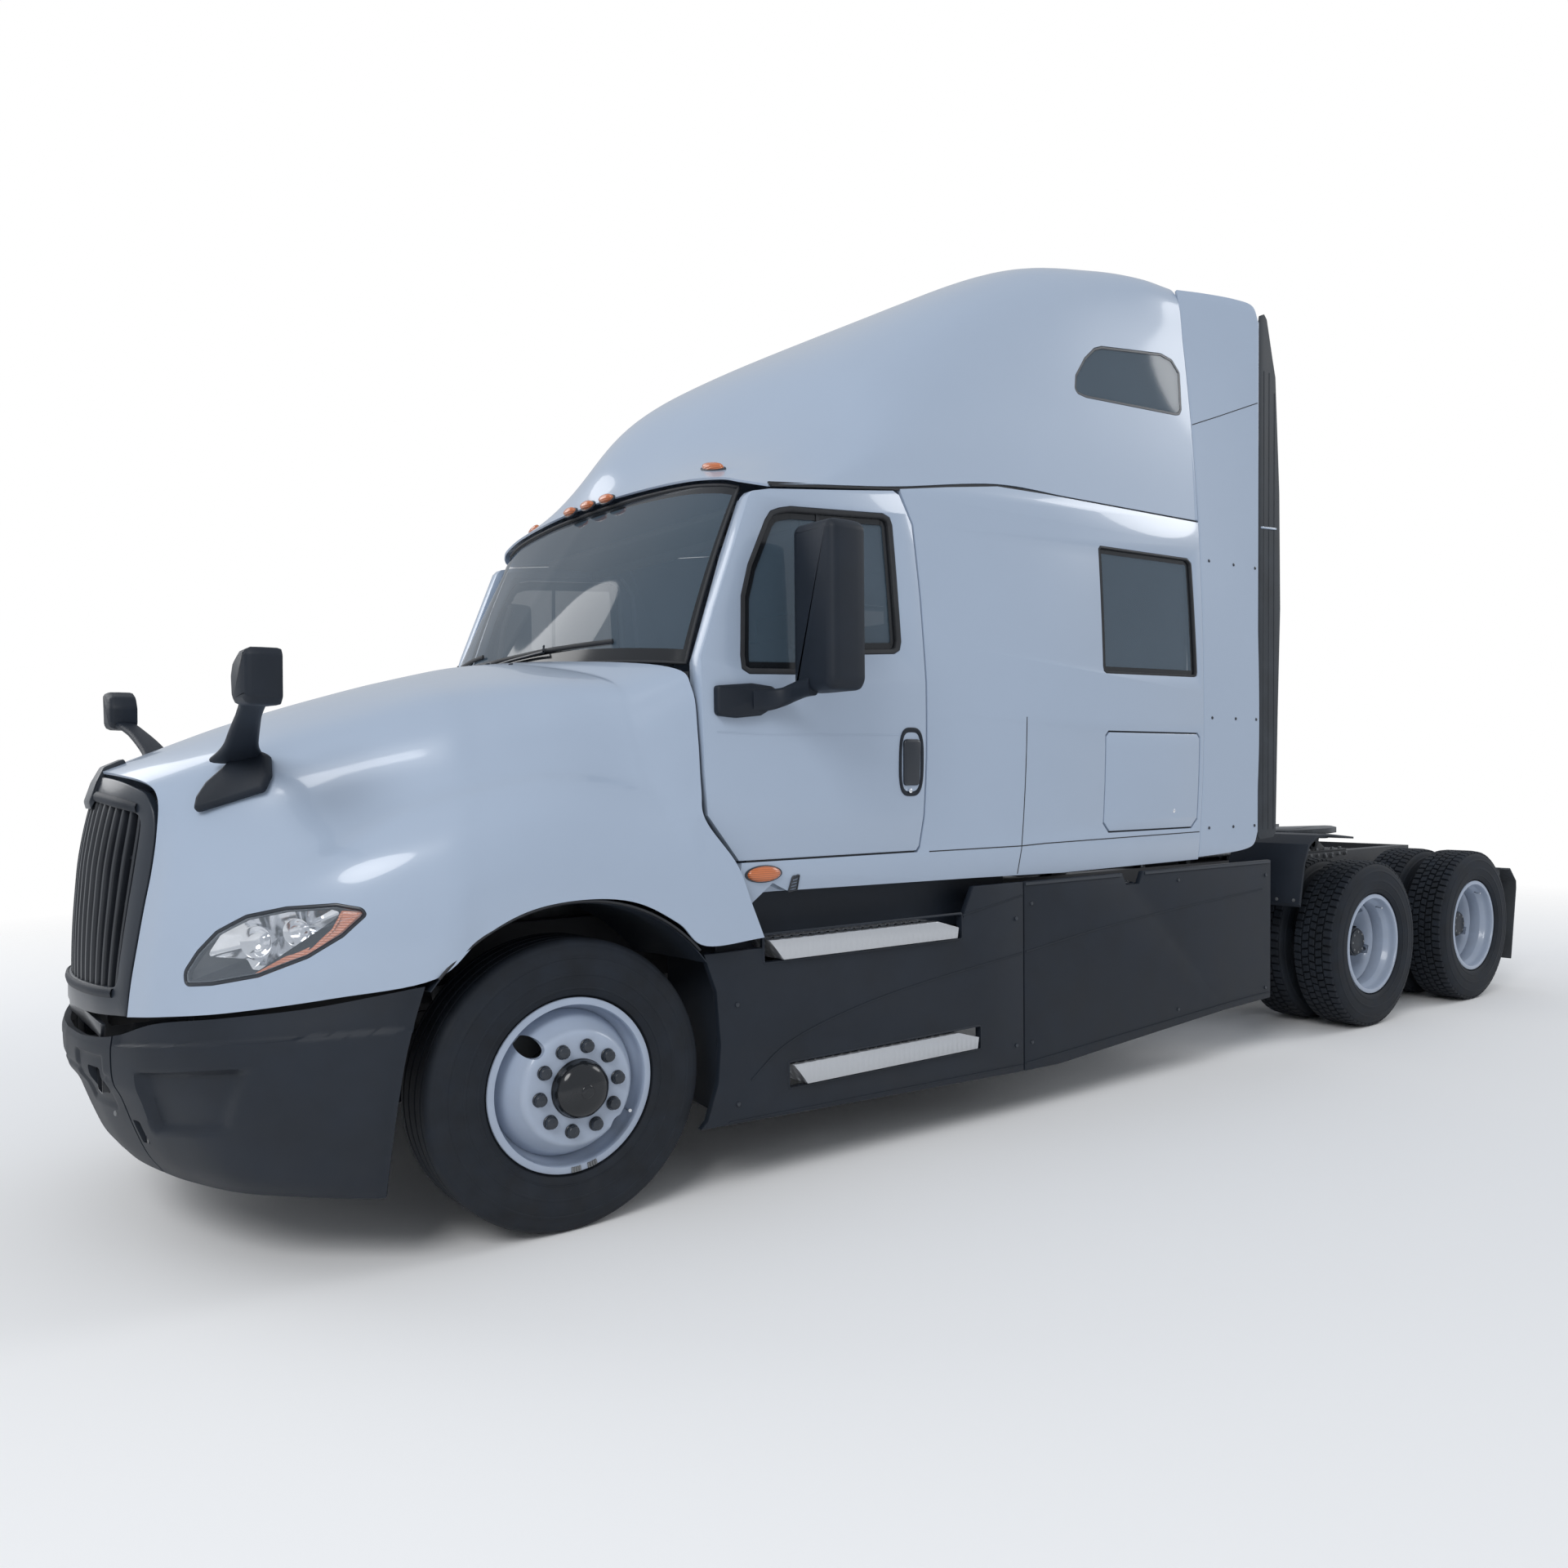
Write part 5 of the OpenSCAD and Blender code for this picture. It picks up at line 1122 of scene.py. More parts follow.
def build_bumper():
    cols = np.array(BUMPER_HALF, float)

    def section(s0, s1, count):
        grid = [spline(cols, s0 + (s1 - s0) * i / (count - 1)) for i in range(count)]
        rows = np.swapaxes(np.array(grid), 0, 1)
        m = (len(rows) - 1) * 12
        out = np.array([spline(rows, b / 12) for b in range(m + 1)])
        out[:, :, 1] = np.maximum(out[:, :, 1], BUMPER_FRONT)
        return np.swapaxes(out, 0, 1)

    side = bumper_shape(section(2.03, 7.0, 70))
    half = section(0.0, 1.985, 44)
    left = half[::-1].copy()
    left[:, :, 0] *= -1
    middle = bumper_shape(np.concatenate([left[:-1], half], 0))
    m = side[::-1].copy()
    m[:, :, 0] *= -1
    centre = piece("bumper_centre", shell(middle, 20), PLASTIC, "chassis", sharp=50)
    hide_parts("bumper")
    corners = piece("bumper_corners", joined(shell(side, 20), shell(m, 20)), PLASTIC, "chassis", sharp=50)
    tow = rounded([(-46, -44, 12), (46, -44, 12), (46, 44, 12), (-46, 44, 12)], 12, 4)
    cutters = []
    for s in (-1, 1):
        cutters.append(prism([(s * 285 + p[0], 575 + p[1]) for p in tow], -1345, -1120, "y"))
    cut(centre, cutters)
    low = rounded([(452, 384, 8), (500, 388, 8), (494, 462, 8), (448, 462, 8)], 8, 3)
    c = prism(low, -1300, -1080, "y")
    cut(corners, [c, mirrored(c)])
    sleeves = []
    for s in (-1, 1):
        pts = [(s * 285 + p[0], 575 + p[1]) for p in tow]
        v, f = ring(pts, [(0, 0), (3, 0), (3, 90), (0, 90)],
                    lambda a, b, d: (a, -1248 + d, b))
        sleeves.append((v, f))
        sleeves.append(box((s * 285 - 44, -1166, 533), (s * 285 + 44, -1160, 617)))
    piece("tow_pockets", joined(*sleeves), GRILLE, "chassis", closed=False)
    # dark air slot between the grille and the bumper's top: a black back plate in the slot, painted shade
    slot = prism(rounded([(-330, 716, 6), (330, 716, 6), (352, 764, 10), (-352, 764, 10)], 8, 3), -1250,
                 -1236, "y")
    piece("bumper_slot_back", slot, GRILLE, "chassis", bevel=2)
    inserts = joined(box((446, -1150, 386), (500, -1144, 460)))
    piece("bumper_low_inserts", both(inserts), GRILLE, "chassis", bevel=2)
    bolts = [disc((s * x, y, z), (s * 0.3, -1, 0), 9, 5, 14) for s in (-1, 1) for x, y, z in
             ((404, -1238, 655), (404, -1222, 480))]
    piece("bumper_bolts", joined(*bolts), STEEL, "chassis")


build_headlamps()
build_grille()
build_hood_mirrors()
build_arch_liners()
build_hood_trim()
build_bumper()

# ---- windscreen and roof ----


def screen_point(s, v, d=0.0):
    a = spline(np.array(SCREEN_LOW, float), abs(s))
    b = spline(np.array(SCREEN_TOP, float), abs(s))
    m = a + (b - a) * v
    p = np.array([m[0] * (1 if s >= 0 else -1), m[1] - 60 * v * (1 - v), m[2]])
    n = np.array([p[0] * 0.0005, -0.75, 0.66])
    n /= np.linalg.norm(n)
    return p - n * d


def build_windscreen():
    ns, nv = 80, 40
    grid = [[screen_point(-4 + 8 * i / ns, k / nv) for k in range(nv + 1)] for i in range(ns + 1)]
    g = np.array(grid)
    v, f = patch(g)
    edge, mid = [], []
    for i in range(ns):
        for k in range(nv):
            border = i < 2 or i >= ns - 2 or k < 3 or k >= nv - 2
            (edge if border else mid).append(f[i * nv + k])
    pane = piece("windscreen_pane", (v, mid), GLASS, "chassis", closed=False)
    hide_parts("windscreen")
    piece("windscreen_border", (v, edge), FRIT, "chassis", closed=False)
    rim = [tuple(screen_point(-4 + 8 * i / ns, 0)) for i in range(ns + 1)]
    rim += [tuple(screen_point(4, k / nv)) for k in range(1, nv + 1)]
    rim += [tuple(screen_point(4 - 8 * i / ns, 1)) for i in range(1, ns + 1)]
    rim += [tuple(screen_point(-4, 1 - k / nv)) for k in range(1, nv)]
    piece("windscreen_gasket", tube(rim, 7, 8, closed=True), SEAL, "chassis", sharp=60)
    # wipers: pivot cap, arm and blade lying along the lower edge
    arms, blades = [], []
    for (s0, s1, v1) in ((-0.35, 1.9, 0.10), (-2.9, -0.75, 0.10)):
        p0 = screen_point(s0, 0.0, -16)
        p1 = screen_point((s0 + s1) / 2 + 0.2, 0.055, -20)
        p2 = screen_point(s1 * 0.55 + s0 * 0.45, v1, -14)
        arms.append(tube([tuple(p0), tuple(p0 * 0.5 + p1 * 0.5 + np.array([0, 0, 4])), tuple(p1), tuple(p2)],
                         [9, 7, 6, 4], 8))
        arms.append(disc(tuple(screen_point(s0, 0.0, -8)), (0, -0.7, 0.7), 17, 15, 18))
        a = [tuple(screen_point(s0 + 0.15 + (s1 - s0) * t, 0.045 + (v1 - 0.045) * 1.1 * t, -8)) for t in
             np.linspace(0, 1, 16)]
        blades.append(tube(a, 5, 8, squash_z=1.8))
    piece("wiper_arms", joined(*arms), SATIN, "chassis", sharp=50)
    piece("wiper_blades", joined(*blades), SEAL, "chassis", sharp=50)
    # cowl grille in front of the screen
    rows = []
    for k, (dy, dz) in enumerate(((0, -6), (-14, -10), (-34, -22), (-60, -34))):
        rows.append([(x, float(screen_point(x / 265.0, 0)[1]) + dy, float(screen_point(x / 265.0, 0)[2]) + dz)
                     for x in np.linspace(-1000, 1000, 60)])
    piece("cowl_apron", shell(np.array(rows)[::-1], 3), PLASTIC, "chassis", sharp=50)


def build_roof():
    shaped = [[(p[0], p[1], p[2]) for p in c] for c in ROOF_HALF]
    g = fine(across(shaped), 8, 8)
    rear = g[-1]

    def dropped(p, f):
        z = 2842 + f * (p[2] - 2842)
        return (p[0] * (1 - 0.02 * (1 - f)), 3440 + 59 * f, z)

    extra = np.array([[dropped(p, f) for p in rear] for f in np.linspace(0.9, 0, 12)])
    g = np.concatenate([g, extra], 0)
    g[:, :, 2] = np.minimum(g[:, :, 2], 4109.6)
    roof = piece("roof_panel", shell(g, 9), WHITE, "chassis", sharp=55)
    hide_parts("roof_cap")
    hole = prism(rounded([tuple(p) for p in ROOF_WINDOW], 22, 4), 700, 1260, "x")
    cut(roof, [hole, mirrored(hole)])
    win = dense(rounded([tuple(p) for p in ROOF_WINDOW], 22, 4), 40)
    frame_ring = ring(win, [(1, 11), (1, 1), (3, -1), (12, -1), (15, 3), (15, 9)],
                      lambda y, z, d: on_side(y, z, d + 2))
    piece("roof_window_frames", both(frame_ring), SATIN, "chassis", closed=False)
    seam = polyline([(821, 2640), (1212, 2682), (1475, 2714), (1735, 2757), (2040, 2804), (2346, 2812),
                     (3493, 2828)], 60)
    piece("roof_seam_gaskets", both(strip(seam, 16, on_side, proud=-5, deep=14)), SEAL, "chassis", sharp=60)
    tree = BVHTree.FromPolygons([tuple(p) for p in g.reshape(-1, 3)], patch(g)[1])
    # five oval marker lamps over the screen
    bases, lamps = [], []
    for (x, y, z, w) in ((0, 707, 2701, 40), (170, 720, 2700, 40), (-170, 720, 2700, 40),
                         (800, 835, 2683, 52), (-800, 835, 2683, 52)):
        loc, nor = tree.find_nearest(Vector((x, y, z)))[:2]
        if nor.y > 0:
            nor = -nor
        t = Vector((1, 0, 0)) - nor * nor.x
        t.normalize()
        u = nor.cross(t)
        m = Matrix((t, u, nor)).transposed()
        for (h0, sc, store, rows) in ((0, 1.18, bases, ((0.0, 1.0), (5, 1.0), (7, 0.96), (7.5, 0.8))),
                                      (5, 1.0, lamps, ((0, 1.0), (10, 0.97), (17, 0.84), (21, 0.6),
                                                       (22.5, 0.3)))):
            v, f = domed(rows, lambda c, s, h, q: (c * (w + 14) * sc * q, s * 19 * sc * q, h0 + h))
            store.append(turned((v, f), m, loc - nor * 2))
    piece("roof_marker_bases", joined(*bases), SATIN, "chassis", closed=False, sharp=50)
    piece("roof_marker_lamps", joined(*lamps), AMBER, "chassis", closed=False, sharp=50)


build_windscreen()
build_roof()

# ---- cab ----


def build_cab_panels():
    for s in ("left", "right"):
        refined("cab_side_" + s, bevel=2.5, flat=0.3)
        refined("door_" + s, bevel=2.5, flat=0.3)
        refined("luggage_door_" + s, bevel=2.0, flat=0.3)
        refined("door_glass_" + s, bevel=0, flat=0.2)
    refined("side_windows", bevel=0, flat=0.2)
    refined("back_wall", bevel=2)
    refined("firewall", bevel=2)
    refined("cab_floor", bevel=2)


def side_pieces(name, part, mat, left, right, **kw):
    """The same piece on both sides, riding on two different bodies."""
    piece(name + "_left", part, mat, left, **kw)
    piece(name + "_right", mirrored(part), mat, right, **kw)


def build_windows():
    win = dense(rounded([tuple(p) for p in DOOR_WINDOW], 18, 3), 40)
    rim = ring(win, [(1, 20), (1, 2), (3, -1.2), (14, -1.2), (19, 1), (22, 8), (22, 20)], on_side)
    side_pieces("door_window_seal", rim, SEAL, "left_door", "right_door", closed=False, sharp=50)
    # broad dark band printed inside the glass, wider along the top and the rear
    v = [on_side(p[0], p[1], 16) for depth in (20, 46) for p in inset(win, depth)]
    n = len(win)
    f = [(i, (i + 1) % n, (i + 1) % n + n, i + n) for i in range(n)]
    side_pieces("door_window_border", (v, f), FRIT, "left_door", "right_door", closed=False)
    seam = polyline([(1049, 1975 + 590 * t) for t in np.linspace(0, 1, 14)], 200)
    side_pieces("door_window_divider", strip(seam, 16, on_side, proud=-12, deep=22), SEAL, "left_door",
                "right_door", sharp=50)
    sleeper = dense(rounded([tuple(p) for p in SLEEPER_WINDOW], 26, 4), 40)
    rim = ring(sleeper, [(1, 16), (1, 1), (3, -1), (9, -1), (12, 4), (12, 14)], on_side)
    piece("sleeper_window_seals", both(rim), SEAL, "chassis", closed=False, sharp=50)
    inner = ring(sleeper, [(11, 13), (34, 13.2)], on_side)
    piece("sleeper_window_borders", both(inner), FRIT, "chassis", closed=False)


def build_door_details():
    # recessed pull handle: cup, paddle and lock
    oval = []
    for k in range(48):
        a = 2 * math.pi * k / 48
        c, s = math.cos(a), math.sin(a)
        oval.append((1498 + 66 * math.copysign(abs(c) ** 0.62, c),
                     1597 + 140 * math.copysign(abs(s) ** 0.62, s)))
    rim = ring(oval, [(-1, 3), (-1, -2), (3, -4), (9, -4), (13, -1)], on_side)
    cup = fan(inset(oval, 12), (1498, 1597), 8, on_side, lambda t: -1 + 9 * (1 - t ** 3))
    side_pieces("door_handle_cup", joined(rim, cup), PLASTIC, "left_door", "right_door", closed=False,
                sharp=50)
    pad = rounded([(1456, 1500, 16), (1540, 1500, 16), (1546, 1690, 22), (1452, 1690, 22)], 18, 5)
    loops = [(0, 4), (0, -4), (3, -9), (10, -12)]
    v, f = ring(pad, loops, on_side)
    n = len(pad)
    f = list(f) + [tuple(3 * n + i for i in range(n))]
    side_pieces("door_handle_paddle", (v, f), SATIN, "left_door", "right_door", closed=False, sharp=50)
    key = disc((skin_x(1478) + 3, 1492, 1478), (1, 0, 0), 9, 5, 20)
    side_pieces("door_lock", key, CHROME, "left_door", "right_door")
    # pressed line along the door's lower skin
    line = polyline([(560, 1706), (800, 1700), (1200, 1704), (1440, 1708)], 60)
    side_pieces("door_pressed_line", strip(line, 5, on_side, proud=0.8, deep=1.5), WHITE, "left_door",
                "right_door", sharp=60)
    sill = polyline([(700, 1226), (1535, 1226)], 60)
    piece("sill_gaskets", both(strip(sill, 10, on_side, proud=-8, deep=16)), SEAL, "chassis", sharp=60)


def mirror_parts():
    o = 1190.5
    out = rounded([(548, 1764, 22), (548, 1872, 16), (700, 1886, 60), (790, 1878, 30), (820, 1862, 12),
                   (800, 1800, 30), (740, 1768, 30), (640, 1757, 40)], 20, 5)

    def base(a, b, d):
        return (o + d, a, b)

    v, f = ring(out, [(0, 0), (0, 18), (3, 25), (10, 29)], base)
    n = len(out)
    f = list(f) + [tuple(3 * n + i for i in range(n)), tuple(range(n - 1, -1, -1))]
    foot = (v, f)
    arm_v, arm_f = [], []
    path = [((1208, 700, 1822), 42, 15), ((1216, 770, 1826), 40, 20), ((1236, 816, 1836), 36, 24),
            ((1275, 838, 1852), 34, 24), ((1330, 846, 1866), 34, 24), ((1386, 850, 1872), 36, 24)]
    m = 20
    for k in range(26):
        t = k / 25 * (len(path) - 1)
        i = min(len(path) - 2, int(t))
        q = t - i
        c = [spline(np.array([pp[0] for pp in path], float), t)[a] for a in range(3)]
        h = path[i][1] * (1 - q) + path[i + 1][1] * q
        w = path[i][2] * (1 - q) + path[i + 1][2] * q
        j0 = np.array([spline(np.array([pp[0] for pp in path], float), min(len(path) - 1.0, t + 0.1))[a]
                       - spline(np.array([pp[0] for pp in path], float),
                                max(0.0, t - 0.1))[a] for a in range(3)])
        j0 /= np.linalg.norm(j0)
        side = np.cross(j0, [0, 0, 1.0])
        side /= np.linalg.norm(side)
        for r in range(m):
            a = 2 * math.pi * r / m
            cx, sz = math.cos(a), math.sin(a)
            cx = math.copysign(abs(cx) ** 0.65, cx)
            sz = math.copysign(abs(sz) ** 0.65, sz)
            arm_v.append((c[0] + side[0] * w * cx, c[1] + side[1] * w * cx, c[2] + h * sz))
    arm_f += bands(25, m)
    arm_f += [tuple(range(m - 1, -1, -1)), tuple(25 * m + r for r in range(m))]
    head = rounded([(1281, 1862, 40), (1282, 2440, 34), (1304, 2465, 30), (1502, 2465, 34), (1527, 2440, 34),
                    (1527, 1886, 50), (1500, 1851, 50), (1310, 1851, 50)], 40, 6)
    stations = [(34, 831), (14, 836), (4, 848), (0, 868), (0, 940), (2, 970), (6, 983), (13, 984.5),
                (17, 978)]
    shell_part = capped(head, stations, lambda a, b, d: (a, d, b))
    upper = [(1302, 2072), (1506, 2072), (1506, 2438), (1302, 2438)]
    lower = [(1302, 1880), (1506, 1880), (1506, 2052), (1302, 2052)]
    glass = []
    for q in (upper, lower):
        pts = rounded([(a, b, 22) for a, b in q], 22, 4)
        glass.append(([(p[0], 979.5, p[1]) for p in pts], [tuple(range(len(pts)))]))
    return joined(foot, (arm_v, arm_f), shell_part), joined(*glass)


def build_mirrors():
    body, glass = mirror_parts()
    for s, part, g in (("left", body, glass), ("right", mirrored(body), mirrored(glass))):
        o = piece("door_mirror_body_" + s, part, PLASTIC, s + "_door", sharp=50)
        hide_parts("door_mirror_" + s)
        piece("door_mirror_glass_" + s, g, CHROME, s + "_door", closed=False)


def build_side_details():
    seams = []
    for path, w in (([(2185, 1798), (2171, 1207), (2154, 1096)], 5), ([(2325, 1226), (3493, 1237)], 5),
                    ([(2325, 1226), (2171, 1221)], 5), ([(1612, 1222), (2171, 1221)], 5)):
        seams.append(strip(polyline(path, 60), w, on_side, proud=0.3, deep=2))
    piece("cab_seams", both(joined(*seams)), SEAL, "chassis", sharp=60)
    lock_rim = disc((skin_x(1300) + 0.5, 3270, 1352), (1, 0, 0), 13, 3, 24, dome=0.6)
    key = disc((skin_x(1300) + 3, 3270, 1352), (1, 0, 0), 7, 3, 16)
    side_pieces("luggage_lock", joined(lock_rim, key), CHROME, "left_luggage_door", "right_luggage_door")
    y0, y1, z0, z1 = 2730, 3462, 1266, 1738
    out = dense(rounded([(y0, z0, 52), (y1, z0, 52), (y1, z1, 30), (y0, z1, 30)], 40, 5), 50)
    gasket = ring(out, [(-7.5, 22), (-7.5, 12), (-1.5, 12), (-1.5, 22)], on_side)
    piece("luggage_gaskets", both(gasket), SEAL, "chassis", closed=False)
    # amber side marker and a small vent on the white sill
    def on_sill(c, s, h, q):
        y, z = 774 + 76 * c * q, 1176 + 30 * s * q
        return (skin_x(z) + h, y, z)

    base = domed(((0.0, 1.1), (4, 1.1), (6, 1.02)), on_sill)
    marker = domed(((3, 1.0), (11, 0.96), (17, 0.82), (20, 0.55), (21, 0.25)), on_sill)
    piece("side_marker_bases", both(base), SATIN, "chassis", closed=False, sharp=50)
    piece("side_marker_lamps", both(marker), AMBER, "chassis", closed=False, sharp=50)
    vent = rounded([(888, 1096, 6), (934, 1104, 6), (944, 1166, 6), (908, 1160, 6)], 6, 3)
    v, f = ring(vent, [(0, 1), (0, -4), (2, -6), (5, -6), (6, -2)], on_side)
    slats = [strip([(898 + k * 2, 1112 + 12 * k), (930 + k * 2.4, 1118 + 12 * k)], 5, on_side, proud=5,
                   deep=0)
             for k in range(4)]
    piece("sill_vents", both(joined((v, f), *slats)), GRILLE, "chassis", closed=False)
    # rain gutters of the doors' tops
    gut = polyline([(830, 2634), (1205, 2680), (1440, 2708)], 50)
    piece("door_top_gutters", both(strip(gut, 8, on_side, proud=-2, deep=12)), SEAL, "chassis", sharp=60)


def extender_x(y, z):
    t = (y - CAB_REAR) / 500
    edge = HALF_W - 8
    return skin_x(z) + max(0.0, t) * max(0.0, edge - skin_x(z))


def on_extender(y, z, d):
    return (extender_x(y, z) - d, y, z)


def build_extenders():
    tops = [4045, 4050, 4046, 4024, 3940]
    lows = [1104, 1112, 1124, 1150, 1220]
    ys = [CAB_REAR + d for d in (2, 170, 350, 460, 500)]
    top = lambda t: float(spline(np.array(tops, float), t))
    grid = []
    for a in range(41):
        t = a / 10
        y = float(spline(np.array(ys, float), t))
        z0, z1 = float(spline(np.array(lows, float), t)), top(t)
        grid.append([(extender_x(y, z0 + (z1 - z0) * k / 60), y, z0 + (z1 - z0) * k / 60) for k in range(61)])
    g = np.array(grid)
    part = shell(g, 20)
    o = piece("side_extender_panels", both(part), WHITE, "chassis", bevel=3, sharp=40)
    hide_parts("side_extenders")
    seams = [strip(polyline([(3506, 3332), (3700, 3404), (3990, 3516)], 50), 5, on_extender, 0.3, 2)]
    piece("extender_seams", both(joined(*seams)), SEAL, "chassis", sharp=60)
    rivets = []
    for z in (2635, 1825, 1254):
        for y in (3572, 3780, 3968):
            p = on_extender(y, z, 1)
            rivets.append(disc(p, (1, 0, 0), 8.5, 5, 16, dome=0.8))
    piece("extender_rivets", both(joined(*rivets)), SATIN, "chassis")
    o = refined("extender_flaps", bevel=3)
    ribs = []
    for y in (4060, 4110, 4160):
        ribs.append(strip([(y, 1230), (y, 3700 if y < 4150 else 3600)], 8,
                          lambda a, b, d: (1176 - d, a, b), proud=1.6, deep=1))
    piece("flap_ribs", both(joined(*ribs)), FLAP, "chassis", sharp=50)
    straps = prism(rounded([(4030, 2856), (4176, 2864), (4176, 2874), (4030, 2866)], 3, 2), 1170, 1180, "x")
    piece("flap_straps", both(straps), WHITE, "chassis", bevel=1)


def build_skirts():
    refined("side_skirts", bevel=4)
    refined("steps", bevel=3, mat=TREAD)
    o = 1178
    place = lambda a, b, d: (o - d, a, b)
    creases = []
    for path, w in (([(700, 410), (860, 520), (1120, 600), (1500, 668), (2160, 742)], 7),
                    ([(2182, 745), (2700, 806), (3300, 856), (4050, 905)], 7),
                    ([(600, 268), (2160, 236)], 6), ([(2182, 240), (3700, 316), (4120, 330)], 6),
                    ([(1790, 940), (2160, 1000)], 6)):
        pts = [tuple(spline(np.array(path, float), t)) for t in np.linspace(0, len(path) - 1, 30)]
        creases.append(strip(pts, w, place, proud=2.2, deep=1))
    piece("skirt_creases", both(joined(*creases)), PLASTIC, "chassis", sharp=60)
    # lip along the top edge, the fuel filler cup and its cap
    top = polyline([(2180, 1050), (2850, 1050)], 80)
    top2 = polyline([(3030, 1050), (4120, 1050)], 80)
    piece("skirt_top_lips", both(joined(strip(top, 12, place, 4, 1), strip(top2, 12, place, 4, 1))), SATIN,
          "chassis", sharp=50)
    cup = lathe([(0, 78), (8, 78), (10, 70), (4, 62), (-30, 58), (-34, 0.1)], 40, "z", at=(1090, 2940, 996))
    cap = lathe([(-30, 50), (6, 50), (10, 46), (12, 30), (12, 0.1)], 40, "z", at=(1090, 2940, 1002))
    grip = []
    for k in range(6):
        a = math.pi * 2 * k / 6
        grip.append(disc((1090 + 36 * math.cos(a), 2940 + 36 * math.sin(a), 1013), (0, 0, 1), 7, 5, 12))
    piece("filler_cups", both(cup), PLASTIC, "chassis", closed=False, sharp=50)
    piece("filler_caps", both(joined(cap, *grip)), GREASE, "chassis", closed=False, sharp=50)
    # fasteners along the skirts
    bolts = []
    for (y, z) in ((640, 330), (640, 700), (2120, 330), (2120, 900), (2220, 330), (2220, 960), (3300, 340),
                   (4080, 360), (4080, 980), (3300, 1000)):
        bolts.append(disc((o + 0.5, y, z), (1, 0, 0), 9, 5, 14, dome=0.6))
    piece("skirt_fasteners", both(joined(*bolts)), SATIN, "chassis")
    # punched treads: rows of raised slots on each step's top, and a rolled nose
    noses, slots = [], []
    for (y0, y1, z1) in ((775, 1752, 928), (882, 1868, 442)):
        noses.append(tube([(1192, y0 + 6, z1 - 5), (1192, y1 - 124, z1 - 5)], 5, 10))
        y = y0 + 40
        while y < y1 - 170:
            for row, x in enumerate((1160, 1105, 1050)):
                v, f = box((-24, -5, 0), (24, 5, 5))
                q = Matrix.Rotation(math.radians(38 if row % 2 else -38), 3, "Z")
                slots.append(turned((v, f), q, (x, y, z1 - 1.5)))
            y += 44
    piece("step_noses", both(joined(*noses)), ALLOY, "chassis", sharp=50)
    piece("step_grips", both(joined(*slots)), CHASSIS, "chassis", bevel=1.2)
    pockets = []
    for pts in ([(762, 948), (1788, 948), (1788, 840), (762, 840)],
                [(872, 450), (1898, 450), (1898, 348), (872, 348)]):
        pts = rounded([(a, b, 10) for a, b in pts], 10, 3)
        v, f = ring(pts, [(-6, 2), (-2, -1.5), (3, -1.5), (4, 6), (4, 30)], place)
        pockets.append((v, f))
    piece("step_pocket_rims", both(joined(*pockets)), PLASTIC, "chassis", closed=False, sharp=50)


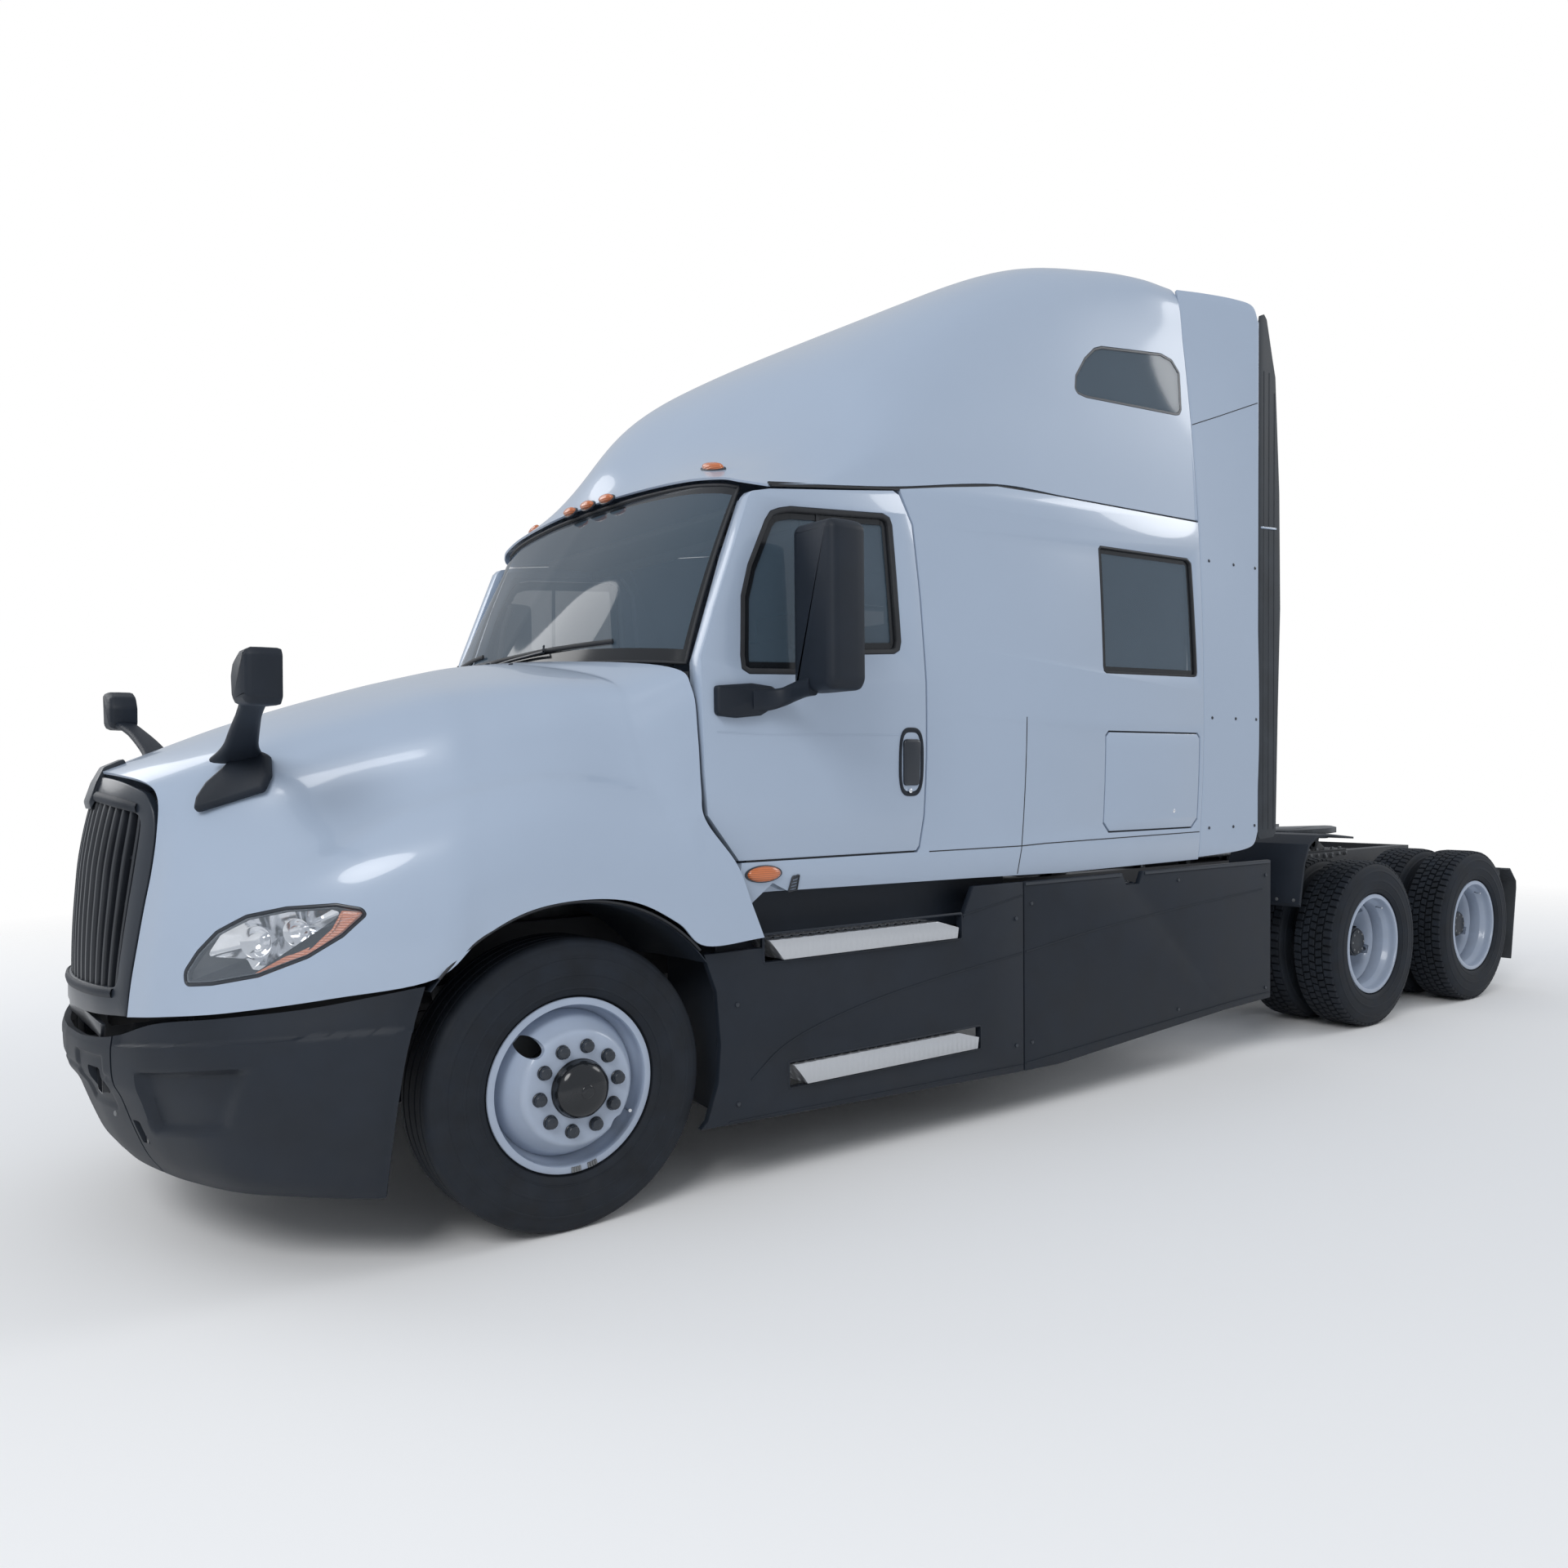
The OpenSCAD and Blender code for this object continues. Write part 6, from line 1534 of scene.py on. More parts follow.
def build_interior():
    """Seats and bunk as padded pieces, the dashboard's panels and the wheel."""
    def cushion(size, at, tilt=0.0, crown=0.16, channels=3):
        """A crowned pad with pulled-in sides and sewn channels, from a finely cut block."""
        n = 26
        w, d, h = size
        bm = bmesh.new()
        bmesh.ops.create_cube(bm, size=1.0)
        bmesh.ops.subdivide_edges(bm, edges=bm.edges, cuts=n, use_grid_fill=True)
        for v in bm.verts:
            x, y, z = v.co * 2
            r = (abs(x) ** 6 + abs(y) ** 6) ** (1 / 6)
            round_top = 1 - max(0.0, r - 0.72) ** 2 * 4.2
            lift = (1 + crown * math.cos(x * 1.4) * math.cos(y * 1.4)) * round_top
            pull = 1 - 0.05 * math.cos(x * 1.5) * math.cos(y * 1.5) * (1 - abs(z))
            side = 1 - 0.10 * z * z
            seam = 0.0
            if channels and z > 0:
                for c in range(channels):
                    cx = (c + 1) / (channels + 1) * 2 - 1
                    seam += math.exp(-((y - cx) / 0.045) ** 2) * (1 - abs(x) ** 4)
                seam += math.exp(-((abs(x) - 0.72) / 0.045) ** 2)
            v.co = Vector((x * side * pull, y * side * pull, z * lift - 0.11 * seam * (1 if z > 0.5 else 0)))
            v.co = Vector((v.co.x * w / 2, v.co.y * d / 2, v.co.z * h / 2))
        verts = [tuple(v.co) for v in bm.verts]
        faces = [tuple(v.index for v in f.verts) for f in bm.faces]
        bm.free()
        q = Matrix.Rotation(tilt, 3, "X")
        return turned((verts, faces), q, at)

    seat_parts = {"seat_cushions": [], "seat_backs": [], "seat_bolsters": []}
    for s in (-1, 1):
        x = 540 * s
        seat_parts["seat_cushions"].append(cushion((500, 500, 120), (x, 1650, 1590), tilt=-0.06))
        seat_parts["seat_backs"].append(cushion((470, 640, 120), (x, 1955, 1940),
                                                tilt=math.radians(100) - 0.12))
        seat_parts["seat_bolsters"].append(cushion((300, 180, 90), (x, 2045, 2318), tilt=math.radians(92),
                                                    channels=0))
    for name, parts in seat_parts.items():
        o = piece(name, joined(*parts), FABRIC, "chassis", sharp=80)
        if name == "seat_cushions":
            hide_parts("seats")
    bases = []
    for s in (-1, 1):
        x = 540 * s
        bases += [box((x - 170, 1470, 1152), (x + 170, 1900, 1200)),
                  box((x - 150, 1500, 1200), (x + 150, 1860, 1500)),
                  box((x - 200, 1440, 1500), (x + 200, 1900, 1535)),
                  box((x - 278, 1560, 1700), (x - 240, 1900, 1740)),
                  box((x + 240, 1560, 1700), (x + 278, 1900, 1740)),
                  box((x - 276, 1860, 1560), (x - 246, 1910, 1720)),
                  box((x + 246, 1860, 1560), (x + 276, 1910, 1720))]
    piece("seat_frames", joined(*bases), INTERIOR, "chassis", bevel=8, seg=3)
    w = 1050
    mattress = cushion((2 * w - 40, 840, 150), (0, 2945, 1885), channels=5, crown=0.08)
    o = piece("bunk_mattress", mattress, LINEN, "chassis", sharp=80)
    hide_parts("bunk")
    board = joined(box((-w, 2480, 1782), (w, 3388, 1800)), box((-w, 2480, 1152), (w, 2512, 1782)))
    piece("bunk_board", board, INTERIOR, "chassis", bevel=6)
    pillow = joined(cushion((420, 300, 110), (760, 3060, 1935), channels=0, crown=0.5),
                    cushion((420, 300, 110), (-760, 3060, 1935), channels=0, crown=0.5))
    o = piece("bunk_pillows", pillow, LINEN, "chassis", sharp=80)
    refined("dashboard", bevel=14, seg=4)
    hood_v = prism(rounded([(700, 1868, 10), (905, 1840, 20), (915, 1862, 14), (720, 1902, 14)], 12, 4), 300,
                   720, "x")
    piece("gauge_hood", hood_v, INTERIOR, "chassis", bevel=6)
    dials = []
    faces = []
    nrm = Vector((0, 0.82, 0.57)).normalized()
    for (x, r) in ((380, 34), (455, 52), (560, 52), (640, 34)):
        at = (x, 912, 1794)
        dials.append(disc(at, nrm, r, 10, 28, dome=0.5))
        faces.append(disc((x, 912 + 9, 1794 + 6), nrm, r * 0.82, 2, 28, dome=0.5))
    piece("gauge_bezels", joined(*dials), CHROME, "chassis")
    piece("gauge_faces", joined(*faces), FRIT, "chassis")
    vents = []
    for x in (-800, -320, 60, 200, 860):
        for k in range(5):
            vents.append(box((x - 60, 930 + k * 1.5, 1690 + k * 14), (x + 60, 968 - k * 2, 1694 + k * 14)))
    piece("dash_vents", joined(*vents), PLASTIC, "chassis", bevel=1)
    c = Vector((500, 1060, 1740))
    q = Matrix.Rotation(math.radians(-55), 3, "X")
    rim = [(214 * math.cos(a), 214 * math.sin(a), 0) for a in np.linspace(0, 2 * math.pi, 64, endpoint=False)]
    wheel = [tube(rim, 15, 14, closed=True)]
    for a in (math.pi / 2, math.pi * 7 / 6, math.pi * 11 / 6):
        wheel.append(tube([(40 * math.cos(a), 40 * math.sin(a), 4), (120 * math.cos(a), 120 * math.sin(a), 8),
                           (206 * math.cos(a), 206 * math.sin(a), 0)], [24, 15, 13], 12, squash_z=0.5))
    wheel.append(lathe([(-16, 0.1), (-16, 56), (4, 60), (12, 48), (14, 0.1)], 36, "z"))
    wheel.append(lathe([(-96, 0.1), (-96, 26), (-16, 22), (-16, 0.1)], 20, "z"))
    part = turned(joined(*wheel), q, c)
    o = piece("steering_wheel_rim", part, INTERIOR, "chassis", sharp=50)
    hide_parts("steering_wheel")
    # grab handles and overhead shelf
    grabs = []
    for s in (-1, 1):
        grabs.append(tube([(s * 1060, 700, 2080), (s * 1040, 690, 2100), (s * 1036, 720, 2300),
                           (s * 1044, 760, 2400), (s * 1060, 766, 2412)], 13, 10))
    piece("grab_handles", joined(*grabs), INTERIOR, "chassis", sharp=50)
    shelf = joined(box((-900, 900, 2600), (900, 1150, 2630)), box((-900, 1140, 2560), (900, 1160, 2700)))
    piece("overhead_shelf", shelf, INTERIOR, "chassis", bevel=8)


build_cab_panels()
build_windows()
build_door_details()
build_mirrors()
build_side_details()
build_extenders()
build_skirts()
build_interior()

# ---- wheels ----

FRONT_X, REAR_X, AXLE_Z = 1020.0, 916.0, 500.0
DRIVE_Y = {"front": 5190.0, "rear": 6510.0}

SIDEWALL = [(74, 287), (99, 287.5), (103, 291), (103.5, 302), (108, 306), (119, 308), (124, 314), (130, 326),
            (131.5, 331), (133.6, 332), (134.0, 336), (133.2, 338), (135.6, 349), (137.6, 364), (138.4, 376),
            (139.8, 378), (139.9, 384), (138.8, 386), (139.0, 399), (138.6, 414), (137.2, 428), (136.4, 434),
            (137.6, 436), (137.2, 441), (135.4, 443), (132.6, 453), (128.2, 466)]
LINER = [(90, 483), (112, 468), (125, 432), (127, 399), (119, 345), (100, 316), (76, 300)]


def groove(x, w=11, deep=14):
    return [(x + w / 2 + 0.8, 499.9), (x + w / 2, 499.0), (x + w / 2 - 1.6, 500 - deep + 1.5),
            (x + w / 2 - 3, 500 - deep), (x - w / 2 + 3, 500 - deep), (x - w / 2 + 1.6, 500 - deep + 1.5),
            (x - w / 2, 499.0), (x - w / 2 - 0.8, 499.9)]


def steer_profile():
    half = SIDEWALL + [(124.5, 474), (121.5, 478), (121.0, 481), (118, 486), (112, 492), (104, 496.6),
                       (95, 499.4)]
    half += groove(74) + [(50, 500)] + groove(26) + [(4, 500)]
    whole = half + [(-x, r) for x, r in reversed(half)]
    inner = LINER + [(-x, r) for x, r in reversed(LINER)]
    return whole + [(-x, r) for x, r in inner]


def drive_profile():
    half = SIDEWALL + [(124, 473), (121, 477.5), (117, 481), (111, 483), (60, 484)]
    whole = half + [(-x, r) for x, r in reversed(half)]
    inner = LINER + [(-x, r) for x, r in reversed(LINER)]
    return whole + [(-x, r) for x, r in inner]


def tread_blocks(rows, count):
    """Blocks with chamfered tops; each row is (inner x, outer x, share of a pitch shifted, skew in mm)."""
    v, f = [], []
    pitch = 2 * math.pi / count
    for x0, x1, shift, skew in rows:
        for k in range(count):
            a0 = (k + shift) * pitch
            a1 = a0 + pitch * 0.80
            o = len(v)
            for r, d in ((481.5, -1.0), (496.5, 0.0), (500.0, 3.2)):
                for (x, a, sx_, sa) in ((x0, a0, 1, 1), (x1, a0, -1, 1), (x1, a1, -1, -1), (x0, a1, 1, -1)):
                    xx = x + sx_ * d
                    aa = a + sa * d / 500 + (skew * (1 if x == x1 else -1)) / 1000
                    drop = max(0.0, abs(xx) - 96) * 0.30 if r > 490 else 0.0
                    v.append((xx, -(r - drop) * math.sin(aa), (r - drop) * math.cos(aa)))
            f.append((o + 8, o + 9, o + 10, o + 11))
            for lev in (0, 4):
                for q in range(4):
                    q2 = (q + 1) % 4
                    f.append((o + lev + q, o + lev + q2, o + lev + 4 + q2, o + lev + 4 + q))
            f.append((o + 3, o + 2, o + 1, o))
    return v, f


BLOCK_ROWS = [(70, 117, 0.0, 4), (24, 62, 0.5, -7), (-17, 17, 0.15, 6), (-62, -24, 0.6, -7),
              (-117, -70, 0.1, 4)]


BARREL = [(-118, 276), (-119, 290), (-116, 298.5), (-111, 300), (-107, 297), (-105, 288), (-76, 286),
          (-60, 279), (-42, 265), (44, 265), (62, 279), (76, 286), (105, 288), (107, 297), (111, 300),
          (116, 298.5),
            (119, 290), (118, 276), (113, 273.5), (98, 273), (80, 273), (64, 267), (46, 254), (40, 252.4),
            (-40, 252.4), (-62, 266), (-78, 273), (-98, 273)]
DISC = [(166, 99), (166, 150), (166, 176), (165.2, 184), (162.5, 190.5), (156, 197.5), (146, 203.5),
        (130, 213), (112, 223), (90, 234), (68, 243.5), (52, 250), (46, 253), (32, 253), (24, 249), (34, 238),
        (52, 228), (80, 216), (104, 206), (126, 195), (142, 187), (151, 180), (154, 172), (154, 99)]


def wheel_disc(name, s, x, holes, radius, body, place):
    profile = [(s * d + x, r) for d, r in DISC]
    o = piece(name, place(lathe(profile, n=120, axis="x", closed=True)), WHEEL, body, sharp=50)
    cutters = []
    for a in holes:
        t = math.radians(a)
        c = lathe([(x + s * 40, 0.01), (x + s * 40, radius), (x + s * 190, radius), (x + s * 190, 0.01)],
                  n=40)
        cutters.append(place(moved(c, (0, -216 * math.sin(t), 216 * math.cos(t)))))
    cut(o, cutters)
    return o


def round_pattern(make, n, r, phase=0.0):
    parts = []
    for k in range(n):
        a = 2 * math.pi * (k + phase) / n
        parts.append(make(-r * math.sin(a), r * math.cos(a), a))
    return joined(*parts)


def wheel_nut(x, y, z, h=24):
    base = lathe([(x - 1, 0.5), (x - 1, 24.5), (x + 4, 24.5), (x + 6, 22)], n=24)
    hexagon = lathe([(x + 5, 21), (x + h - 6, 21), (x + h - 2, 18.5), (x + h, 12), (x + h + 2, 0.5)], n=12)
    return moved(joined(base, hexagon), (0, y, z))


def build_front_wheel(side):
    s = 1 if side == "left" else -1
    body = side + "_front_wheel"

    def place(part):
        p = moved(part, (FRONT_X, 0, AXLE_Z))
        return p if s > 0 else mirrored(p)

    tyre = piece("front_tyre_%s_shape" % side, place(lathe(steer_profile(), n=180, closed=True)), RUBBER,
                 body, sharp=28)
    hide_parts("front_tyre_" + side)
    rim = piece("front_rim_%s_barrel" % side, place(lathe(BARREL, n=144, closed=True)), WHEEL, body, sharp=50)
    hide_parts("front_rim_" + side)
    wheel_disc("front_rim_%s_disc" % side, 1, 0, (45, 225), 34, body, place)
    hub = lathe([(-38, 60), (-38, 108), (-30, 112), (60, 112), (120, 108), (152, 104), (160, 99), (160, 60)],
                n=72, closed=True)
    drum = lathe([(-30, 100), (-30, 206), (-36, 210), (-60, 211), (-62, 214), (-74, 214), (-76, 211),
                  (-104, 212), (-106, 216), (-119, 216), (-120, 200), (-46, 196), (-44, 100)], n=96,
                 closed=True)
    piece("front_hub_and_drum_" + side, place(joined(hub, drum)), STEEL, body, sharp=40)
    cap = lathe([(164, 60), (164, 100), (170, 101), (173, 98.5), (175, 97.5), (188, 97), (200, 93), (211, 85),
                 (220, 72), (226.5, 54), (230.5, 32), (231.5, 23), (234, 22), (235.5, 18), (236, 8),
                 (236, 0.5)],
                n=96)
    piece("front_hub_cap_" + side, place(cap), FRIT, body, sharp=50)
    nuts = round_pattern(lambda y, z, a: wheel_nut(166, y, z, 25), 10, 142.9, 0.667)
    piece("front_wheel_nuts_" + side, place(nuts), SATIN, body, bevel=1.2, sharp=35)
    valve = tube([(60, 0, -262), (84, 0, -262), (100, 0, -256), (116, 0, -248)], 4.2, n=10)
    valve_cap = tube([(112, 0, -250), (126, 0, -244)], 6, n=12)
    valve = turned(joined(valve, valve_cap), Matrix.Rotation(math.radians(60), 3, "X"))
    piece("front_tyre_valve_" + side, place(valve), CHROME, body)
    weights = []
    for d in (-6, 6):
        for k in range(4):
            t0 = math.radians(184 + d + k * 1.8)
            t1 = t0 + math.radians(1.6)
            v = []
            for x in (108, 123):
                for r in (278, 297):
                    for t in (t0, t1):
                        v.append((x, -r * math.sin(t), r * math.cos(t)))
            weights.append((v, [(0, 1, 3, 2), (4, 6, 7, 5), (0, 4, 5, 1), (2, 3, 7, 6), (0, 2, 6, 4),
                                (1, 5, 7, 3)]))
    piece("front_balance_weights_" + side, place(joined(*weights)), STEEL, body, bevel=2)


def build_drive_wheel(side, row):
    s = 1 if side == "left" else -1
    body = "%s_%s_drive_wheels" % (side, row)

    def place(part):
        p = moved(part, (REAR_X, DRIVE_Y[row], AXLE_Z))
        return p if s > 0 else mirrored(p)

    tag = "%s_%s" % (row, side)
    casing = lathe(drive_profile(), n=128, closed=True)
    blocks = tread_blocks(BLOCK_ROWS, 66)
    one = joined(casing, blocks)
    tyre = piece("drive_tyres_%s_shape" % tag, place(joined(moved(one, (171, 0, 0)),
                                                            moved(one, (-171, 0, 0)))),
                 RUBBER, body, sharp=30)
    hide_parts("drive_tyres_" + tag)
    rims = joined(lathe([(d + 171, r) for d, r in BARREL], n=120, closed=True),
                  lathe([(d - 171, r) for d, r in BARREL], n=96, closed=True))
    rim = piece("drive_rims_%s_barrels" % tag, place(rims), WHEEL, body, sharp=50)
    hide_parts("drive_rims_" + tag)
    holes = [36 + 72 * k for k in range(5)]
    wheel_disc("drive_rims_%s_outer_disc" % tag, -1, 171, holes, 30, body, place)
    wheel_disc("drive_rims_%s_inner_disc" % tag, 1, -171, holes, 30, body, place)
    hub = lathe([(-189, 62), (-190, 112), (-184, 118), (0, 118), (2, 99), (18, 99), (20, 116), (34, 116),
                 (60, 112), (80, 104), (90, 98), (94, 90), (100, 84.5), (126, 83), (150, 82), (156, 84),
                 (160, 86), (170, 86), (174, 84), (176, 78), (186, 76), (190, 70), (190, 0.5)], n=72)
    drum = lathe([(-150, 110), (-150, 201), (-156, 205), (-196, 206), (-198, 210), (-216, 210), (-218, 206),
                  (-296, 208), (-298, 212), (-330, 212), (-330, 195), (-166, 191), (-166, 110)], n=96,
                 closed=True)
    ribs = round_pattern(lambda y, z, a: turned(box((92, -5, 80), (154, 5, 98)), Matrix.Rotation(a, 3, "X")),
                         8, 0.0, 0.5)
    piece("drive_hub_and_drums_" + tag, place(joined(hub, drum, ribs)), GREASE, body, sharp=40)
    bolts = round_pattern(lambda y, z, a: hexbolt((176, y, z), (1, 0, 0), 8.5, 16), 8, 62)
    studs = round_pattern(lambda y, z, a: hexbolt((160, y, z), (1, 0, 0), 6, 9), 8, 78, 0.5)
    piece("drive_hub_bolts_" + tag, place(joined(bolts, studs)), STEEL, body)
    nuts = round_pattern(lambda y, z, a: wheel_nut(17, y, z, 24), 10, 142.9)
    stud = round_pattern(lambda y, z, a: moved(lathe([(30, 10.5), (50, 10.5), (52, 9), (52, 0.5)], n=12),
                                               (0, y, z)),
                         10, 142.9)
    piece("drive_wheel_nuts_" + tag, place(joined(nuts, stud)), SATIN, body, bevel=1.2, sharp=35)
    valve = tube([(150, 0, 262), (190, 0, 262), (230, 0, 256), (262, 0, 250)], 4.2, n=10)
    piece("drive_tyre_valve_" + tag, place(turned(valve, Matrix.Rotation(math.radians(-36), 3, "X"))), CHROME,
          body)


for wheel_side in ("left", "right"):
    build_front_wheel(wheel_side)
    for wheel_row in ("front", "rear"):
        build_drive_wheel(wheel_side, wheel_row)

# ---- chassis, engine and rear ----


def hexrow(points, axis, r=11, h=12):
    return joined(*[hexbolt(p, axis, r, h) for p in points])


def build_frame():
    refined("frame", bevel=4, flat=1.0)
    bolts = []
    for y in (-900, 2100, 3300, 4300, 5850, 7050):
        for dy in (-40, 0, 40):
            for z in (800, 880):
                bolts.append((432, y + dy, z))
    for y in (4680, 6000):
        for dy in (-40, 40):
            bolts.append((432, y + dy, 955))
    for y in range(5500, 6250, 90):
        bolts.append((432, y, 968))
    piece("frame_rail_bolts", both(hexrow(bolts, (1, 0, 0))), STEEL, "chassis")
    lines = []
    for k, z in enumerate((900, 924, 948)):
        lines.append(tube([(414 - 3 * k, y, z + 4 * math.sin(y / 400 + k)) for y in range(-300, 4300, 100)],
                          7, n=8))
    piece("air_and_cable_lines", joined(*lines), SEAL, "chassis")


def build_front_suspension():
    refined("front_axle", bevel=8, sharp=40)
    refined("knuckle_left", bevel=5)
    refined("knuckle_right", bevel=5)
    refined("front_springs", bevel=4)
    parts = []
    for dy in (-75, 75):
        path = [(345, dy, 380), (345, dy, 610), (352, dy, 622), (380, dy, 626), (410, dy, 626),
                (424, dy, 618), (430, dy, 606), (430, dy, 380)]
        parts.append(tube(path, 9, n=10))
    parts.append(box((336, -100, 596), (440, 100, 610)))
    piece("front_spring_u_bolts", both(joined(*parts)), STEEL, "chassis")
    damper = joined(tube([(520, -110, 400), (505, -150, 560)], 34, n=20),
                    tube([(505, -150, 556), (486, -200, 790)], 42, n=20),
                    box((436, -215, 770), (500, -175, 810)))
    piece("front_dampers", both(damper), CHASSIS, "chassis", sharp=50)
    links = []
    for y in (-720, 720):
        links.append(tube([(340, y, 700), (432, y, 700)], 16, n=14))
    piece("front_spring_pins", both(joined(*links)), STEEL, "chassis")


def build_engine():
    refined("engine_block", bevel=14)
    refined("driveshaft", bevel=3)
    refined("radiator", bevel=6)
    cover = prism(rounded([(-150, 1556), (150, 1556), (150, 1640), (110, 1672), (-110, 1672), (-150, 1640)],
                          18), -640,
                  360, "y")
    piece("rocker_cover", cover, SATIN, "chassis", bevel=6)
    ribs = [box((-120, y, 1668), (120, y + 10, 1678)) for y in range(-560, 320, 90)]
    bolts = [disc((x, y, 1556), (0, 0, 1), 11, 14) for x in (-168, 168) for y in range(-600, 400, 120)]
    piece("rocker_cover_ribs", joined(*ribs), SATIN, "chassis", bevel=2)
    piece("rocker_cover_bolts", joined(*bolts), STEEL, "chassis")
    ports = []
    for k in range(6):
        y = -560 + k * 160
        ports.append(tube([(318, y, 1420), (380, y, 1424), (400, y + 10, 1420)], 26, n=14))
    log = tube([(400, -600, 1420), (400, 300, 1420)], 38, n=18)
    turbo = joined(lathe([(-70, 40), (-70, 96), (-40, 118), (10, 118), (40, 96), (40, 40)], n=32, axis="y",
                         at=(402, -60, 1310), closed=True),
                   lathe([(60, 40), (60, 84), (84, 104), (120, 104), (140, 84), (140, 40)], n=32, axis="y",
                         at=(402, -60, 1310), closed=True))
    piece("exhaust_manifold_and_turbo", joined(*ports, log, turbo), GREASE, "chassis", sharp=45)
    intake = tube([(-400, -600, 1300), (-400, 300, 1300), (-400, 360, 1300)], 46, n=18)
    legs = [tube([(-318, y, 1300), (-400, y, 1300)], 24, n=12) for y in range(-540, 300, 160)]
    piece("intake_manifold", joined(intake, *legs), ALLOY, "chassis", sharp=45)
    cooler = tube([(402, 90, 1310), (430, 60, 1420), (470, -200, 1560), (450, -560, 1600), (420, -800, 1480),
                   (400, -836, 1380)], 42, n=16)
    piece("charge_air_pipe", cooler, SEAL, "chassis", sharp=50)
    hose = tube([(-260, -838, 1440), (-262, -790, 1450), (-240, -740, 1470), (-200, -716, 1480)], 28, n=14)
    low = tube([(260, -838, 1080), (264, -790, 1070), (240, -740, 1050), (200, -716, 1040)], 28, n=14)
    piece("coolant_hoses", joined(hose, low), SEAL, "chassis", sharp=50)
    filt = lathe([(-230, 20), (-230, 120), (-220, 140), (-150, 142), (-148, 146), (-136, 146), (-134, 142),
                  (200, 142), (220, 130), (230, 60), (230, 20)], n=40, axis="y", at=(-520, 160, 1500))
    piece("air_cleaner", filt, PLASTIC, "chassis", sharp=45)
    blades = []
    for k in range(9):
        a = 2 * math.pi * k / 9
        b = box((-34, -6, 70), (34, 6, 320))
        b = turned(b, Matrix.Rotation(math.radians(28), 3, "Z"))
        blades.append(turned(b, Matrix.Rotation(a, 3, "Y"), (0, -772, 1240)))
    fan_hub = lathe([(-26, 20), (-26, 84), (-20, 90), (16, 90), (24, 80), (26, 20)], n=32, axis="y",
                    at=(0, -772, 1240), closed=True)
    piece("cooling_fan", joined(fan_hub, *blades), PLASTIC, "chassis", bevel=2)
    shroud = lathe([(-836, 420), (-820, 352), (-760, 344), (-740, 350), (-742, 354), (-758, 350), (-816, 358),
                    (-832, 424)], n=72, axis="y", at=(0, 0, 1240), closed=True)
    v = [(max(-416, min(416, x)), y, max(1000, min(1494, z))) for x, y, z in shroud[0]]
    piece("fan_shroud", (v, shroud[1]), PLASTIC, "chassis", sharp=50)
    fins = [box((-404, -964, z), (404, -957, z + 6)) for z in range(1040, 1470, 16)]
    tubes = [box((x, -963, 1030), (x + 5, -958, 1474)) for x in range(-396, 400, 33)]
    piece("radiator_fins", joined(*fins, *tubes), ALLOY, "chassis")
    tanks = joined(box((-416, -968, 1472), (416, -836, 1506)), box((-416, -968, 998), (416, -836, 1030)))
    piece("radiator_tanks", tanks, PLASTIC, "chassis", bevel=8)
    pulleys = joined(lathe([(-744, 20), (-744, 92), (-738, 96), (-734, 84), (-728, 96), (-722, 84),
                            (-716, 92), (-716, 20)], n=36, axis="y", at=(0, 0, 980), closed=True),
                     lathe([(-744, 12), (-744, 52), (-738, 56), (-730, 48), (-722, 56), (-716, 52),
                            (-716, 12)], n=30,
                           axis="y", at=(210, 0, 1120), closed=True))
    piece("engine_pulleys", pulleys, STEEL, "chassis", sharp=35)


def build_side_boxes():
    refined("fuel_tanks", bevel=14, sharp=50)
    straps = []
    for y in (2700, 3450):
        straps.append(lathe([(y - 4, 299), (y - 4, 304), (y + 64, 304), (y + 64, 299)], n=72, axis="y",
                            at=(802, 0, 600), closed=True))
    piece("tank_straps", both(joined(*straps)), CHROME, "chassis", sharp=50)
    refined("battery_box", bevel=10)
    lid = []
    for y in range(960, 2080, 140):
        lid.append(box((954 - 6, y, 470), (954 + 5, y + 70, 860)))
    piece("battery_box_ribs", joined(*lid), CHASSIS, "chassis", bevel=3)
    refined("exhaust_box", bevel=16, sharp=50)
    shield = lathe([(960, 221), (960, 225), (2060, 225), (2060, 221)], n=48, axis="y", at=(-732, 0, 660),
                   closed=True)
    pipe = tube([(-732, 2118, 660), (-732, 2200, 660), (-700, 2290, 640), (-600, 2330, 620)], 62, n=20)
    piece("exhaust_heat_shield", shield, STEEL, "chassis", sharp=50)
    piece("exhaust_outlet_pipe", pipe, STEEL, "chassis", sharp=50)


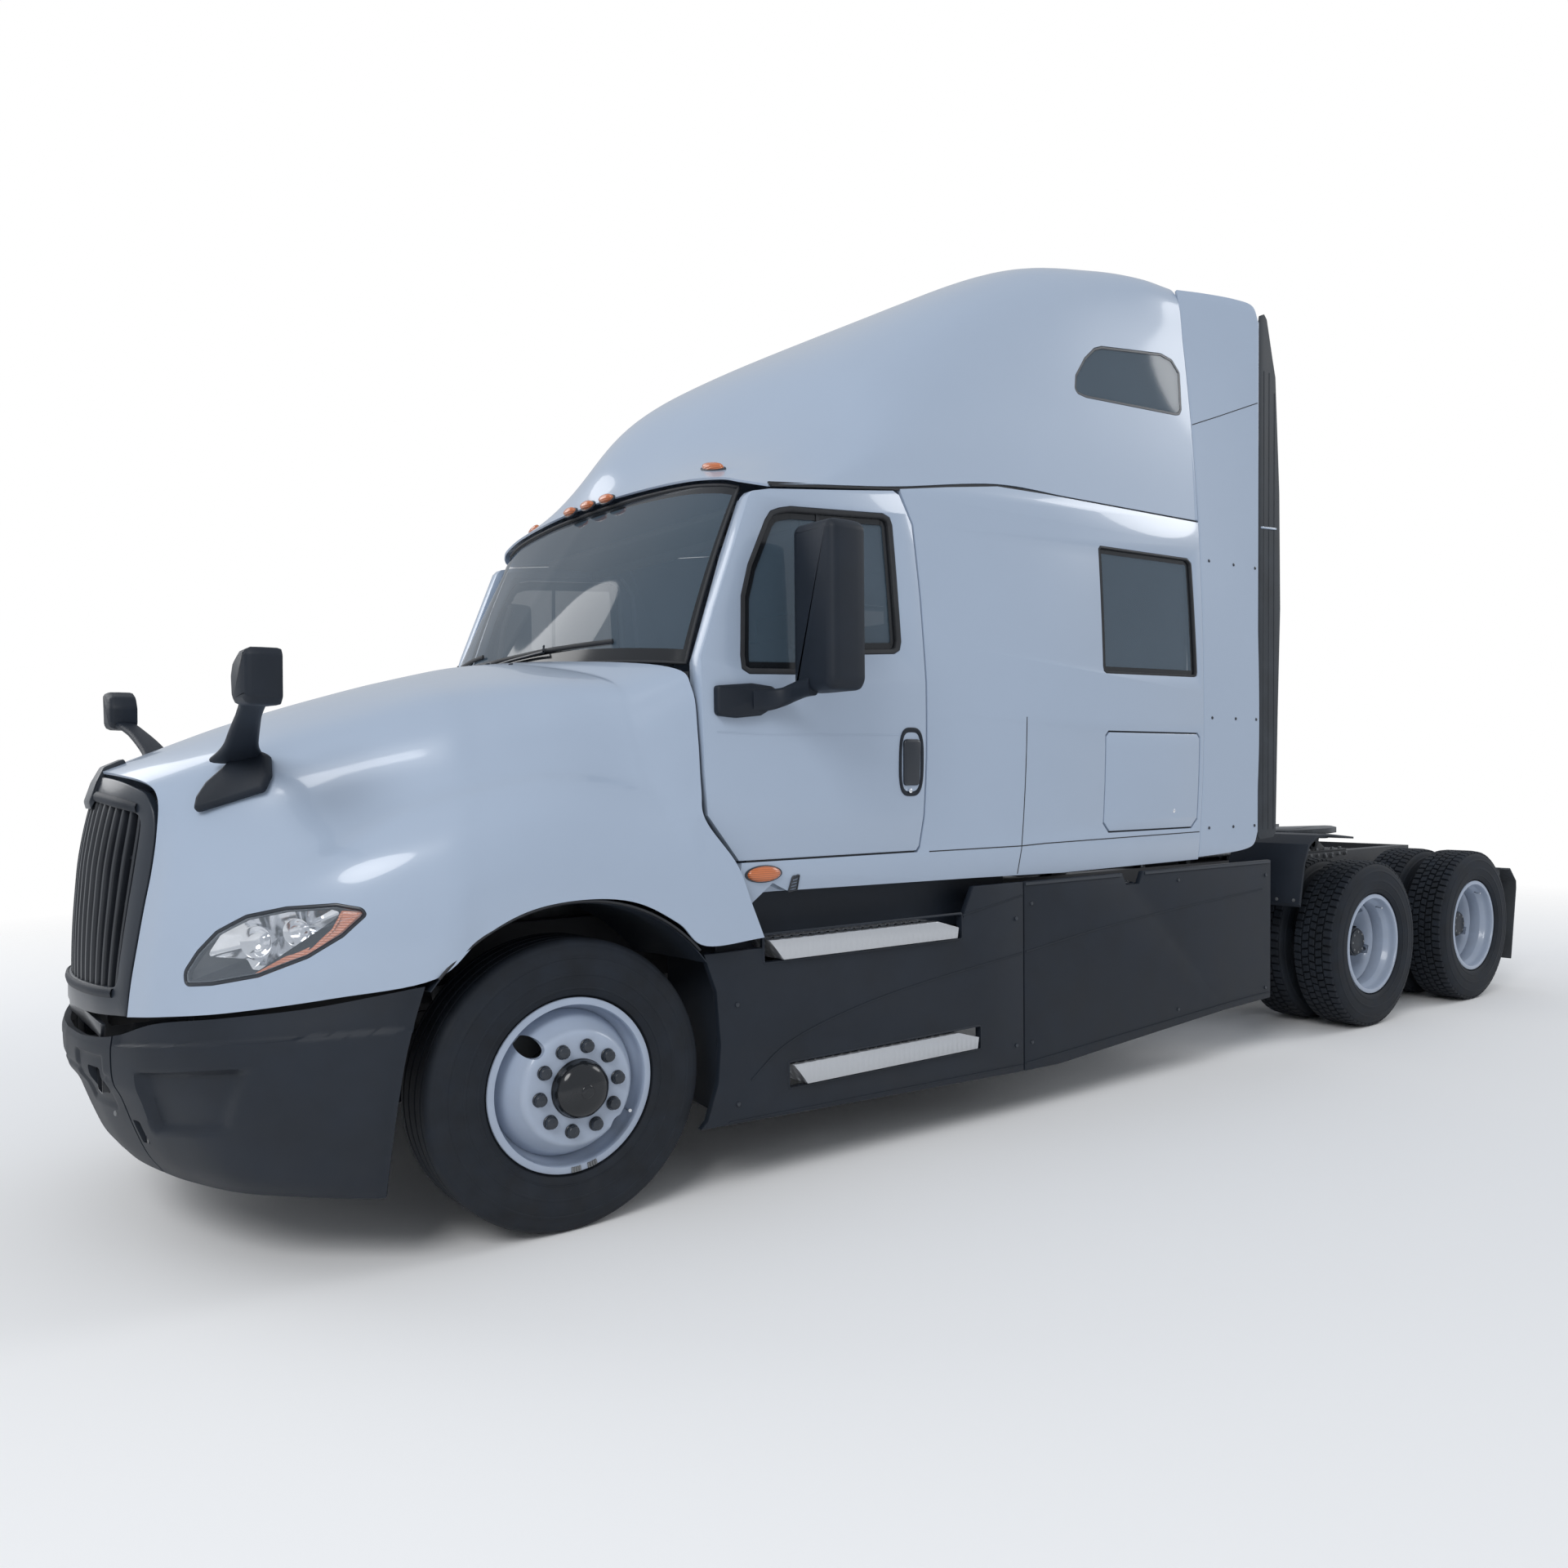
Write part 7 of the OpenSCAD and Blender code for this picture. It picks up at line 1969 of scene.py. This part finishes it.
def build_rear():
    refined("rear_axles", bevel=12, sharp=45)
    refined("rear_suspension", bevel=5)
    refined("deck_plate", bevel=2, mat=TREADDARK)
    refined("quarter_fenders", bevel=3)
    refined("mudflaps", bevel=2)
    refined("fifth_wheel_base", bevel=3)
    refined("fifth_wheel_plate", bevel=4)
    bags, chambers, dampers, covers = [], [], [], []
    for y in DRIVE_Y.values():
        z0, z1 = 563, 714
        h = z1 - z0
        prof = [(z0, 10), (z0, 52), (z0 + 14, 58), (z0 + h * 0.3, 72), (z0 + h * 0.42, 88),
                (z0 + h * 0.6, 92), (z0 + h * 0.8, 88), (z0 + h * 0.93, 74), (z1 - 4, 66), (z1 - 4, 10)]
        bags.append(lathe(prof, n=36, axis="z", at=(372, y + 330, 0)))
        chambers.append(lathe([(190, 12), (190, 70), (198, 78), (226, 80), (230, 86), (240, 86), (244, 80),
                               (280, 80),
                   (284, 86), (294, 86), (298, 78), (330, 70), (340, 12)], n=36, axis="y", at=(270, y, 640)))
        dampers.append(joined(tube([(520, y + 180, 560), (512, y + 150, 700)], 26, n=16),
                              tube([(512, y + 150, 696), (500, y + 110, 900)], 34, n=16)))
        covers.append(lathe([(186, 214), (204, 206), (216, 180), (222, 120), (224, 2)], n=48, axis="y",
                            at=(0, y, 500)))
        covers.append(round_bolts(0, y + 190, 500, 204, 12))
    piece("rear_air_springs", both(joined(*bags)), SEAL, "chassis", sharp=60)
    piece("rear_brake_chambers", both(joined(*chambers)), CHASSIS, "chassis", sharp=45)
    piece("rear_dampers", both(joined(*dampers)), CHASSIS, "chassis", sharp=50)
    piece("rear_axle_covers", joined(*covers), CHASSIS, "chassis", sharp=45)
    y0 = 7110 + 12
    housing = both(prism(rounded([(196, 830), (396, 830), (396, 930), (196, 930)], 24), y0 - 2, y0 + 26, "y"))
    piece("tail_lamp_housings", housing, PLASTIC, "chassis", bevel=3)
    red = joined(disc((345, y0 + 24, 880), (0, 1, 0), 40, 14, 32),
                 disc((-345, y0 + 24, 880), (0, 1, 0), 40, 14, 32))
    piece("tail_lamps", red, RED, "chassis", sharp=50)
    clear_lamp = joined(disc((248, y0 + 24, 880), (0, 1, 0), 36, 12, 32),
                        disc((-248, y0 + 24, 880), (0, 1, 0), 36, 12, 32))
    piece("reversing_lamps", clear_lamp, CLEARLAMP, "chassis", sharp=50)
    plate = prism(rounded([(-152, 800), (152, 800), (152, 952), (-152, 952)], 10), y0 - 1, y0 + 5, "y")
    piece("blank_number_plate", plate, WHEEL, "chassis", bevel=1)
    screws = [disc((x, y0 + 5, z), (0, 1, 0), 7, 4, 14) for x in (-110, 110) for z in (816, 936)]
    piece("number_plate_screws", joined(*screws), STEEL, "chassis")
    clamps = [hexbolt((x, 7366 - 250, 846), (0, 0, 1), 11, 10) for x in (660, 760, 860, 960, 1060)]
    piece("mudflap_bolts", both(joined(*clamps)), STEEL, "chassis")
    fender_bolts = [hexbolt((x, 5190 - 657, 800), (0, -1, 0), 9, 7) for x in (640, 780, 960, 1070)]
    piece("quarter_fender_bolts", both(joined(*fender_bolts)), STEEL, "chassis")


def round_bolts(x, y, z, r, n):
    parts = []
    for k in range(n):
        a = 2 * math.pi * k / n
        parts.append(hexbolt((x + r * math.cos(a), y, z + r * math.sin(a)), (0, 1, 0), 9, 12))
    return joined(*parts)


def build_fifth_wheel():
    y = 5850.0
    grooves = []
    for s in (-1, 1):
        path = [(s * 90, y - 300), (s * 200, y - 330), (s * 300, y - 250), (s * 340, y - 120),
                (s * 300, y + 40), (s * 260, y + 160), (s * 230, y + 300)]
        path = polyline([(p[0], p[1]) for p in path], 30)
        grooves.append(strip(path, 11, lambda a, b, d: (a, b, 1150 - 0.2 - d * 0.1), proud=2, deep=12))
    piece("fifth_wheel_grease_grooves", joined(*grooves), CHASSIS, "coupling_plate")
    handle = tube([(140, y - 120, 1096), (300, y - 130, 1100), (440, y - 134, 1101), (540, y - 134, 1101),
                   (560, y - 120, 1101), (560, y - 84, 1101), (540, y - 70, 1101), (500, y - 70, 1101)], 8,
                  n=12)
    piece("fifth_wheel_release_handle", handle, STEEL, "coupling_plate", sharp=60)
    caps = [disc((x, y, 1045), (1, 0, 0), 40, 12, 28) for x in (360 + 36,)]
    piece("fifth_wheel_pivot_caps", both(joined(*caps)), GREASE, "coupling_plate")
    bolts = [hexbolt((x, y + dy, 999), (0, 0, 1), 13, 14) for x in (400,) for dy in range(-350, 380, 100)]
    piece("fifth_wheel_base_bolts", both(joined(*bolts)), STEEL, "chassis")
    edge = [box((s * 225 - 10, y - 262, 1078), (s * 225 + 10, y + 262, 1082)) for s in (-1, 1)]
    piece("fifth_wheel_lip_edges", joined(*edge), GREASE, "coupling_plate")


def build_back_wall():
    """Moulded ribs, a grab handle and the connector panel on the back of the sleeper."""
    ribs = []
    for x in (-840, -560, -280, 280, 560, 840):
        ribs.append(prism(rounded([(x - 26, 1300), (x + 26, 1300), (x + 26, 2700), (x - 26, 2700)], 24, 5),
                          3443, 3453, "y"))
    piece("back_wall_ribs", joined(*ribs), WHITE, "chassis", bevel=4)
    plate = prism(rounded([(-230, 1170), (230, 1170), (230, 1330), (-230, 1330)], 20), 3443, 3456, "y")
    piece("connector_panel", plate, PLASTIC, "chassis", bevel=3)
    sockets, covers = [], []
    for x in (-150, 0, 150):
        sockets.append(lathe([(3454, 12), (3454, 44), (3462, 46), (3470, 40), (3492, 38), (3494, 30),
                              (3470, 26), (3470, 12)], n=36, axis="y", at=(x, 0, 1250), closed=True))
        covers.append(lathe([(3490, 0.5), (3490, 41), (3497, 41), (3501, 36), (3502, 0.5)], n=36, axis="y",
                            at=(x, 0, 1250)))
    piece("connector_sockets", joined(*sockets), ALLOY, "chassis", sharp=45)
    piece("connector_caps", joined(*covers), SATIN, "chassis", sharp=45)
    bar = tube([(380, 3446, 1240), (380, 3484, 1246), (380, 3496, 1262), (380, 3496, 1620), (380, 3484, 1636),
                (380, 3446, 1642)], 13, n=14)
    feet = [disc((380, 3444, z), (0, 1, 0), 28, 8, 24) for z in (1240, 1642)]
    piece("back_grab_handle", joined(bar, *feet), ALLOY, "chassis", sharp=50)


def build_fill_panels():
    """Dark splash panels that close the view behind the front tyre and above the upper step; their black
    stands in for the shade in these gaps, as painted shade.
    """
    g = []
    for x in (1140, 1080, 1000, 900, 800, 690):
        t = (1140 - x) / 450
        g.append([(x, 578 + 60 * t, z) for z in (300, 420, 560, 700, 840, 960, 1050)])
    piece("wheel_splash_and_shade_panels", both(shell(fine(g, 2, 2), 5)), PLASTIC, "chassis", sharp=60)
    # dark sheet behind the sill above the upper step: painted shade
    inner = prism(rounded([(600, 884), (2166, 884), (2166, 1096), (600, 1096)], 12), 1046, 1052)
    piece("sill_back_panels", both(inner), PLASTIC, "chassis")


TREADDARK = tread_plate("deck_tread", (0.16, 0.17, 0.18))
MATERIAL_SLOT["deck_tread"] = "chassis_black"

build_frame()
build_front_suspension()
build_engine()
build_side_boxes()
build_rear()
build_fifth_wheel()
build_back_wall()
build_fill_panels()


# ---- stage ----


def make_stage():
    m, tree, bsdf = new_material("floor")
    noise = add(tree, "TexNoise", [("Scale", 0.4)])
    tone = two_tones(tree, noise.outputs["Fac"], (0.90, 0.90, 0.90), (0.93, 0.93, 0.93))
    tree.links.new(tone, bsdf.inputs["Base Color"])
    set_values(bsdf, Roughness=0.95, Specular_IOR_Level=0.1)
    mesh = bpy.data.meshes.new("floor")
    r = 14.0
    ring_pts = [(r * math.cos(2 * math.pi * k / 96), r * math.sin(2 * math.pi * k / 96),
                 0) for k in range(96)]
    mesh.from_pydata(ring_pts, [], [tuple(range(96))])
    # the floor fades into the white backdrop before its rim
    geo = add(tree, "NewGeometry")
    length = add(tree, "VectorMath", links=[(0, geo.outputs["Position"])], operation="LENGTH")
    fade = add(tree, "MapRange", [("From Min", 6.0), ("From Max", 12.5)], [("Value", length.outputs["Value"])])
    see_through = add(tree, "BsdfTransparent")
    mix = add(tree, "MixShader", links=[("Fac", fade.outputs["Result"]), (1, bsdf.outputs["BSDF"]),
                                        (2, see_through.outputs["BSDF"])])
    tree.links.new(mix.outputs["Shader"], tree.nodes["Material Output"].inputs["Surface"])
    floor = bpy.data.objects.new("floor", mesh)
    floor.data.materials.append(m)
    bpy.context.scene.collection.objects.link(floor)


def area(name, at, target, size, power):
    data = bpy.data.lights.new(name, "AREA")
    data.shape = "DISK"
    data.size = size
    data.energy = power
    o = bpy.data.objects.new(name, data)
    o.location = at
    o.rotation_euler = (Vector(target) - Vector(at)).to_track_quat("-Z", "Y").to_euler()
    bpy.context.scene.collection.objects.link(o)


def make_lights():
    area("key", (8, -12, 11), (0, -1, 1.5), 7.0, 920)
    area("fill", (-10, -8, 7), (0, 0, 1.5), 7.0, 300)
    area("back", (6, 14, 10), (0, 2, 2), 7.0, 510)
    world_light = bpy.data.worlds.new("world")
    bpy.context.scene.world = world_light
    world_light.use_nodes = True
    tree = world_light.node_tree
    bg = tree.nodes["Background"]
    set_values(bg, Color=(0.90, 0.94, 1.0, 1), Strength=0.60)
    white = add(tree, "Background", [("Color", (1, 1, 1, 1)), ("Strength", 1.0)])
    path = add(tree, "LightPath")
    mix = add(tree, "MixShader", links=[("Fac", path.outputs["Is Camera Ray"]), (1, bg.outputs["Background"]),
                                        (2, white.outputs["Background"])])
    tree.links.new(mix.outputs["Shader"], tree.nodes["World Output"].inputs["Surface"])


make_stage()
make_lights()
bpy.context.scene.view_settings.view_transform = "Standard"
